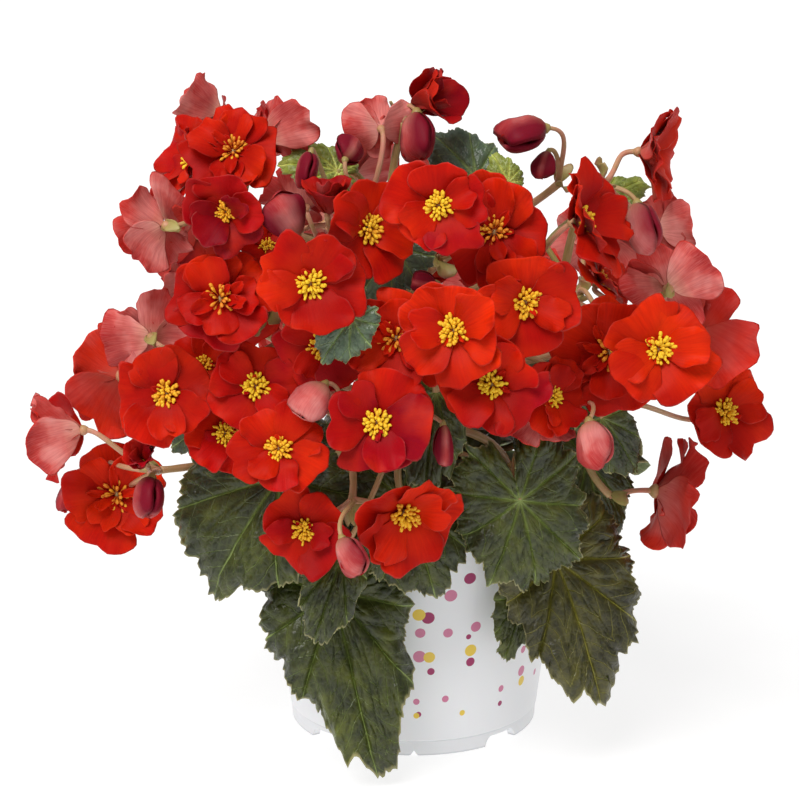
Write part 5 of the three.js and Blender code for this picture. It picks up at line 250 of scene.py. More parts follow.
        ped=[dict(c=[[-56.0, -97.5, 185.0], [-63.1, -92.5, 184.2], [-84.3, -80.2, 159.8], [-82.1, -96.3, 166.5]], r0=1.45, r1=1.25), dict(c=[[-56.0, -97.5, 185.0], [-61.4, -111.9, 173.9], [-60.1, -114.0, 165.7], [-57.7, -122.2, 167.2]], r0=1.45, r1=1.25)]),
    'flowers_middle_left': dict(items=['AE', 'AG', 'bAJ'], peduncle=dict(c=[[3.2, -40.5, 157.8], [-1.1, -57.3, 170.7], [-19.9, -96.7, 167.7], [-23.6, -108.1, 164.6]], r0=2.2, r1=1.8), 
        ped=[dict(c=[[-23.6, -108.1, 164.6], [-36.1, -99.8, 185.2], [-72.1, -75.7, 184.1], [-67.9, -105.0, 190.1]], r0=1.45, r1=1.25), dict(c=[[-23.6, -108.1, 164.6], [-35.7, -113.9, 179.7], [-39.2, -91.0, 201.6], [-39.6, -107.4, 208.6]], r0=1.45, r1=1.25), dict(c=[[-23.6, -108.1, 164.6], [-27.7, -116.8, 171.3], [-29.8, -120.1, 199.2], [-38.0, -122.9, 196.2]], r0=1.45, r1=1.00)]),
    'flowers_middle': dict(items=['AH', 'AI', 'b4', 'm14'], peduncle=dict(c=[[-0.7, -52.1, 197.4], [0.0, -57.5, 200.1], [4.9, -74.7, 206.5], [5.0, -83.6, 208.9]], r0=2.2, r1=1.8), 
        ped=[dict(c=[[5.0, -83.6, 208.9], [-1.9, -102.4, 211.5], [-7.4, -105.8, 212.1], [-8.1, -115.5, 214.3]], r0=1.45, r1=1.25), dict(c=[[5.0, -83.6, 208.9], [12.5, -108.0, 211.9], [19.6, -108.2, 215.1], [16.6, -132.1, 221.8]], r0=1.45, r1=1.25), dict(c=[[5.0, -83.6, 208.9], [7.1, -100.3, 221.7], [17.2, -104.0, 232.4], [8.8, -106.2, 235.9]], r0=1.45, r1=1.00), dict(c=[[5.0, -83.6, 208.9], [-1.1, -89.4, 230.9], [7.0, 2.2, 195.0], [4.7, -3.6, 214.7]], r0=1.45, r1=1.25)]),
    'flower_front_middle': dict(items=['AK', 'bAO'], peduncle=dict(c=[[-76.0, -34.8, 159.1], [-54.0, -31.3, 160.9], [-43.7, -79.4, 193.5], [-18.3, -108.9, 185.4]], r0=2.2, r1=1.8), 
        ped=[dict(c=[[-18.3, -108.9, 185.4], [-15.0, -120.2, 184.0], [-16.2, -121.9, 181.1], [-16.1, -131.9, 181.7]], r0=1.45, r1=1.25), dict(c=[[-18.3, -108.9, 185.4], [-4.4, -114.8, 187.3], [9.8, -121.3, 181.2], [11.8, -122.0, 178.3]], r0=1.45, r1=1.00)]),
    'flowers_front_right': dict(items=['AP', 'AR'], peduncle=dict(c=[[61.0, -30.0, 156.5], [64.5, -67.4, 165.7], [37.9, -57.8, 205.7], [35.2, -93.1, 192.2]], r0=2.2, r1=1.8), 
        ped=[dict(c=[[35.2, -93.1, 192.2], [34.0, -108.1, 193.0], [33.2, -119.8, 195.2], [32.2, -127.6, 197.6]], r0=1.45, r1=1.25), dict(c=[[35.2, -93.1, 192.2], [33.6, -91.7, 192.1], [45.2, -97.5, 191.0], [52.6, -98.3, 178.7]], r0=1.45, r1=1.25)]),
    'flower_and_bud_right_lower': dict(items=['AQ', 'bAS', 'm1'], peduncle=dict(c=[[51.8, -22.7, 133.2], [50.7, -26.2, 138.1], [45.0, -29.7, 154.6], [47.7, -56.9, 166.1]], r0=2.2, r1=1.8), 
        ped=[dict(c=[[47.7, -56.9, 166.1], [49.7, -75.5, 175.7], [45.0, -76.1, 176.1], [57.3, -99.5, 183.6]], r0=1.45, r1=1.25), dict(c=[[47.7, -56.9, 166.1], [64.8, -83.1, 170.7], [83.3, -91.5, 187.3], [74.5, -107.9, 175.4]], r0=1.45, r1=1.00), dict(c=[[47.7, -56.9, 166.1], [40.8, -58.5, 180.6], [34.7, -8.3, 194.5], [39.5, -15.7, 209.5]], r0=1.45, r1=1.25)]),
    'flowers_back_left': dict(items=['k0', 'k2', 'm3', 'm8'], peduncle=dict(c=[[-32.5, -2.2, 157.9], [-43.9, 22.9, 169.5], [-57.0, 35.1, 165.4], [-72.8, 52.2, 171.6]], r0=2.2, r1=1.8), 
        ped=[dict(c=[[-72.8, 52.2, 171.6], [-90.4, 50.5, 192.2], [-89.9, 33.6, 193.9], [-104.4, 37.5, 197.4]], r0=1.45, r1=1.25), dict(c=[[-72.8, 52.2, 171.6], [-88.6, 72.3, 169.2], [-90.3, 77.6, 166.1], [-105.9, 90.9, 165.0]], r0=1.45, r1=1.25), dict(c=[[-72.2, 52.8, 171.0], [-67.0, 56.7, 178.7], [-58.7, 66.1, 179.6], [-63.1, 70.1, 186.3]], r0=1.45, r1=1.25), dict(c=[[-72.6, 51.9, 171.7], [-80.1, 58.1, 175.7], [-61.3, 14.3, 180.0], [-68.8, 17.2, 194.9]], r0=1.45, r1=1.25)]),
    'flowers_back_upper_left': dict(items=['k1', 'k3', 'm5', 'm7'], peduncle=dict(c=[[7.0, 66.4, 199.2], [-17.3, 63.9, 209.8], [-37.0, 66.0, 199.3], [-54.3, 69.0, 213.9]], r0=2.2, r1=1.8), 
        ped=[dict(c=[[-54.3, 69.0, 213.9], [-64.8, 70.5, 219.7], [-79.7, 68.3, 226.8], [-106.3, 82.2, 239.8]], r0=1.45, r1=1.25), dict(c=[[-54.3, 69.0, 213.9], [-51.5, 75.8, 234.6], [-28.1, 77.4, 226.5], [-29.6, 88.8, 237.4]], r0=1.45, r1=1.25), dict(c=[[-54.4, 68.9, 214.2], [-57.6, 76.8, 224.8], [12.8, 18.1, 223.6], [13.2, 22.4, 245.0]], r0=1.45, r1=1.25), dict(c=[[-54.4, 68.7, 213.3], [-52.0, 65.0, 221.2], [-6.1, 48.2, 198.2], [-10.1, 53.3, 211.2]], r0=1.45, r1=1.25)]),
    'flowers_back_middle_left': dict(items=['k4', 'k5', 'm10', 'm12'], peduncle=dict(c=[[3.3, 60.3, 156.8], [-7.9, 73.4, 163.2], [-16.5, 75.8, 166.4], [-29.1, 95.4, 169.6]], r0=2.2, r1=1.8), 
        ped=[dict(c=[[-29.1, 95.4, 169.6], [-35.3, 113.1, 185.4], [-34.7, 113.2, 198.8], [-43.4, 131.0, 204.9]], r0=1.45, r1=1.25), dict(c=[[-29.1, 95.4, 169.6], [-39.1, 103.1, 162.7], [-42.4, 98.3, 151.7], [-56.0, 115.9, 148.1]], r0=1.45, r1=1.25), dict(c=[[-29.1, 95.4, 169.6], [-34.7, 103.2, 177.7], [-42.9, 29.5, 216.7], [-50.8, 45.1, 233.0]], r0=1.45, r1=1.25), dict(c=[[-29.1, 95.4, 169.6], [-33.1, 87.3, 189.2], [37.9, 50.5, 171.7], [55.9, 68.4, 193.1]], r0=1.45, r1=1.25)]),
    'flowers_back_top': dict(items=['k6', 'k8', 'kb1', 'm0'], peduncle=dict(c=[[7.4, 66.5, 206.0], [9.8, 61.8, 210.5], [8.6, 51.0, 207.8], [12.7, 50.4, 215.7]], r0=2.2, r1=1.8), 
        ped=[dict(c=[[12.7, 50.4, 215.7], [19.6, 67.4, 219.9], [15.4, 100.4, 223.4], [16.4, 119.4, 228.1]], r0=1.45, r1=1.25), dict(c=[[12.7, 50.4, 215.7], [22.6, 55.8, 223.8], [26.0, 58.8, 220.8], [32.1, 64.7, 225.5]], r0=1.45, r1=1.25), dict(c=[[12.7, 50.4, 215.7], [15.1, 54.8, 232.4], [20.1, 63.6, 265.4], [24.8, 76.0, 253.0]], r0=1.45, r1=1.00), dict(c=[[12.7, 50.4, 215.7], [21.3, 42.2, 232.0], [-19.7, 11.9, 208.7], [-28.8, 9.9, 223.1]], r0=1.45, r1=1.25)]),
    'flowers_back_low_right': dict(items=['k7', 'k10', 'kb0', 'm9'], peduncle=dict(c=[[2.5, 57.8, 148.7], [15.3, 66.7, 156.7], [30.9, 77.7, 157.8], [43.0, 87.2, 159.2]], r0=2.2, r1=1.8), 
        ped=[dict(c=[[43.0, 87.2, 159.2], [49.2, 107.3, 166.0], [30.6, 117.1, 168.7], [33.0, 131.5, 171.9]], r0=1.45, r1=1.25), dict(c=[[43.0, 87.2, 159.2], [66.6, 90.9, 156.0], [81.7, 80.0, 152.5], [98.2, 90.3, 150.1]], r0=1.45, r1=1.25), dict(c=[[43.0, 87.2, 159.2], [48.1, 96.6, 150.2], [48.1, 99.2, 146.9], [50.8, 104.4, 140.0]], r0=1.45, r1=1.00), dict(c=[[43.0, 87.2, 159.2], [46.9, 91.0, 181.0], [40.3, 25.1, 184.1], [54.9, 25.1, 200.9]], r0=1.45, r1=1.25)]),
    'flowers_back_right': dict(items=['k9', 'k11', 'k12', 'm4'], peduncle=dict(c=[[5.0, 64.1, 174.0], [28.4, 54.9, 184.6], [37.8, 37.5, 176.9], [76.0, 44.0, 188.5]], r0=2.2, r1=1.8), 
        ped=[dict(c=[[76.0, 44.0, 188.5], [87.5, 68.2, 197.2], [76.7, 80.8, 198.5], [86.5, 100.7, 202.2]], r0=1.45, r1=1.25), dict(c=[[76.0, 44.0, 188.5], [85.2, 43.0, 205.3], [77.4, 37.1, 214.7], [85.0, 44.4, 221.0]], r0=1.45, r1=1.25), dict(c=[[76.0, 44.0, 188.5], [89.9, 44.0, 182.9], [101.7, 33.9, 168.0], [133.3, 38.7, 171.6]], r0=1.45, r1=1.25), dict(c=[[76.0, 44.0, 188.5], [81.4, 45.6, 208.0], [84.7, 2.6, 179.4], [95.2, 4.9, 187.9]], r0=1.45, r1=1.25)]),
}

# ---------------------------------------------------------------- small helpers (all lengths in mm until a mesh is made)
def unit(v):
    v = np.asarray(v, float)
    return v / max(1e-9, np.linalg.norm(v))


def smooth(x, a, b):
    t = np.clip((x - a) / (b - a), 0, 1)
    return t * t * (3 - 2 * t)


def bezier(c, t):
    c = [np.array(p, float) for p in c]
    t = np.asarray(t)[..., None]
    return (1 - t) ** 3 * c[0] + 3 * t * (1 - t) ** 2 * c[1] + 3 * t * t * (1 - t) * c[2] + t ** 3 * c[3]


def rng_of(name):
    return np.random.default_rng(sum((i + 3) * ord(ch) * 131 for i, ch in enumerate(name)) % 2 ** 31)


class Shape:
    """Collects closed pieces of surface, each with a material and four numbers a point."""

    def __init__(self):
        self.v, self.f, self.m, self.a, self.n = [], [], [], [], 0

    def add(self, verts, faces, mat, attr):
        verts = np.asarray(verts, float)
        faces = np.asarray(faces, int)
        attr = np.broadcast_to(np.asarray(attr, float), (len(verts), 4))
        self.v.append(verts)
        self.a.append(attr)
        self.f += (faces + self.n).tolist()
        self.m += [mat] * len(faces)
        self.n += len(verts)

    def build(self, name, mats, slot, nodes, flat=()):
        v, a = np.vstack(self.v), np.vstack(self.a)
        used = sorted(set(self.m))
        me = bpy.data.meshes.new(name)
        faces = [[q for i, q in enumerate(f) if q != f[i - 1]] for f in self.f]
        me.from_pydata((v / 1000.0).tolist(), [], faces)
        for k in used:
            me.materials.append(mats[k])
        at = me.attributes.new("pt", "FLOAT_COLOR", "POINT")
        at.data.foreach_set("color", a.astype(np.float32).ravel())
        me.polygons.foreach_set("material_index", np.array([used.index(k) for k in self.m], np.int32))
        me.polygons.foreach_set("use_smooth", np.array([k not in flat for k in self.m], bool))
        me.update()
        ob = bpy.data.objects.new(name, me)
        bpy.context.scene.collection.objects.link(ob)
        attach(ob, "root")
        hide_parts(*nodes)
        return ob


def tube(points, radii, sides=10, twist=0.0):
    """A closed tube through the points."""
    P = np.asarray(points, float)
    n = len(P)
    T = np.gradient(P, axis=0)
    T /= np.linalg.norm(T, axis=1)[:, None]
    ref = np.array([0.3, -0.9, 0.2]) if abs(T[0, 1]) < 0.8 else np.array([1.0, 0.1, 0.1])
    X = np.zeros_like(P)
    x = unit(ref - (ref @ T[0]) * T[0])
    for i in range(n):
        x = unit(x - (x @ T[i]) * T[i])
        X[i] = x
    Y = np.cross(T, X)
    w = np.linspace(0, 2 * np.pi, sides, endpoint=False)
    r = np.asarray(radii, float)
    ring = np.cos(w)[None, :, None] * X[:, None, :] + np.sin(w)[None, :, None] * Y[:, None, :]
    V = (P[:, None, :] + ring * (r[:, None, None] if r.ndim == 1 else r[..., None])).reshape(-1, 3)
    k = np.arange(sides)
    F = []
    for i in range(n - 1):
        a, b = i * sides + k, i * sides + (k + 1) % sides
        F.append(np.stack([a, b, b + sides, a + sides], 1))
    F = np.vstack(F)
    c0, c1 = len(V), len(V) + 1
    V = np.vstack([V, P[0] - T[0] * 0.2 * r.reshape(n, -1)[0].mean(), P[-1] + T[-1] * 0.3 * r.reshape(n, -1)[-1].mean()])
    e = (n - 1) * sides
    caps = [[c0, c0, int((j + 1) % sides), int(j)] for j in k] + [[c1, c1, int(e + j), int(e + (j + 1) % sides)] for j in k]
    return V, np.vstack([F, np.array(caps)])


def stalk(shape, c, r0, r1, rng, sides=9, rings=16, mat="stalk", tint=0.5, swell=0.25):
    t = np.linspace(0, 1, rings)
    P = bezier(c, t)
    L = np.linalg.norm(np.diff(P, axis=0), axis=1).sum()
    w = np.linspace(0, 2 * np.pi, sides, endpoint=False)
    r = (r0 + (r1 - r0) * t) * 0.9
    r = r * (1 + swell * np.exp(-(t * L / 3.2) ** 2) + swell * 0.6 * np.exp(-((1 - t) * L / 2.6) ** 2))
    r = r[:, None] * (1 + 0.045 * np.sin(3 * w[None, :] + rng.uniform(0, 6) + t[:, None] * 2.0) + 0.03 * np.sin(t[:, None] * L * 0.55 + rng.uniform(0, 6)))
    V, F = tube(P, r, sides)
    a = np.zeros((len(V), 4))
    a[: rings * sides, 0] = np.repeat(t, sides)
    a[: rings * sides, 1] = np.tile(w / (2 * np.pi), rings)
    a[-1, 0] = 1
    a[:, 2] = L / 60.0
    a[:, 3] = tint
    shape.add(V, F, mat, a)


# ---------------------------------------------------------------- petals
G = np.array([-1, -0.975, -0.85, -0.65, -0.43, -0.21, 0, 0.21, 0.43, 0.65, 0.85, 0.975, 1.0])
GB = np.array([-1, -0.96, -0.74, -0.45, -0.15, 0.15, 0.45, 0.74, 0.96, 1.0])
GS = np.array([-1, -0.94, -0.66, -0.33, 0, 0.33, 0.66, 0.94, 1.0])


def shell(mid, thick):
    """Closes a grid of points (a, b, 3) into a thin shell with a shared margin. Gives points, faces, and front/back flags."""
    A, B = mid.shape[:2]
    gu = np.gradient(mid, axis=0)
    gv = np.gradient(mid, axis=1)
    nn = np.cross(gu, gv)
    # the grid's corners are pinched, so each normal takes in those of its neighbours
    pad = np.pad(nn, ((1, 1), (1, 1), (0, 0)), mode="edge")
    nn = sum(pad[i:i + A, j:j + B] for i in range(3) for j in range(3))
    nn /= np.maximum(1e-9, np.linalg.norm(nn, axis=2))[..., None]
    inner = np.zeros((A, B), bool)
    inner[1:-1, 1:-1] = True
    # the shell thins where the grid meets the margin, most of all at the four pinched corners
    w = inner.astype(float)
    rim = np.concatenate([mid[0], mid[-1], mid[:, 0], mid[:, -1]])
    for i in range(1, A - 1):
        for j in (range(1, B - 1) if i in (1, A - 2) else (1, B - 2)):
            w[i, j] = min(1.0, max(0.04, np.sqrt(((rim - mid[i, j]) ** 2).sum(1).min()) / (thick * 0.8)))
    off = nn * (thick / 2 * w)[..., None]
    front = mid + off
    idx = np.arange(A * B).reshape(A, B)
    back = idx.copy()
    back[1:-1, 1:-1] = A * B + np.arange((A - 2) * (B - 2)).reshape(A - 2, B - 2)
    V = np.vstack([front.reshape(-1, 3), (mid - off)[1:-1, 1:-1].reshape(-1, 3)])
    # both sides split along the same diagonal, so that neither comes through the other where a cell is bent
    q = lambda I, o: np.stack([I[:-1, :-1], I[1:, :-1], I[1:, 1:], I[:-1, 1:]], -1).reshape(-1, 4)[:, o]
    F = np.vstack([q(idx, [0, 1, 2, 3]), q(back, [0, 3, 2, 1])])
    flag = np.concatenate([np.where(inner, 0.0, 0.18).ravel(), np.ones((A - 2) * (B - 2))])
    src = np.concatenate([idx.ravel(), idx[1:-1, 1:-1].ravel()])
    return V, F, flag, src


def relax(A, B, X, Y):
    """Draws the pinched corners of the disc grid inwards, so that no cell next to the margin is a sliver."""
    q, e = np.maximum(np.abs(A), np.abs(B)), np.hypot(X, Y)
    most = np.where(q >= 1, 9.0, np.where(q > 0.9, q - 0.02, q + 0.03))
    k = np.minimum(1, most / np.maximum(e, 1e-9))
    return X * k, Y * k


def petal(shape, o, d, n, L, W, a0, a1, rng, mat="petal", x0=0.0, z0=0.0, cup=0.22, ruffle=0.05, notch=0.0, base=0.40, twist=0.0,
          tint=0.5, thick=0.32, grid=None, backness=1.0, lobes=0.036, shift=0.0, fold=0.0):
    g = G if grid is None else grid
    A, B = np.meshgrid(g, g, indexing="ij")
    X = A * np.sqrt(1 - B * B / 2)
    Y = B * np.sqrt(1 - A * A / 2)
    X, Y = relax(A, B, X, Y)
    e = np.hypot(X, Y)
    phi = np.arctan2(Y, X)
    k = 1 + e ** 4 * lobes * (rng.uniform(0.6, 1.4) * np.sin(3 * phi + rng.uniform(0, 6.28)) + rng.uniform(0.3, 0.9) * np.sin(5 * phi + rng.uniform(0, 6.28))
                              + rng.uniform(0.2, 0.8) * np.sin(7 * phi + rng.uniform(0, 6.28)) + rng.uniform(0.05, 0.35) * np.sin(11 * phi + rng.uniform(0, 6.28)))
    X, Y = X * k, Y * k
    s = np.clip((X + 1) / 2, 0, 1.1)
    s = s * (1 - notch * np.exp(-(Y / 0.22) ** 2) * s ** 6)
    y = Y * W * (base + (1.18 - base) * s ** 0.75) + shift * W * s * s
    # the centre line bends from angle a0 to a1 above the flower's plane
    t = np.linspace(0, 1.15, 60)
    ang = np.radians(a0 + (a1 - a0) * np.minimum(t, 1.0) ** 0.8)
    xs = np.concatenate([[0], np.cumsum((np.cos(ang[1:]) + np.cos(ang[:-1])) / 2 * np.diff(t))]) * L
    zs = np.concatenate([[0], np.cumsum((np.sin(ang[1:]) + np.sin(ang[:-1])) / 2 * np.diff(t))]) * L
    cx, cz, ca = np.interp(s, t, xs), np.interp(s, t, zs), np.interp(s, t, ang)
    yy = y / W
    h = cup * W * yy * yy * smooth(s, 0.0, 0.5)
    kk = rng.integers(3, 6)
    h = h + ruffle * L * e ** 2.6 * smooth(s, 0.2, 0.6) * (np.sin(kk * phi + rng.uniform(0, 6.28)) + 0.5 * np.sin((kk + 3) * phi + rng.uniform(0, 6.28)))
    h = h + L * 0.030 * np.sin(s * 5.0 + rng.uniform(0, 6.28)) * np.cos(yy * 2.6 + rng.uniform(0, 6.28)) * smooth(s, 0.05, 0.4)
    h = h + L * 0.016 * np.cos(yy * 11 + rng.uniform(0, 6.28)) * smooth(s, 0.3, 0.8) * np.minimum(1, e * 1.1)
    h = h + L * 0.030 * smooth(e, 0.70, 1.0) * np.sin(rng.integers(6, 10) * phi + rng.uniform(0, 6.28)) * smooth(s, 0.3, 0.7)
    h = h + twist * y * s
    # one soft fold along the blade, and a tip that turns to one side
    c0 = rng.uniform(-0.45, 0.45)
    h = h + fold * L * smooth(s, 0.1, 0.6) * (np.sqrt((yy - c0) ** 2 + 0.02) - 0.45)
    h = h + rng.uniform(-0.10, 0.10) * L * smooth(s, 0.55, 1.05) * yy
    side = np.cross(n, d)
    X3 = (x0 + cx - np.sin(ca) * h)
    Z3 = (z0 + cz + np.cos(ca) * h)
    mid = o + X3[..., None] * d + y[..., None] * side + Z3[..., None] * n
    V, F, flag, src = shell(mid, thick)
    a = np.zeros((len(V), 4))
    a[:, 0] = s.ravel()[src]
    a[:, 1] = (yy / np.maximum(0.35, base + (1.18 - base) * s)).ravel()[src] * 0.5 + 0.5
    a[:, 2] = flag * backness
    a[:, 3] = tint
    shape.add(V, F, mat, a)


def stamens(shape, o, n, u, R, rng, count, spread=52, length=0.21, mat="stamen", tint=0.5):
    """A ring of clubbed stamens that lean outwards, shorter and more upright towards the middle."""
    v = np.cross(n, u)
    for i in range(count):
        q = (i + 0.5) / count
        th = math.radians(spread) * (0.25 + 0.85 * q ** 0.7) + rng.uniform(-0.12, 0.12)
        ph = i * 2.39996 + rng.uniform(-0.25, 0.25)
        out = math.cos(ph) * u + math.sin(ph) * v
        d = unit(math.cos(th) * n + math.sin(th) * out)
        l = R * length * rng.uniform(0.75, 1.1) * (0.72 + 0.28 * q)
        p0 = o + out * R * 0.05 * q
        tip = p0 + d * l
        mid = p0 + d * l * 0.5 + n * l * 0.10
        V, F = tube(np.array([p0, mid, tip]), [0.28, 0.22, 0.28], 3)
        a = np.zeros((len(V), 4)); a[:, 0] = np.concatenate([np.repeat([0, 0.35, 0.6], 3), [0, 0.6]]); a[:, 3] = tint
        shape.add(V, F, mat, a)
        ad = unit(d + out * rng.uniform(0.0, 0.5) + 0.16 * rng.uniform(-1, 1, 3))
        al, ar = R * 0.142 * rng.uniform(0.7, 1.2), R * 0.0285 * rng.uniform(0.8, 1.25)
        k = np.array([0.0, 0.30, 0.68, 0.94])
        pr = np.array([0.45, 0.90, 1.25, 0.80]) * ar
        V, F = tube(tip + (k[:, None] * al - 0.1 * al) * ad, pr, 5)
        a = np.zeros((len(V), 4)); a[:, 0] = np.concatenate([np.repeat([0.64, 0.74, 0.88, 1.0], 5), [0.64, 1.0]]); a[:, 3] = tint + rng.uniform(-0.12, 0.25)
        shape.add(V, F, mat, a)
    # the short greenish column they stand on
    V, F = tube(o + np.array([-0.6, 0.2, 0.9, 1.5])[:, None] * n * R / 21, np.array([1.6, 1.7, 1.3, 0.6]) * R / 21, 8)
    a = np.zeros((len(V), 4)); a[:, 0] = 0.5; a[:, 3] = 0.1
    shape.add(V, F, "stalk", a)


KIND = {  # angles of the outer petals at the base and at the tip, inner petals, small petals, stamens and their spread
    "open": dict(a0=30, a1=0, inner=2, oids=2, st=46, spread=60),
    "double": dict(a0=34, a1=-2, inner=4, oids=8, st=30, spread=66),
    "cup": dict(a0=52, a1=16, inner=2, oids=1, st=38, spread=46),
    "side": dict(a0=44, a1=0, inner=3, oids=3, st=34, spread=44),
    "back": dict(a0=46, a1=-6, inner=2, oids=2, st=18, spread=26),
    "half": dict(a0=72, a1=46, inner=2, oids=1, st=12, spread=16),
}
SHAPE_OF = {  # blooms that are more closed, or more open, than their kind
    "Y": dict(a0=66, a1=30), "AU": dict(a0=58, a1=-12), "A3": dict(a0=58, a1=14), "A2": dict(a0=66, a1=22), "CO": dict(a0=54, a1=8), "R": dict(a0=40, a1=-10), "U": dict(a0=42, a1=-8),
    "N": dict(a0=56, a1=10, spread=34), "M": dict(a0=54, a1=6, spread=36), "AN": dict(a0=40, a1=10), "F": dict(a0=36, a1=0),
}
RED_BACKS = {"U": 0.16, "R": 0.16, "AU": 0.30, "C2": 0.12, "M": 0.35, "N": 0.40, "I": 0.10, "TU": 0.10, "AA": 0.10}        # blooms whose outer petals are red behind, and how much pink is left
CRIMSON = {"AU": 0.20, "R": 0.22, "U": 0.25, "AK": 0.74, "D": 0.86, "B": 0.62, "AM": 0.60, "AD": 0.62, "AP": 0.58, "I": 0.80, "TU": 0.88, "AA": 0.94, "K": 0.45, "G": 0.38, "AN": 0.35, "N": 0.22, "M": 0.28,
           "T": 0.15, "S": 0.12, "AT": 0.15, "Z": 0.18, "W": 0.15, "F": 0.22, "O": 0.28, "E": 0.42, "L": 0.30, "AI": 0.10, "X": 0.25, "A": 0.30, "AQ": 0.30, "AE": 0.55, "AL": 0.35, "AG": 0.5, "AH": 0.40}


def flower(shape, it, rng, key=""):
    n, u, R, kind = unit(it["n"]), np.array(it["u"], float), it["Rv"], it["kind"]
    u = unit(u - (u @ n) * n)
    v = np.cross(n, u)
    K = {**KIND[kind], **SHAPE_OF.get(key, {})}
    o = np.array(it["P"], float)
    grid = GB if key[0] in "km" else G
    tint = CRIMSON.get(key, rng.uniform(0.15, 0.7))
    x0 = R * 0.05
    dirn = lambda a: math.cos(a) * u + math.sin(a) * v
    mean = np.mean(np.cos(np.radians(np.linspace(K["a0"], K["a1"], 20))))
    big = rng.uniform(0, 2 * math.pi)
    outer = 4 if kind in ("half", "back") else int(rng.choice([4, 5, 5, 5]))
    red_back = key in RED_BACKS
    for i in range(outer):
        a = big + i * 2 * math.pi / outer + rng.uniform(-0.18, 0.18)
        wide = {4: (0.76, 0.60), 5: (0.64, 0.53)}[outer][i % 2]
        if kind == "back":
            wide = 0.74 if i % 2 == 0 else 0.46
        if kind == "half":
            wide = 0.95 if i % 2 == 0 else 0.80
        d = dirn(a)
        hang = -d[2] * (1 - abs(n[2]))
        L = (R * (rng.uniform(0.84, 1.05) + 0.05 * hang) - x0) / mean
        outermost = i % 2 == 0 if kind == "back" else i < 2 or kind == "half"
        # petals that hang downwards also get a deeper tint: painted shade of the light from above
        petal(shape, o, d, n, L, R * wide * rng.uniform(0.90, 1.12), K["a0"] + rng.uniform(-7, 7) + (5 if i % 2 else -4), K["a1"] + rng.uniform(-18, 14) - 8 * hang, rng,
              x0=x0, z0=0.15 + 0.5 * (i % 2) + 0.15 * (i // 2), cup=rng.uniform(-0.02, 0.18) + (0.25 if kind in ("cup", "half") else 0), ruffle=rng.uniform(0.026, 0.066),
              notch=rng.choice([0, 0.04, 0.08, 0.13]), twist=rng.uniform(-0.16, 0.16), tint=float(np.clip(tint + rng.uniform(-0.16, 0.20) + 0.16 * hang, 0.0, 1.0)), base=0.48, shift=rng.uniform(-0.22, 0.22),
              backness=(RED_BACKS[key] if red_back else (1.0 if outermost else 0.7)), fold=rng.choice([0.0, 0.10, 0.16, -0.12]) * (0.5 if kind == "half" else 1.5 if kind == "back" else 1), lobes=rng.uniform(0.035, 0.075), grid=grid)
    off = big + math.pi / outer
    for i in range(K["inner"]):
        a = off + i * 2 * math.pi / K["inner"] + rng.uniform(-0.5, 0.5)
        f = rng.uniform(0.72, 0.98)
        petal(shape, o, dirn(a), n, R * f / mean, R * f * rng.uniform(0.42, 0.56), K["a0"] + 8 + rng.uniform(-6, 10), K["a1"] + 6 + rng.uniform(-20, 16), rng,
              x0=x0 * 0.6, z0=0.9 + 0.3 * i, cup=rng.uniform(0.0, 0.25), ruffle=rng.uniform(0.03, 0.065), notch=rng.choice([0, 0.06, 0.14]), twist=rng.uniform(-0.3, 0.3),
              tint=float(np.clip(tint + rng.uniform(-0.2, 0.2), 0, 1)), base=0.34, backness=0.45, fold=rng.choice([0.12, 0.2, -0.15]), lobes=rng.uniform(0.03, 0.065), grid=grid)
    for i in range(K["oids"]):
        a = rng.uniform(0, 2 * math.pi)
        f = rng.uniform(0.30, 0.60) if kind == "double" else rng.uniform(0.22, 0.34)
        petal(shape, o, dirn(a), n, R * f * 1.15, R * f * rng.uniform(0.16, 0.30), 52 + rng.uniform(-14, 14), 16 + rng.uniform(-26, 30), rng,
              x0=x0 * 0.5, z0=1.2, cup=rng.uniform(0.3, 0.7), ruffle=0.07, twist=rng.uniform(-0.5, 0.5), tint=tint + rng.uniform(-0.1, 0.1), base=0.35, backness=0.4, thick=0.3, grid=GS)
    stamens(shape, o + n * R * 0.05, n, u, R, rng, int(K["st"] * (0.8 if key[0] in "km" else 1.1)), K["spread"] * rng.uniform(0.85, 1.0), 0.188 if kind != "double" else 0.25, tint=rng.uniform(0.05, 0.5) if kind != "double" else 0.75)
    # the fleshy receptacle behind the petals
    t = np.array([-2.6, -1.9, -0.9, 0.2, 1.2])
    V, F = tube(o + t[:, None] * n, np.array([1.2, 1.7, 2.3, 2.5, 1.4]) * (R / 21), 12)
    a = np.zeros((len(V), 4)); a[:, 0] = 0.9; a[:, 3] = 0.55
    shape.add(V, F, "stalk", a)
    if kind == "back" and key in ("V", "C", "Q", "k3", "k7"):      # a winged ovary behind a seed-bearing flower
        for w in range(3):
            d = dirn(w * 2.094 + 0.4)
            petal(shape, o - n * 9.5, n, d, 11.0, 3.4, 24, -14, rng, mat="bract", x0=0.4, cup=0.1, ruffle=0.03, base=0.5, tint=0.3, thick=0.6, grid=GS)


BUD_TINT = {"bH": 0.66, "bJ": 0.74, "bJ2": 0.97, "b2": 0.90, "b3": 0.88, "bP": 0.52, "bAS": 0.30, "bAJ": 0.28, "bAN": 0.42, "bAB": 0.72, "bAC": 0.66, "b1": 0.62, "b4": 0.9}
BUD_TURN = {"bJ": 62, "bH": 58, "bAS": 48, "bP": 66, "bAB": 70, "bAC": 40, "b2": 75, "b3": 30, "bAN": 52, "bJ2": 20, "kb0": 40}


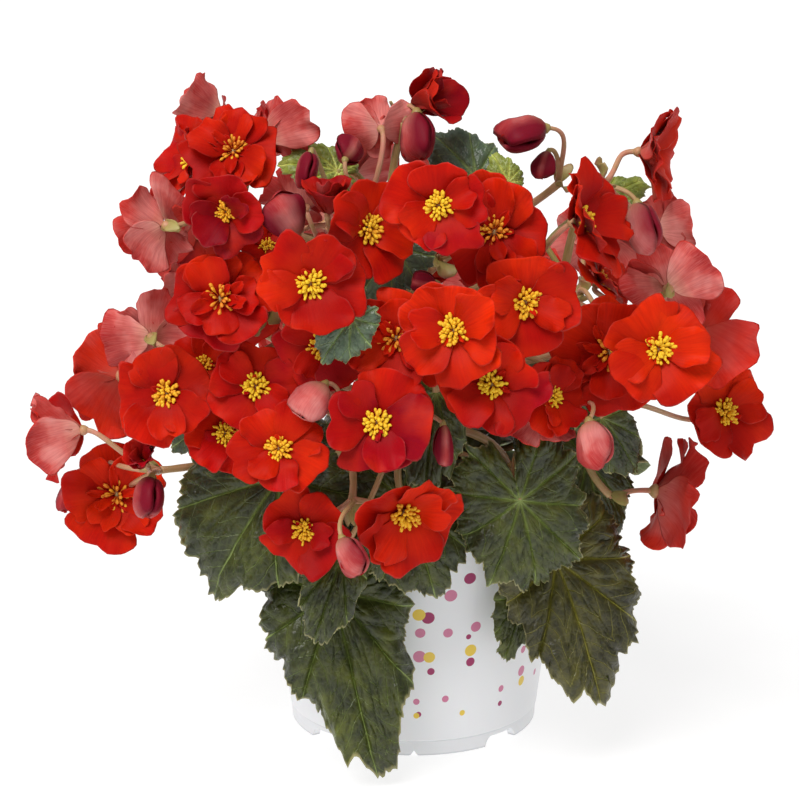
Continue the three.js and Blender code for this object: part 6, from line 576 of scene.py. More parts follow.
def bud(shape, it, rng, key=""):
    """Two broad clasping tepals that part a little at the tip, with darker petals folded between them."""
    n, u, R, L = unit(it["n"]), np.array(it["u"], float), it["Rv"], it["L"] * 1.04
    u = unit(u - (u @ n) * n)
    v = np.cross(n, u)
    t0 = math.radians(BUD_TURN.get(key, rng.uniform(-20, 20)))
    u, v = math.cos(t0) * u + math.sin(t0) * v, -math.sin(t0) * u + math.cos(t0) * v
    o = np.array(it["P"], float)
    young = R < 6.5
    tint = BUD_TINT.get(key, rng.uniform(0.6, 0.95) if young else rng.uniform(0.30, 0.75))
    for sgn in (1, -1):
        A, B = np.meshgrid(G, G, indexing="ij")
        X = A * np.sqrt(1 - B * B / 2)
        Y = B * np.sqrt(1 - A * A / 2)
        X, Y = relax(A, B, X, Y)
        e = np.hypot(X, Y)
        phi = np.arctan2(Y, X)
        s = (X + 1) / 2
        out = 1 + e ** 3 * (0.035 * np.sin(3 * phi + rng.uniform(0, 6)) + 0.025 * np.sin(5 * phi + rng.uniform(0, 6)) + 0.012 * np.sin(9 * phi + rng.uniform(0, 6)))
        y = Y * R * out * (0.74 + 0.44 * s) * (1.04 if sgn > 0 else 0.98)
        x = L * (0.02 + 0.96 * np.clip(s * out, 0, 1.03)) * (1.0 if sgn > 0 else rng.uniform(0.90, 0.97))
        open_ = (0.0 if young else rng.uniform(0.0, 0.07))
        h = R * 0.68 * np.sqrt(np.clip(1 - e ** 2.4, 0, 1)) * (0.9 + 0.1 * np.cos(2 * phi)) + 0.30 + open_ * R * s ** 2
        h = h + R * 0.06 * e ** 5 * np.sin(4 * phi + rng.uniform(0, 6)) + R * 0.035 * np.exp(-((Y - rng.uniform(-0.3, 0.3)) / 0.16) ** 2) * (1 - e ** 2) * s
        h = h + R * 0.020 * np.cos(Y * 9 + rng.uniform(0, 6)) * (1 - e ** 2)
        mid = o + x[..., None] * n + (y + sgn * 0.05 * R)[..., None] * u + (sgn * h)[..., None] * v
        if sgn < 0:
            mid = mid[:, ::-1]
        V, F, flag, src = shell(mid, 0.5)
        ss, yy = s.ravel(), (Y if sgn > 0 else Y[:, ::-1]).ravel()
        a = np.zeros((len(V), 4)); a[:, 0] = ss[src]; a[:, 1] = yy[src] * 0.5 + 0.5; a[:, 2] = 1 - flag; a[:, 3] = tint + rng.uniform(-0.05, 0.05)
        a[:, 2] = np.where(a[:, 2] > 0.4, 1.0, 0.25)
        shape.add(V, F, "bud", a)
    for k in range(1 if young else 3):
        side = [u, -u, unit(u * 0.3 + v)][k]
        petal(shape, o + n * L * 0.06, n, unit(side - (side @ n) * n), L * rng.uniform(0.84, 0.93), R * rng.uniform(0.40, 0.55), rng.uniform(4, 12), rng.uniform(-12, 0), rng, x0=0, z0=-0.2,
              cup=0.35, ruffle=0.07, tint=0.97, base=0.4, backness=0.5, grid=GS, fold=0.1)
    V, F = tube(o + np.array([-1.8, -1.0, 0.2, 1.4, 2.6])[:, None] * n, np.array([1.1, 1.5, 2.1, 2.0, 0.8]) * max(0.7, R / 9), 10)
    a = np.zeros((len(V), 4)); a[:, 0] = 0.6; a[:, 3] = 0.25
    shape.add(V, F, "stalk", a)


def bract(shape, o, d, n, L, W, rng, tint=0.4):
    petal(shape, o, unit(d), unit(n), L, W, 40, -24, rng, mat="bract", cup=0.75, ruffle=0.05, base=0.55, tint=tint, thick=0.4, grid=GS, lobes=0.03, backness=1.0)


# ---------------------------------------------------------------- leaves
def ragged(th, rng, w0, w1):
    """Irregular skewed teeth round a margin: random widths and heights. Returns one number an angle, 0 to 1."""
    e = [-180.0]
    while e[-1] < 180:
        e.append(e[-1] + rng.uniform(w0, w1))
    e = np.array(e)
    e = -180 + (e + 180) * 360 / (e[-1] + 180)
    amp = rng.uniform(0.25, 1.0, len(e))
    lean = rng.uniform(0.45, 0.8, len(e))
    k = np.clip(np.searchsorted(e, th, side="right") - 1, 0, len(e) - 2)
    p = (th - e[k]) / (e[k + 1] - e[k])
    return amp[k] * np.where(p < lean[k], p / lean[k], (1 - p) / (1 - lean[k])) ** 1.2


OUT = {
    "ov": [(-180, .13), (-168, .36), (-150, .47), (-125, .53), (-100, .58), (-78, .63), (-55, .70), (-36, .79), (-20, .88), (-8, .955), (0, 1.0), (8, .955), (20, .88), (36, .79), (55, .70), (78, .63), (100, .58), (125, .53), (150, .47), (168, .36), (180, .13)],
    "palm": [(-180, .16), (-165, .66), (-145, .78), (-125, .80), (-100, .80), (-78, .82), (-55, .84), (-36, .86), (-20, .90), (-8, .96), (0, 1.0), (8, .96), (20, .90), (36, .86), (55, .84), (78, .82), (100, .80), (125, .80), (145, .78), (165, .66), (180, .16)],
}
SECTOR = 36.0


def leaf(shape, l, rng, name):
    P0, P3, nh = (np.array(l[k], float) for k in ("P0", "P3", "nh"))
    c = P3 - P0
    L = np.linalg.norm(c)
    T = c / L
    N = unit(nh - (nh @ T) * T)
    S = np.cross(N, T)
    per = 35 if name in BIG else 21
    th = np.linspace(-180, 180, int(360 / SECTOR) * per, endpoint=False)
    rings = np.array([0.05, 0.12, 0.2, 0.29, 0.38, 0.47, 0.56, 0.65, 0.735, 0.81, 0.875, 0.93, 0.97, 0.99, 1.0])
    o = OUT[l["kind"]]
    R0 = np.interp(th, [p[0] for p in o], [p[1] for p in o])
    if name in ("leaf_front_hanging", "leaf_right_hanging"):
        R0 = R0 * (1 - 0.13 * smooth(np.abs(th), 8, 40) * (1 - smooth(np.abs(th), 70, 130)))
    # each sector ends in a pointed lobe with smaller teeth beside it
    q = th / SECTOR
    near = np.abs(q - np.round(q)) * 2
    lobe = np.clip(1 - near, 0, 1) ** 1.5
    small, mid_t, large = ragged(th, rng, 2.2, 5.0), ragged(th, rng, 6.0, 13.0), ragged(th, rng, 17.0, 30.0)
    tooth = 0.044 * (small - 0.3) + 0.068 * (mid_t - 0.4) + 0.150 * (large ** 0.6 - 0.5) + 0.045 * (lobe - 0.35) + 0.035 * np.sin(q * 2.9 + rng.uniform(0, 6))
    Rr, TH = np.meshgrid(rings, th, indexing="ij")
    grow = smooth(Rr, 0.60, 1.0)
    rad = Rr * R0[None, :] * (1 + tooth[None, :] * grow * (1.0 if l["kind"] == "ov" else 1.25))
    tr = np.radians(TH)
    pu, pv = rad * np.cos(tr), rad * np.sin(tr)
    u, v = pu, pv * l["w"] * (1 + l["asym"] * np.sign(np.sin(tr)))
    h = np.where(u > 0, l["arch"] * 4 * u * (1 - u), l["arch"] * 2.4 * u) - l["k"] * v * v + l["fold"] * np.abs(v)
    # fields of the vein pattern: along and beside the nearest main vein
    qq = TH / SECTOR
    dl = np.radians((qq - np.round(qq)) * SECTOR)
    along, beside = rad * np.cos(dl), rad * np.abs(np.sin(dl))
    sp = 0.125
    wob = 0.012 * np.sin(along * 21 + np.round(qq) * 2.1) + 0.010 * np.sin(beside * 30 + np.round(qq))
    f = ((along - beside * 0.95 + wob) / sp) % 1.0
    sec = np.abs(f - 0.5) * 2                       # 1 on a side vein, 0 half way
    lift = 0.017 * (1 - np.exp(-beside / 0.024)) + 0.040 * (1 - sec ** 2) * (1 - np.exp(-beside / 0.03))
    lift = lift * np.clip(rad / 0.15, 0, 1) * (1 - 0.6 * smooth(Rr, 0.85, 1.0))
    bulge = 0.018 * np.sin(u * 13 + rng.uniform(0, 6)) * np.sin(v * 15 + rng.uniform(0, 6)) * Rr + 0.012 * np.sin(u * 27 + v * 9 + rng.uniform(0, 6)) * Rr
    wave = bulge + 0.036 * Rr ** 3 * np.sin(tr * 4 + rng.uniform(0, 6)) + 0.038 * Rr ** 4 * np.sin(tr * 9 + rng.uniform(0, 6)) + 0.010 * Rr ** 6 * np.sin(tr * 21 + rng.uniform(0, 6))
    edge = smooth(Rr, 0.84, 1.0) * (0.034 * np.sin(tr * 11 + rng.uniform(0, 6)) + 0.022 * np.sin(tr * 19 + rng.uniform(0, 6)) + 0.030 * (small[None, :] - 0.4) - 0.020) - 0.05 * smooth(Rr, 0.75, 1.0) * np.clip(np.sin(tr * 3 + rng.uniform(0, 6)), 0, 1)
    hh = h + lift - 0.012 + (wave + edge) * (0.8 if l["kind"] == "ov" else 1.0)
    mid = P0 + (u * L)[..., None] * T + (hh * L)[..., None] * N + (v * L)[..., None] * S
    nR, nA = mid.shape[:2]
    gu = np.gradient(mid, axis=0)
    gv = np.roll(mid, -1, 1) - np.roll(mid, 1, 1)
    nn = np.cross(gu, gv)
    nn /= np.maximum(1e-9, np.linalg.norm(nn, axis=2))[..., None]
    if (nn.reshape(-1, 3) @ N).mean() < 0:
        nn = -nn
    thick = 0.8
    top = mid + nn * thick / 2
    low = mid - nn * (thick / 2 + (0.8 * np.exp(-(beside * L / 0.9) ** 2) * (1 - Rr))[..., None])
    c_top, c_low = P0 + N * 0.1, P0 - N * (thick + 0.8)
    V = np.vstack([c_top[None], top[:-1].reshape(-1, 3), mid[-1], low[:-1].reshape(-1, 3), c_low[None]])
    nT = (nR - 1) * nA
    it = lambda i, j: 1 + i * nA + j % nA                      # i == nR-1 is the shared margin
    il = lambda i, j: (1 + nT + nA + i * nA + j % nA) if i < nR - 1 else 1 + nT + j % nA
    last = len(V) - 1
    j = np.arange(nA)
    F = [np.stack([0 * j, 0 * j, it(0, j), it(0, j + 1)], 1), np.stack([0 * j + last, 0 * j + last, il(0, j + 1), il(0, j)], 1)]
    for i in range(nR - 1):
        F.append(np.stack([it(i, j), it(i + 1, j), it(i + 1, j + 1), it(i, j + 1)], 1))
        F.append(np.stack([il(i, j), il(i, j + 1), il(i + 1, j + 1), il(i + 1, j)], 1))
    F = np.vstack(F)
    # faces must look outwards: the upper side towards N
    W = V - V.mean(0)
    p, q, r_, s_ = (W[F[:, i]] for i in range(4))
    if (np.einsum("ij,ij->i", p, np.cross(q, r_)) + np.einsum("ij,ij->i", p, np.cross(r_, s_))).sum() < 0:
        F = F[:, ::-1]
    fld = np.stack([(along + wob) * L / 100, beside * L / 100, Rr], -1)
    a = np.zeros((len(V), 4))
    a[1:1 + nT, :3] = fld[:-1].reshape(-1, 3)
    a[1 + nT:1 + nT + nA, :3] = fld[-1]
    a[1 + nT + nA:-1, :3] = fld[:-1].reshape(-1, 3)
    a[1 + nT + nA:-1, 3] = 1.0
    a[1 + nT:1 + nT + nA, 3] = 0.5
    a[-1, 3] = 1.0
    shape.add(V, F, "leaf_" + LEAF_TONE.get(name, "dark"), a)


BIG = {"leaf_front_hanging", "leaf_right_hanging", "leaf_left", "leaf_front_middle", "leaf_front_palmate", "leaf_right_upper", "leaf_left_inner"}
LEAF_TONE = {"leaf_top": "blue", "leaf_top_small": "young", "leaf_top_left": "young", "leaf_top_right": "young", "leaf_right_hanging": "brown",
             "leaf_inner_small": "blue", "leaf_inner_upper": "blue", "leaf_left_small": "blue", "leaf_back_upper": "dark"}

# ---------------------------------------------------------------- materials
def nodes_of(name):
    m = bpy.data.materials.new(name)
    m.use_nodes = True
    t = m.node_tree
    b = t.nodes["Principled BSDF"]
    return m, t, b


def node(t, kind, **k):
    n = t.nodes.new(kind)
    for key, val in k.items():
        setattr(n, key, val)
    return n


def link(t, a, b):
    t.links.new(a, b)


def math_(t, op, a, b=None, clamp=False):
    n = node(t, "ShaderNodeMath", operation=op, use_clamp=clamp)
    for i, x in enumerate((a, b)):
        if x is None:
            continue
        if isinstance(x, (int, float)):
            n.inputs[i].default_value = x
        else:
            link(t, x, n.inputs[i])
    return n.outputs[0]


def ramp(t, fac, stops, interp="LINEAR"):
    n = node(t, "ShaderNodeValToRGB")
    n.color_ramp.interpolation = interp
    e = n.color_ramp.elements
    while len(e) < len(stops):
        e.new(0.5)
    for q, (p, c) in zip(e, stops):
        q.position = p
        q.color = (*c, 1)
    link(t, fac, n.inputs[0])
    return n.outputs[0]


def mix(t, fac, a, b, blend="MIX"):
    n = node(t, "ShaderNodeMix", data_type="RGBA", blend_type=blend)
    for sock, x in ((n.inputs[0], fac), (n.inputs[6], a), (n.inputs[7], b)):
        if isinstance(x, (int, float)):
            sock.default_value = x
        elif isinstance(x, tuple):
            sock.default_value = (*x, 1)
        else:
            link(t, x, sock)
    return n.outputs[2]


def noise(t, vec, scale, detail=3.0, rough=0.5, dims="3D", distortion=0.0):
    n = node(t, "ShaderNodeTexNoise", noise_dimensions=dims)
    n.inputs["Scale"].default_value = scale
    n.inputs["Detail"].default_value = detail
    n.inputs["Roughness"].default_value = rough
    n.inputs["Distortion"].default_value = distortion
    if vec is not None:
        link(t, vec, n.inputs["Vector"])
    return n.outputs["Fac"]


def combine(t, x, y, z):
    n = node(t, "ShaderNodeCombineXYZ")
    for i, q in enumerate((x, y, z)):
        if isinstance(q, (int, float)):
            n.inputs[i].default_value = q
        else:
            link(t, q, n.inputs[i])
    return n.outputs[0]


def bump(t, b, height, strength, dist):
    n = node(t, "ShaderNodeBump")
    n.inputs["Strength"].default_value = strength
    n.inputs["Distance"].default_value = dist
    link(t, height, n.inputs["Height"])
    link(t, n.outputs[0], b.inputs["Normal"])


def point_data(t):
    at = node(t, "ShaderNodeAttribute", attribute_name="pt")
    sp = node(t, "ShaderNodeSeparateColor")
    link(t, at.outputs["Color"], sp.inputs[0])
    return sp.outputs[0], sp.outputs[1], sp.outputs[2], at.outputs["Alpha"]


def petal_material(name, is_bud=False):
    m, t, b = nodes_of(name)
    s, v, back, tint = point_data(t)
    obj = node(t, "ShaderNodeTexCoord").outputs["Object"]
    fan = math_(t, "SUBTRACT", v, 0.5)
    streak_vec = combine(t, math_(t, "MULTIPLY", fan, 26.0), math_(t, "MULTIPLY", s, 1.6), math_(t, "MULTIPLY", tint, 37.0))
    streak = noise(t, streak_vec, 1.0, 4.0, 0.6, distortion=0.25)
    fine_vec = combine(t, math_(t, "MULTIPLY", fan, 90.0), math_(t, "MULTIPLY", s, 5.0), math_(t, "MULTIPLY", tint, 53.0))
    fine = noise(t, fine_vec, 1.0, 2.0, 0.5)
    painted_glow_and_shade_patch = noise(t, obj, 55.0, 3.0, 0.5)
    # the inner face: orange-red to deep crimson
    warm = ramp(t, tint, [(0.0, PET["warm"]), (0.55, PET["red"]), (0.85, PET["deep"]), (1.0, PET["dark"])])
    # painted shade: the face is multiplied darker towards the petal's base, where the petals crowd over one another
    edge = ramp(t, s, [(0.0, (0.28, 0.28, 0.32)), (0.22, (0.62, 0.62, 0.66)), (0.52, (0.88, 0.88, 0.90)), (0.85, (1.0, 1.0, 1.0))])
    face = mix(t, 1.0, warm, edge, "MULTIPLY")
    face = mix(t, ramp(t, streak, [(0.35, (0, 0, 0)), (0.72, (0.42, 0.42, 0.42))]), face, PET["vein"])
    # painted glow: random patches of the face turn orange-red, as if lit through
    face = mix(t, ramp(t, painted_glow_and_shade_patch, [(0.42, (0, 0, 0)), (0.75, (0.45, 0.45, 0.45))]), face, PET["glow"])
    # painted shade: soft random clouds of deep crimson over the face
    painted_shade_cloud = noise(t, obj, 26.0, 2.0, 0.5)
    face = mix(t, ramp(t, painted_shade_cloud, [(0.42, (0, 0, 0)), (0.64, (0.68, 0.68, 0.68))]), face, PET["shade"])
    # the outer face: dusty pink with fine streaks, paler at the stalk
    under = ramp(t, s, [(0.0, PET["b0"]), (0.35, PET["b1"]), (0.75, PET["b2"]), (1.0, PET["b3"])])
    k = 0.30 if is_bud else 0.42
    # painted highlight and painted shade: random patches of the outer face pale towards bl and darken towards bd
    under = mix(t, ramp(t, painted_glow_and_shade_patch, [(0.36, (0.75, 0.75, 0.75)), (0.52, (0, 0, 0))]), under, PET["bl"])
    under = mix(t, ramp(t, painted_glow_and_shade_patch, [(0.50, (0, 0, 0)), (0.70, (0.75, 0.75, 0.75))]), under, PET["bd"])
    under = mix(t, ramp(t, streak, [(0.38, (0, 0, 0)), (0.70, (k, k, k))]), under, PET["bs"])
    under = mix(t, ramp(t, fine, [(0.40, (0, 0, 0)), (0.75, (0.22, 0.22, 0.22))]), under, PET["bl"])
    if is_bud:
        under = mix(t, ramp(t, s, [(0.04, (0.8, 0.8, 0.8)), (0.34, (0, 0, 0))]), under, (0.40, 0.16, 0.075))
        rim = math_(t, "ADD", math_(t, "MULTIPLY", math_(t, "ABSOLUTE", fan), 1.5), 0.30)
        most = math_(t, "MULTIPLY", tint, 1.9)
        under = mix(t, math_(t, "MULTIPLY", rim, most, True), under, PET["maroon"])
    col = mix(t, back, face, under)
    link(t, col, b.inputs["Base Color"])
    link(t, math_(t, "ADD", math_(t, "MULTIPLY", fine, 0.12), 0.42), b.inputs["Roughness"])
    b.inputs["Specular IOR Level"].default_value = 0.07
    b.inputs["Sheen Weight"].default_value = 0.015
    b.inputs["Sheen Roughness"].default_value = 0.45
    b.inputs["Sheen Tint"].default_value = (1.0, 0.45, 0.35, 1)
    b.inputs["Subsurface Weight"].default_value = SSS
    b.inputs["Subsurface Radius"].default_value = (1.0, 0.18, 0.10)
    b.inputs["Subsurface Scale"].default_value = 0.0016
    h = math_(t, "ADD", math_(t, "MULTIPLY", streak, 0.6), math_(t, "MULTIPLY", fine, 0.35))
    bump(t, b, h, 0.45, 0.00035)
    return m


def stamen_material():
    m, t, b = nodes_of("stamen")
    s, v, back, tint = point_data(t)
    obj = node(t, "ShaderNodeTexCoord").outputs["Object"]
    g = noise(t, obj, 2600.0, 2.0, 0.6)
    fil = ramp(t, s, [(0.0, (0.55, 0.05, 0.01)), (0.45, (0.75, 0.16, 0.015)), (0.62, (0.85, 0.35, 0.02))])
    head = ramp(t, tint, [(0.1, (0.90, 0.60, 0.020)), (0.5, (0.88, 0.46, 0.014)), (0.9, (0.78, 0.19, 0.015))])
    head = mix(t, ramp(t, g, [(0.4, (0, 0, 0)), (0.7, (0.5, 0.5, 0.5))]), head, (0.95, 0.70, 0.07))
    col = mix(t, ramp(t, s, [(0.62, (0, 0, 0)), (0.70, (1, 1, 1))]), fil, head)
    link(t, col, b.inputs["Base Color"])
    link(t, math_(t, "ADD", math_(t, "MULTIPLY", g, 0.3), 0.40), b.inputs["Roughness"])
    b.inputs["Specular IOR Level"].default_value = 0.3
    bump(t, b, g, 0.5, 0.0002)
    return m


def stalk_material():
    m, t, b = nodes_of("stalk")
    s, v, ln, tint = point_data(t)
    obj = node(t, "ShaderNodeTexCoord").outputs["Object"]
    g = noise(t, obj, 160.0, 4.0, 0.6)
    f = noise(t, obj, 900.0, 2.0, 0.5)
    lines = noise(t, combine(t, math_(t, "MULTIPLY", v, 18.0), math_(t, "MULTIPLY", s, 3.0), tint), 1.0, 3.0, 0.6)
    col = ramp(t, tint, [(0.0, (0.28, 0.27, 0.055)), (0.3, (0.40, 0.26, 0.085)), (0.55, (0.56, 0.27, 0.15)), (0.8, (0.60, 0.20, 0.15)), (1.0, (0.40, 0.08, 0.06))])
    col = mix(t, ramp(t, g, [(0.38, (0, 0, 0)), (0.68, (0.65, 0.65, 0.65))]), col, (0.30, 0.27, 0.07))
    col = mix(t, ramp(t, lines, [(0.45, (0, 0, 0)), (0.72, (0.55, 0.55, 0.55))]), col, (0.74, 0.48, 0.32))
    link(t, col, b.inputs["Base Color"])
    link(t, math_(t, "ADD", math_(t, "MULTIPLY", f, 0.25), 0.32), b.inputs["Roughness"])
    b.inputs["Specular IOR Level"].default_value = 0.4
    b.inputs["Subsurface Weight"].default_value = 0.08
    b.inputs["Subsurface Radius"].default_value = (1.0, 0.5, 0.25)
    b.inputs["Subsurface Scale"].default_value = 0.001
    bump(t, b, math_(t, "ADD", lines, math_(t, "MULTIPLY", f, 0.4)), 0.4, 0.0003)
    return m


def bract_material():
    m, t, b = nodes_of("bract")
    s, v, back, tint = point_data(t)
    obj = node(t, "ShaderNodeTexCoord").outputs["Object"]
    g = noise(t, obj, 300.0, 4.0, 0.6)
    col = ramp(t, s, [(0.0, (0.36, 0.34, 0.09)), (0.55, (0.38, 0.34, 0.10)), (0.86, (0.33, 0.22, 0.08)), (1.0, (0.22, 0.06, 0.04))])
    lines = noise(t, combine(t, math_(t, "MULTIPLY", v, 22.0), math_(t, "MULTIPLY", s, 2.0), tint), 1.0, 3.0, 0.6)
    col = mix(t, ramp(t, lines, [(0.42, (0, 0, 0)), (0.7, (0.45, 0.45, 0.45))]), col, (0.46, 0.20, 0.12))
    col = mix(t, ramp(t, g, [(0.5, (0, 0, 0)), (0.75, (0.4, 0.4, 0.4))]), col, (0.30, 0.10, 0.06))
    link(t, col, b.inputs["Base Color"])
    b.inputs["Roughness"].default_value = 0.5
    bump(t, b, g, 0.4, 0.0003)
    return m


def leaf_material(name, dark, mid_, vein, low, gloss):
    m, t, b = nodes_of(name)
    along, beside, s, side = point_data(t)
    obj = node(t, "ShaderNodeTexCoord").outputs["Object"]
    mm = 100.0
    A, B = math_(t, "MULTIPLY", along, mm), math_(t, "MULTIPLY", beside, mm)
    n1 = noise(t, obj, 120.0, 3.0, 0.5)
    n2 = noise(t, obj, 700.0, 3.0, 0.6)
    nb = math_(t, "MULTIPLY", math_(t, "SUBTRACT", n1, 0.5), 3.4)
    # main veins: narrow bands along the ribs, tapering to the margin
    width = math_(t, "ADD", math_(t, "MULTIPLY", math_(t, "SUBTRACT", 1.0, s), 0.95), 0.42)
    main = math_(t, "SUBTRACT", 1.0, math_(t, "DIVIDE", B, width), clamp=True)
    halo = math_(t, "SUBTRACT", 1.0, math_(t, "DIVIDE", B, 2.6), clamp=True)
    # side veins: chevrons off the ribs, bent by the noise
    f = math_(t, "DIVIDE", math_(t, "ADD", math_(t, "SUBTRACT", A, math_(t, "MULTIPLY", B, 0.95)), nb), SIDE_MM)
    fr = math_(t, "ABSOLUTE", math_(t, "SUBTRACT", math_(t, "FRACT", f), 0.5))
    dside = math_(t, "MULTIPLY", math_(t, "SUBTRACT", 0.5, fr), SIDE_MM * 0.72)
    dside = math_(t, "SUBTRACT", SIDE_MM * 0.36, math_(t, "MULTIPLY", math_(t, "SUBTRACT", 0.5, fr), SIDE_MM * 0.72))
    side_v = math_(t, "SUBTRACT", 1.0, math_(t, "DIVIDE", dside, 0.30), clamp=True)
    # the net of small veins
    vo = node(t, "ShaderNodeTexVoronoi", feature="DISTANCE_TO_EDGE")
    vo.inputs["Scale"].default_value = 330.0
    link(t, obj, vo.inputs["Vector"])
    net = math_(t, "SUBTRACT", 1.0, math_(t, "DIVIDE", vo.outputs["Distance"], 0.10), clamp=True)
    base = mix(t, ramp(t, n1, [(0.35, (0, 0, 0)), (0.7, (1, 1, 1))]), dark, mid_)
    n0 = noise(t, obj, 38.0, 3.0, 0.55)
    base = mix(t, ramp(t, n0, [(0.42, (0, 0, 0)), (0.66, (0.75, 0.75, 0.75))]), base, tuple(0.40 * q for q in dark))
    quilt = ramp(t, math_(t, "MULTIPLY", math_(t, "SUBTRACT", 0.5, fr), 2.0), [(0.05, (0.84, 0.84, 0.84)), (0.60, (1.10, 1.10, 1.08))])
    base = mix(t, 1.0, base, quilt, "MULTIPLY")
    base = mix(t, math_(t, "MULTIPLY", net, 0.10), base, vein)
    base = mix(t, math_(t, "MULTIPLY", halo, 0.20), base, vein)
    base = mix(t, math_(t, "MULTIPLY", side_v, 0.46), base, vein)
    base = mix(t, math_(t, "MULTIPLY", main, 1.0, True), base, tuple(min(1.0, 1.4 * q) for q in vein))
    margin = ramp(t, s, [(0.968, (0, 0, 0)), (0.999, (0.85, 0.85, 0.85))])
    base = mix(t, margin, base, (0.42, 0.38, 0.17))
    under = mix(t, math_(t, "MAXIMUM", main, math_(t, "MULTIPLY", side_v, 0.7)), low, tuple(min(1.0, 1.5 * q + 0.05) for q in low))
    under = mix(t, math_(t, "MULTIPLY", net, 0.25), under, tuple(0.6 * q for q in low))
    sel = ramp(t, side, [(0.45, (0, 0, 0)), (0.55, (1, 1, 1))])
    link(t, mix(t, sel, base, under), b.inputs["Base Color"])
    link(t, math_(t, "ADD", math_(t, "MULTIPLY", n2, 0.22), gloss), b.inputs["Roughness"])
    b.inputs["Specular IOR Level"].default_value = 0.50
    b.inputs["Subsurface Weight"].default_value = 0.06
    b.inputs["Subsurface Radius"].default_value = (0.4, 1.0, 0.2)
    b.inputs["Subsurface Scale"].default_value = 0.001
    hgt = math_(t, "SUBTRACT", math_(t, "MULTIPLY", vo.outputs["Distance"], 1.1), math_(t, "MULTIPLY", side_v, 0.8))
    hgt = math_(t, "SUBTRACT", hgt, math_(t, "MULTIPLY", main, 0.45))
    hgt = math_(t, "ADD", hgt, math_(t, "MULTIPLY", n2, 0.30))
    bump(t, b, hgt, 0.55, 0.0008)
    return m


def pot_material():
    m, t, b = nodes_of("pot_plastic")
    obj = node(t, "ShaderNodeTexCoord").outputs["Object"]
    sp = node(t, "ShaderNodeSeparateXYZ")
    link(t, obj, sp.inputs[0])
    ang = math_(t, "ARCTAN2", sp.outputs[0], math_(t, "MULTIPLY", sp.outputs[1], -1.0))
    arc = math_(t, "MULTIPLY", ang, 0.065)                      # metres round the wall
    z = sp.outputs[2]
    col = (0.90, 0.905, 0.93)
    out = None
    rad = math_(t, "SQRT", math_(t, "ADD", math_(t, "MULTIPLY", sp.outputs[0], sp.outputs[0]), math_(t, "MULTIPLY", sp.outputs[1], sp.outputs[1])))
    on_wall = math_(t, "GREATER_THAN", rad, math_(t, "ADD", math_(t, "MULTIPLY", z, 0.1235), 0.0570))
    base = None
    # three layers of plain round dots, each colour on its own scatter
    for i, (scale, r, keep, dot, off) in enumerate(((52.0, 0.165, 0.62, (0.36, 0.012, 0.11), 0.0), (66.0, 0.20, 0.60, (0.66, 0.20, 0.34), 3.7), (50.0, 0.145, 0.62, (0.86, 0.60, 0.06), 7.9))):
        vo = node(t, "ShaderNodeTexVoronoi", feature="F1", voronoi_dimensions="2D")
        vo.inputs["Scale"].default_value = scale
        vo.inputs["Randomness"].default_value = 0.75
        link(t, combine(t, math_(t, "ADD", arc, off), math_(t, "ADD", z, off * 0.37), 0.0), vo.inputs["Vector"])
        rnd = node(t, "ShaderNodeSeparateColor")
        link(t, vo.outputs["Color"], rnd.inputs[0])
        size = math_(t, "ADD", math_(t, "MULTIPLY", rnd.outputs[1], r * 0.66), r * 0.34)
        inside = math_(t, "LESS_THAN", vo.outputs["Distance"], size)
        at = node(t, "ShaderNodeSeparateXYZ")
        link(t, vo.outputs["Position"], at.inputs[0])
        zc = math_(t, "SUBTRACT", at.outputs[1], off * 0.37)
        band = math_(t, "MULTIPLY", math_(t, "GREATER_THAN", zc, 0.020), math_(t, "LESS_THAN", zc, 0.094))
        have = math_(t, "LESS_THAN", rnd.outputs[0], keep)
        mask = math_(t, "MULTIPLY", math_(t, "MULTIPLY", inside, have), math_(t, "MULTIPLY", on_wall, band))
        base = mix(t, mask, base if base is not None else col, dot)
        out = mask if out is None else math_(t, "MAXIMUM", out, mask)
    grime = noise(t, obj, 30.0, 4.0, 0.6)
    base = mix(t, ramp(t, grime, [(0.45, (0, 0, 0)), (0.8, (0.04, 0.04, 0.04))]), base, (0.76, 0.75, 0.72))
    # painted shade: the skirt under the ledge is darker, with a painted shadow line just under the ledge and painted
    # contact shade at its lower edge
    painted_skirt_shade = math_(t, "MULTIPLY", math_(t, "SUBTRACT", LEDGE_Z / 1000 + 0.0002, z), 2500.0, clamp=True)
    base = mix(t, math_(t, "MULTIPLY", painted_skirt_shade, 0.30), base, (0.74, 0.76, 0.78))
    # a thin dark line just under the ledge: painted shadow
    painted_ledge_shadow = math_(t, "SUBTRACT", 1.0, math_(t, "DIVIDE", math_(t, "ABSOLUTE", math_(t, "SUBTRACT", z, LEDGE_Z / 1000 - 0.00045)), 0.00055), clamp=True)
    base = mix(t, math_(t, "MULTIPLY", painted_ledge_shadow, 0.46), base, (0.42, 0.44, 0.46))
    # darker within about a millimetre of the floor: painted contact shade
    painted_toe_shade = math_(t, "SUBTRACT", 1.0, math_(t, "DIVIDE", z, 0.0011), clamp=True)
    base = mix(t, math_(t, "MULTIPLY", painted_toe_shade, 0.62), base, (0.40, 0.42, 0.44))
    link(t, base, b.inputs["Base Color"])
    fine = noise(t, obj, 1500.0, 3.0, 0.6)
    link(t, math_(t, "ADD", math_(t, "MULTIPLY", fine, 0.10), 0.28), b.inputs["Roughness"])
    b.inputs["Specular IOR Level"].default_value = 0.45
    b.inputs["Coat Weight"].default_value = 0.10
    b.inputs["Coat Roughness"].default_value = 0.2
    b.inputs["Subsurface Weight"].default_value = 0.05
    b.inputs["Subsurface Scale"].default_value = 0.002
    streaks = noise(t, combine(t, math_(t, "MULTIPLY", arc, 160.0), math_(t, "MULTIPLY", z, 12.0), 0.0), 1.0, 3.0, 0.5)
    bump(t, b, math_(t, "ADD", math_(t, "MULTIPLY", fine, 0.2), math_(t, "MULTIPLY", streaks, 0.6)), 0.10, 0.0004)
    return m


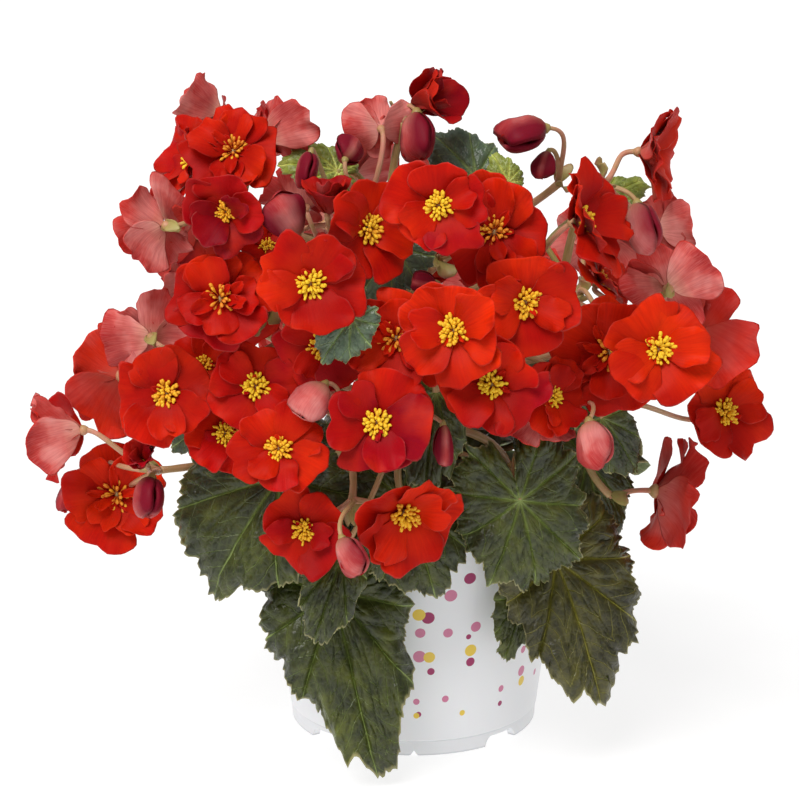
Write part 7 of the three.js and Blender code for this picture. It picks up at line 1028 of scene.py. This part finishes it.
def soil_material():
    m, t, b = nodes_of("peat")
    obj = node(t, "ShaderNodeTexCoord").outputs["Object"]
    g = noise(t, obj, 260.0, 8.0, 0.7)
    f = noise(t, obj, 1400.0, 4.0, 0.6)
    s, v, back, tint = point_data(t)
    col = ramp(t, g, [(0.30, (0.012, 0.008, 0.005)), (0.5, (0.040, 0.024, 0.014)), (0.66, (0.085, 0.050, 0.026)), (0.78, (0.17, 0.11, 0.06))])
    col = mix(t, math_(t, "MULTIPLY", tint, 0.5), col, (0.11, 0.065, 0.035))
    link(t, col, b.inputs["Base Color"])
    b.inputs["Roughness"].default_value = 0.92
    b.inputs["Specular IOR Level"].default_value = 0.15
    bump(t, b, math_(t, "ADD", g, math_(t, "MULTIPLY", f, 0.5)), 0.9, 0.0012)
    return m


SSS = 0.10
SIDE_MM = 8.5
PET = {
    "warm": (0.78, 0.025, 0.001), "red": (0.56, 0.0050, 0.0015), "deep": (0.35, 0.0016, 0.011), "dark": (0.20, 0.0010, 0.010),
    # glow is painted glow and shade is painted shade, both on the petals' inner face
    "vein": (0.30, 0.0012, 0.0015), "glow": (0.90, 0.046, 0.003), "shade": (0.29, 0.0009, 0.0022),
    # bl is the painted highlight of the outer face and also the colour of its pale fine streaks; bd is its painted
    # shade
    "b0": (0.80, 0.46, 0.34), "b1": (0.77, 0.18, 0.155), "b2": (0.66, 0.080, 0.070), "b3": (0.60, 0.036, 0.028), "bs": (0.40, 0.020, 0.032), "bl": (0.96, 0.40, 0.36), "bd": (0.36, 0.014, 0.018),
    "maroon": (0.19, 0.006, 0.018),
}
MATS = {
    "petal": petal_material("petal"), "bud": petal_material("bud_petal", True), "stamen": stamen_material(), "stalk": stalk_material(), "bract": bract_material(),
    "leaf_dark": leaf_material("leaf_dark", (0.026, 0.034, 0.004), (0.088, 0.100, 0.008), (0.200, 0.262, 0.066), (0.14, 0.17, 0.050), 0.27),
    "leaf_brown": leaf_material("leaf_brown", (0.036, 0.034, 0.005), (0.105, 0.094, 0.011), (0.28, 0.26, 0.045), (0.16, 0.14, 0.06), 0.28),
    "leaf_blue": leaf_material("leaf_blue", (0.060, 0.098, 0.055), (0.125, 0.180, 0.110), (0.24, 0.32, 0.11), (0.15, 0.19, 0.11), 0.22),
    "leaf_young": leaf_material("leaf_young", (0.17, 0.22, 0.028), (0.31, 0.36, 0.055), (0.55, 0.60, 0.14), (0.34, 0.38, 0.12), 0.30),
    "pot": pot_material(), "soil": soil_material(),
}

# ---------------------------------------------------------------- the pot
def pot_piece():
    sh = Shape()
    nA = 432
    th = np.linspace(0, 2 * np.pi, nA, endpoint=False)
    # lower edge of the foot: four arches and four small notches
    def lower(th):
        z = np.zeros_like(th)
        for i in range(4):
            d = (th - (np.pi / 4 + i * np.pi / 2) + np.pi) % (2 * np.pi) - np.pi
            x = np.abs(d) * FOOT_R
            w = ARCH_W / 2
            z = np.maximum(z, ARCH_H * np.clip((w - x) / 3.0, 0, 1) ** 0.55)
            d = (th - i * np.pi / 2 + np.pi) % (2 * np.pi) - np.pi
            x = np.abs(d) * FOOT_R
            z = np.maximum(z, 2.4 * np.clip(1 - x / (NOTCH_W / 2), 0, 1))
        return z
    zb = lower(th)
    r = lambda z: FOOT_R + 1.0 + (z - LEDGE_Z) * 0.1235
    P = []   # (radius, height, share of the lower edge)
    fi = FOOT_R - FOOT_WIDTH
    P += [(rr, FLOOR_UNDER, 0) for rr in (46.0, 49.5, fi - 0.5)]
    P += [(fi - 0.1, FLOOR_UNDER - 0.02, 0), (fi, FLOOR_UNDER - 0.12, 0), (fi, 0.25, 1), (fi + 0.10, 0.06, 1), (fi + 0.3, 0, 1), (FOOT_R - 0.5, 0, 1), (FOOT_R - 0.15, 0.08, 1), (FOOT_R, 0.35, 1),
          (FOOT_R + 0.16, LEDGE_Z - 1.2, 0), (FOOT_R + 0.22, LEDGE_Z - 0.55, 0), (FOOT_R + 0.42, LEDGE_Z - 0.32, 0), (FOOT_R + 0.86, LEDGE_Z - 0.12, 0), (FOOT_R + 1.0, LEDGE_Z + 0.15, 0)]
    P += [(r(z), z, 0) for z in np.linspace(LEDGE_Z + 0.6, RIM_Z - 9.4, 22)]
    P += [(r(RIM_Z - 9), RIM_Z - 9, 0), (RIM_R - 1.6, RIM_Z - 8.7, 0), (RIM_R - 0.3, RIM_Z - 8.2, 0), (RIM_R, RIM_Z - 7.6, 0), (RIM_R + 0.05, RIM_Z - 4, 0), (RIM_R, RIM_Z - 1.2, 0), (RIM_R - 0.4, RIM_Z - 0.35, 0), (RIM_R - 1.2, RIM_Z, 0),
          (RIM_R - 2.4, RIM_Z, 0), (RIM_R - 3.2, RIM_Z - 0.4, 0), (RIM_R - 3.6, RIM_Z - 1.4, 0), (r(RIM_Z - 8) - WALL - 0.3, RIM_Z - 7.4, 0)]
    P += [(r(z) - WALL, z, 0) for z in np.linspace(RIM_Z - 9, 12, 10)]
    P += [(FOOT_R - 1.2, FLOOR_TOP + 1.2, 0), (FOOT_R - 2.2, FLOOR_TOP + 0.2, 0), (FOOT_R - 4, FLOOR_TOP, 0)] + [(rr, FLOOR_TOP, 0) for rr in (50.0, 46.0)]
    rr = np.array([p[0] for p in P])[:, None] * np.ones(nA)
    zz = np.array([p[1] for p in P])[:, None] + np.array([p[2] for p in P])[:, None] * zb[None, :]
    # the moulded wall has a faint seam and a very slight out-of-round
    body = ((zz > LEDGE_Z) & (rr > 57)).astype(float)
    rr = rr + body * (0.10 * np.exp(-(((th - 0.42 + np.pi) % (2 * np.pi) - np.pi) * 70 / 0.5) ** 2) + 0.12 * np.cos(2 * th + 0.6))[None, :]
    V = np.stack([rr * np.cos(th - np.pi / 2), rr * np.sin(th - np.pi / 2), zz], -1)
    n = len(P)
    V = V.reshape(-1, 3)
    k = np.arange(nA)
    F = [np.stack([i * nA + k, i * nA + (k + 1) % nA, (i + 1) * nA + (k + 1) % nA, (i + 1) * nA + k], 1) for i in range(n - 1)]
    # the floor inside radius 46: a plate with eight round holes, meshed once and used for both faces
    flat = [mathutils.Vector((46.0 * math.cos(t - math.pi / 2), 46.0 * math.sin(t - math.pi / 2))) for t in th]
    edges = [(i, (i + 1) % nA) for i in range(nA)]
    nH, centres = 48, [((i + 0.5) * math.pi / 4) for i in range(8)]
    for c in centres:
        e0 = len(flat)
        flat += [mathutils.Vector((DRAIN_RING * math.cos(c) + DRAIN_R * math.cos(q), DRAIN_RING * math.sin(c) + DRAIN_R * math.sin(q))) for q in np.linspace(0, 2 * math.pi, nH, endpoint=False)]
        edges += [(e0 + i, e0 + (i + 1) % nH) for i in range(nH)]
    for rr_ in np.arange(4.0, 45.0, 4.1):
        m_ = max(6, int(2 * math.pi * rr_ / 4.5))
        for q in np.linspace(0, 2 * math.pi, m_, endpoint=False) + rr_:
            x, y = rr_ * math.cos(q), rr_ * math.sin(q)
            if min(math.hypot(x - DRAIN_RING * math.cos(c), y - DRAIN_RING * math.sin(c)) for c in centres) > DRAIN_R + 1.2:
                flat.append(mathutils.Vector((x, y)))
    co, _, tri, vo_, _, _ = mathutils.geometry.delaunay_2d_cdt(flat, edges, [], 0, 1e-6)
    co = np.array([[q.x, q.y] for q in co])
    back_to = {o: i for i, src in enumerate(vo_) for o in src}
    keep = []
    for f in tri:
        x, y = co[list(f)].mean(0)
        if min(math.hypot(x - DRAIN_RING * math.cos(c), y - DRAIN_RING * math.sin(c)) for c in centres) > DRAIN_R:
            a_, b_, c_ = co[list(f)]
            keep.append(f if (b_[0] - a_[0]) * (c_[1] - a_[1]) - (b_[1] - a_[1]) * (c_[0] - a_[0]) > 0 else f[::-1])
    keep = np.array(keep)
    ring0, ring1 = back_to, {}
    lowmap, upmap = {}, {}
    for i in range(nA):
        lowmap[back_to[i]] = i                       # first ring of the profile is the underside's
        upmap[back_to[i]] = (n - 1) * nA + i         # the last ring is the top side's
    extra = []
    for q in sorted(set(keep.ravel().tolist())):
        if q not in lowmap:
            lowmap[q] = len(V) + len(extra); extra.append([co[q][0], co[q][1], FLOOR_UNDER])
            upmap[q] = len(V) + len(extra); extra.append([co[q][0], co[q][1], FLOOR_TOP])
    V = np.vstack([V, extra])
    low = np.array([[lowmap[q] for q in f] for f in keep.tolist()])
    top = np.array([[upmap[q] for q in f] for f in keep.tolist()])
    F.append(np.stack([low[:, 0], low[:, 0], low[:, 2], low[:, 1]], 1))
    F.append(np.stack([top[:, 0], top[:, 0], top[:, 1], top[:, 2]], 1))
    for c in range(8):
        e0 = nA + c * nH
        for i in range(nH):
            a_, b_ = back_to[e0 + i], back_to[e0 + (i + 1) % nH]
            F.append(np.array([[lowmap[b_], lowmap[a_], upmap[a_], upmap[b_]]]))
    sh.add(V, np.vstack(F), "pot", (0, 0, 0, 0))
    ob = sh.build("pot_body", MATS, "pot", ["pot"])
    return ob


def soil_piece():
    sh = Shape()
    rng = rng_of("soil")
    nA, nR = 130, 36
    th = np.linspace(0, 2 * np.pi, nA, endpoint=False)
    r = lambda z: FOOT_R + 1.0 - WALL + (z - LEDGE_Z) * 0.1235
    rt = r(SOIL_TOP) - 0.7
    rad = np.linspace(0.6, rt, nR)
    RR, TH = np.meshgrid(rad, th, indexing="ij")
    X, Y = RR * np.cos(TH), RR * np.sin(TH)
    Z = SOIL_TOP + 2.2 * np.clip(1 - (RR / rt) ** 2.2, 0, 1) - 0.3
    for f, a in ((0.11, 0.7), (0.27, 0.5), (0.6, 0.38), (1.3, 0.25)):
        p = rng.uniform(0, 6.28, 6)
        Z += a * 0.6 * (np.sin(X * f * 1.3 + p[0]) * np.cos(Y * f + p[1]) + np.sin((X + Y) * f * 0.8 + p[2]) * np.sin((X - Y) * f * 0.9 + p[3]))
    Z += rng.uniform(-0.25, 0.25, Z.shape)
    top = np.stack([X, Y, Z], -1).reshape(-1, 3)
    low = [np.stack([rr * np.cos(th), rr * np.sin(th), 0 * th + z], -1) for rr, z in ((rt - 1.5, SOIL_TOP - 12), (r(50) - 1, 50), (FOOT_R - 3, FLOOR_TOP + 0.6))]
    V = np.vstack([top] + low + [[[0, 0, SOIL_TOP + 2.0]], [[0, 0, FLOOR_TOP + 0.6]]])
    k = np.arange(nA)
    rows = [i * nA for i in range(nR + 3)]
    F = [np.stack([rows[i] + k, rows[i + 1] + k, rows[i + 1] + (k + 1) % nA, rows[i] + (k + 1) % nA], 1) for i in range(len(rows) - 1)]
    e = len(V)
    F.append(np.stack([0 * k + e - 2, 0 * k + e - 2, k, (k + 1) % nA], 1))
    F.append(np.stack([0 * k + e - 1, 0 * k + e - 1, rows[-1] + (k + 1) % nA, rows[-1] + k], 1))
    sh.add(V, np.vstack(F), "soil", (0, 0, 0, 0.2))
    # loose crumbs of bark and peat
    ico = [(0, 0, 1), (0.89, 0, 0.45), (0.28, 0.85, 0.45), (-0.72, 0.53, 0.45), (-0.72, -0.53, 0.45), (0.28, -0.85, 0.45),
           (0.72, 0.53, -0.45), (-0.28, 0.85, -0.45), (-0.89, 0, -0.45), (-0.28, -0.85, -0.45), (0.72, -0.53, -0.45), (0, 0, -1)]
    fi = [(0, 1, 2), (0, 2, 3), (0, 3, 4), (0, 4, 5), (0, 5, 1), (1, 6, 2), (2, 7, 3), (3, 8, 4), (4, 9, 5), (5, 10, 1), (2, 6, 7), (3, 7, 8), (4, 8, 9), (5, 9, 10), (1, 10, 6),
          (6, 11, 7), (7, 11, 8), (8, 11, 9), (9, 11, 10), (10, 11, 6)]
    ico, fi = np.array(ico), np.array([(a, a, b, c) for a, b, c in fi])
    for i in range(480):
        a, q = rng.uniform(0, 2 * np.pi), math.sqrt(rng.uniform(0, 1)) * (rt - 2.5)
        s = rng.uniform(0.5, 1.5) * (1.5 if rng.uniform() < 0.12 else 1)
        z = SOIL_TOP + 2.2 * max(0, 1 - (q / rt) ** 2.2) + 0.1
        v = ico * (1 + rng.uniform(-0.25, 0.25, (12, 1))) * s * np.array([rng.uniform(0.7, 1.5), rng.uniform(0.6, 1.1), rng.uniform(0.4, 0.8)])
        c, w = math.cos(a * 7), math.sin(a * 7)
        v = v @ np.array([[c, w, 0], [-w, c, 0], [0, 0, 1]])
        sh.add(v + [q * math.cos(a), q * math.sin(a), z], fi, "soil", (0, 0, 0, rng.uniform(0.0, 1.0)))
    return sh.build("soil_surface", MATS, "soil", ["potting_soil"], flat=())


# ---------------------------------------------------------------- everything that grows
def plant():
    for name, s in STEMS.items():
        sh, rng = Shape(), rng_of(name)
        stalk(sh, s["c"], s["r0"], s["r1"], rng, 14, 40, tint=0.22, swell=0.12)
        sh.build("grown_" + name, MATS, "stem", [name])
    for name, l in LEAVES.items():
        sh, rng = Shape(), rng_of(name)
        leaf(sh, l, rng, name)
        p = l["pet"]
        stalk(sh, p["c"], p["r0"], p["r1"], rng, 10, 22, tint=0.42 if "top" not in name else 0.15)
        sh.build("blade_" + name, MATS, "leaf", [name])
    for name, c in CYMES.items():
        sh, rng = Shape(), rng_of(name)
        if "peduncle" in c:
            p = c["peduncle"]
            stalk(sh, p["c"], p["r0"], p["r1"], rng, 10, 24, tint=rng.uniform(0.3, 0.6))
            J = np.array(p["c"][3], float)
            din = unit(J - np.array(p["c"][2], float))
            for k, q in enumerate(c["ped"][:2]):
                d = unit(np.array(q["c"][1], float) - J)
                side = unit(np.cross(d, din) + 0.01)
                bract(sh, J - din * 0.6 + side * (1 if k else -1) * p["r1"] * 0.6, unit(side * (1 if k else -1) + 0.5 * din), unit(din + 0.3 * d), rng.uniform(8, 11), rng.uniform(4.6, 5.8), rng, tint=0.4)
        for p in c["ped"]:
            stalk(sh, p["c"], p["r0"], p["r1"], rng, 8, 16, tint=rng.uniform(0.45, 0.8))
        for key in c["items"]:
            it = BLOOMS[key]
            r2 = rng_of(name + key)
            bud(sh, it, r2, key) if it["kind"] == "bud" else flower(sh, it, r2, key)
        sh.build("grown_" + name, MATS, "bloom", [name])


pot_piece()
soil_piece()
plant()

# ---------------------------------------------------------------- set, light, camera
scene = bpy.context.scene
scene.view_settings.view_transform = "Standard"
scene.view_settings.look = "None"
scene.view_settings.exposure = 0.0
scene.view_settings.gamma = 1.0

fm = bpy.data.meshes.new("floor")
fm.from_pydata([(-6, -6, 0), (6, -6, 0), (6, 6, 0), (-6, 6, 0)], [], [(0, 1, 2, 3)])
floor = bpy.data.objects.new("floor", fm)
scene.collection.objects.link(floor)
m, t, b = nodes_of("floor_paper")
g = noise(t, node(t, "ShaderNodeTexCoord").outputs["Object"], 3.0, 2.0, 0.5)
link(t, ramp(t, g, [(0.0, (0.28, 0.28, 0.28)), (1.0, (0.31, 0.31, 0.31))]), b.inputs["Base Color"])
b.inputs["Roughness"].default_value = 0.6
b.inputs["Specular IOR Level"].default_value = 0.2
b.inputs["Emission Color"].default_value = (1, 1, 1, 1)      # a back-lit acrylic table
b.inputs["Emission Strength"].default_value = 0.78
fm.materials.append(m)
floor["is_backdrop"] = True

world = bpy.data.worlds.new("studio")
scene.world = world
world.use_nodes = True
world.node_tree.nodes["Background"].inputs[0].default_value = (1.0, 1.0, 1.0, 1)
world.node_tree.nodes["Background"].inputs[1].default_value = 0.38


def area(name, loc, aim, size, power, color=(1, 1, 1)):
    li = bpy.data.lights.new(name, "AREA")
    li.shape = "DISK"
    li.size = size
    li.energy = power
    li.color = color
    ob = bpy.data.objects.new(name, li)
    scene.collection.objects.link(ob)
    ob.location = loc
    d = mathutils.Vector(aim) - mathutils.Vector(loc)
    ob.rotation_euler = d.to_track_quat("-Z", "Y").to_euler()
    return ob


sun = bpy.data.lights.new("sun", "SUN")
sun.energy = 2.7
sun.angle = math.radians(36)
sun.color = (1.0, 0.99, 0.97)
so = bpy.data.objects.new("sun", sun)
scene.collection.objects.link(so)
so.rotation_euler = mathutils.Vector((0.34, 0.56, -1.0)).to_track_quat("-Z", "Y").to_euler()

cam = bpy.data.cameras.new("camera")
cam.lens = 3249.0 / 800.0 * 36.0
cam.sensor_width = 36.0
cam.sensor_fit = "HORIZONTAL"
cam.clip_start = 0.05
cam.clip_end = 30
co = bpy.data.objects.new("camera", cam)
scene.collection.objects.link(co)
co.location = (-0.0064125, -1.43897, 0.57651)
co.rotation_euler = (math.radians(90 - 16.4), 0, 0)
scene.camera = co

bounds1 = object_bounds()
plain = lambda b: [[float(q) for q in corner] for corner in b]
{"cad": plain(bounds0), "visual": plain(bounds1)}
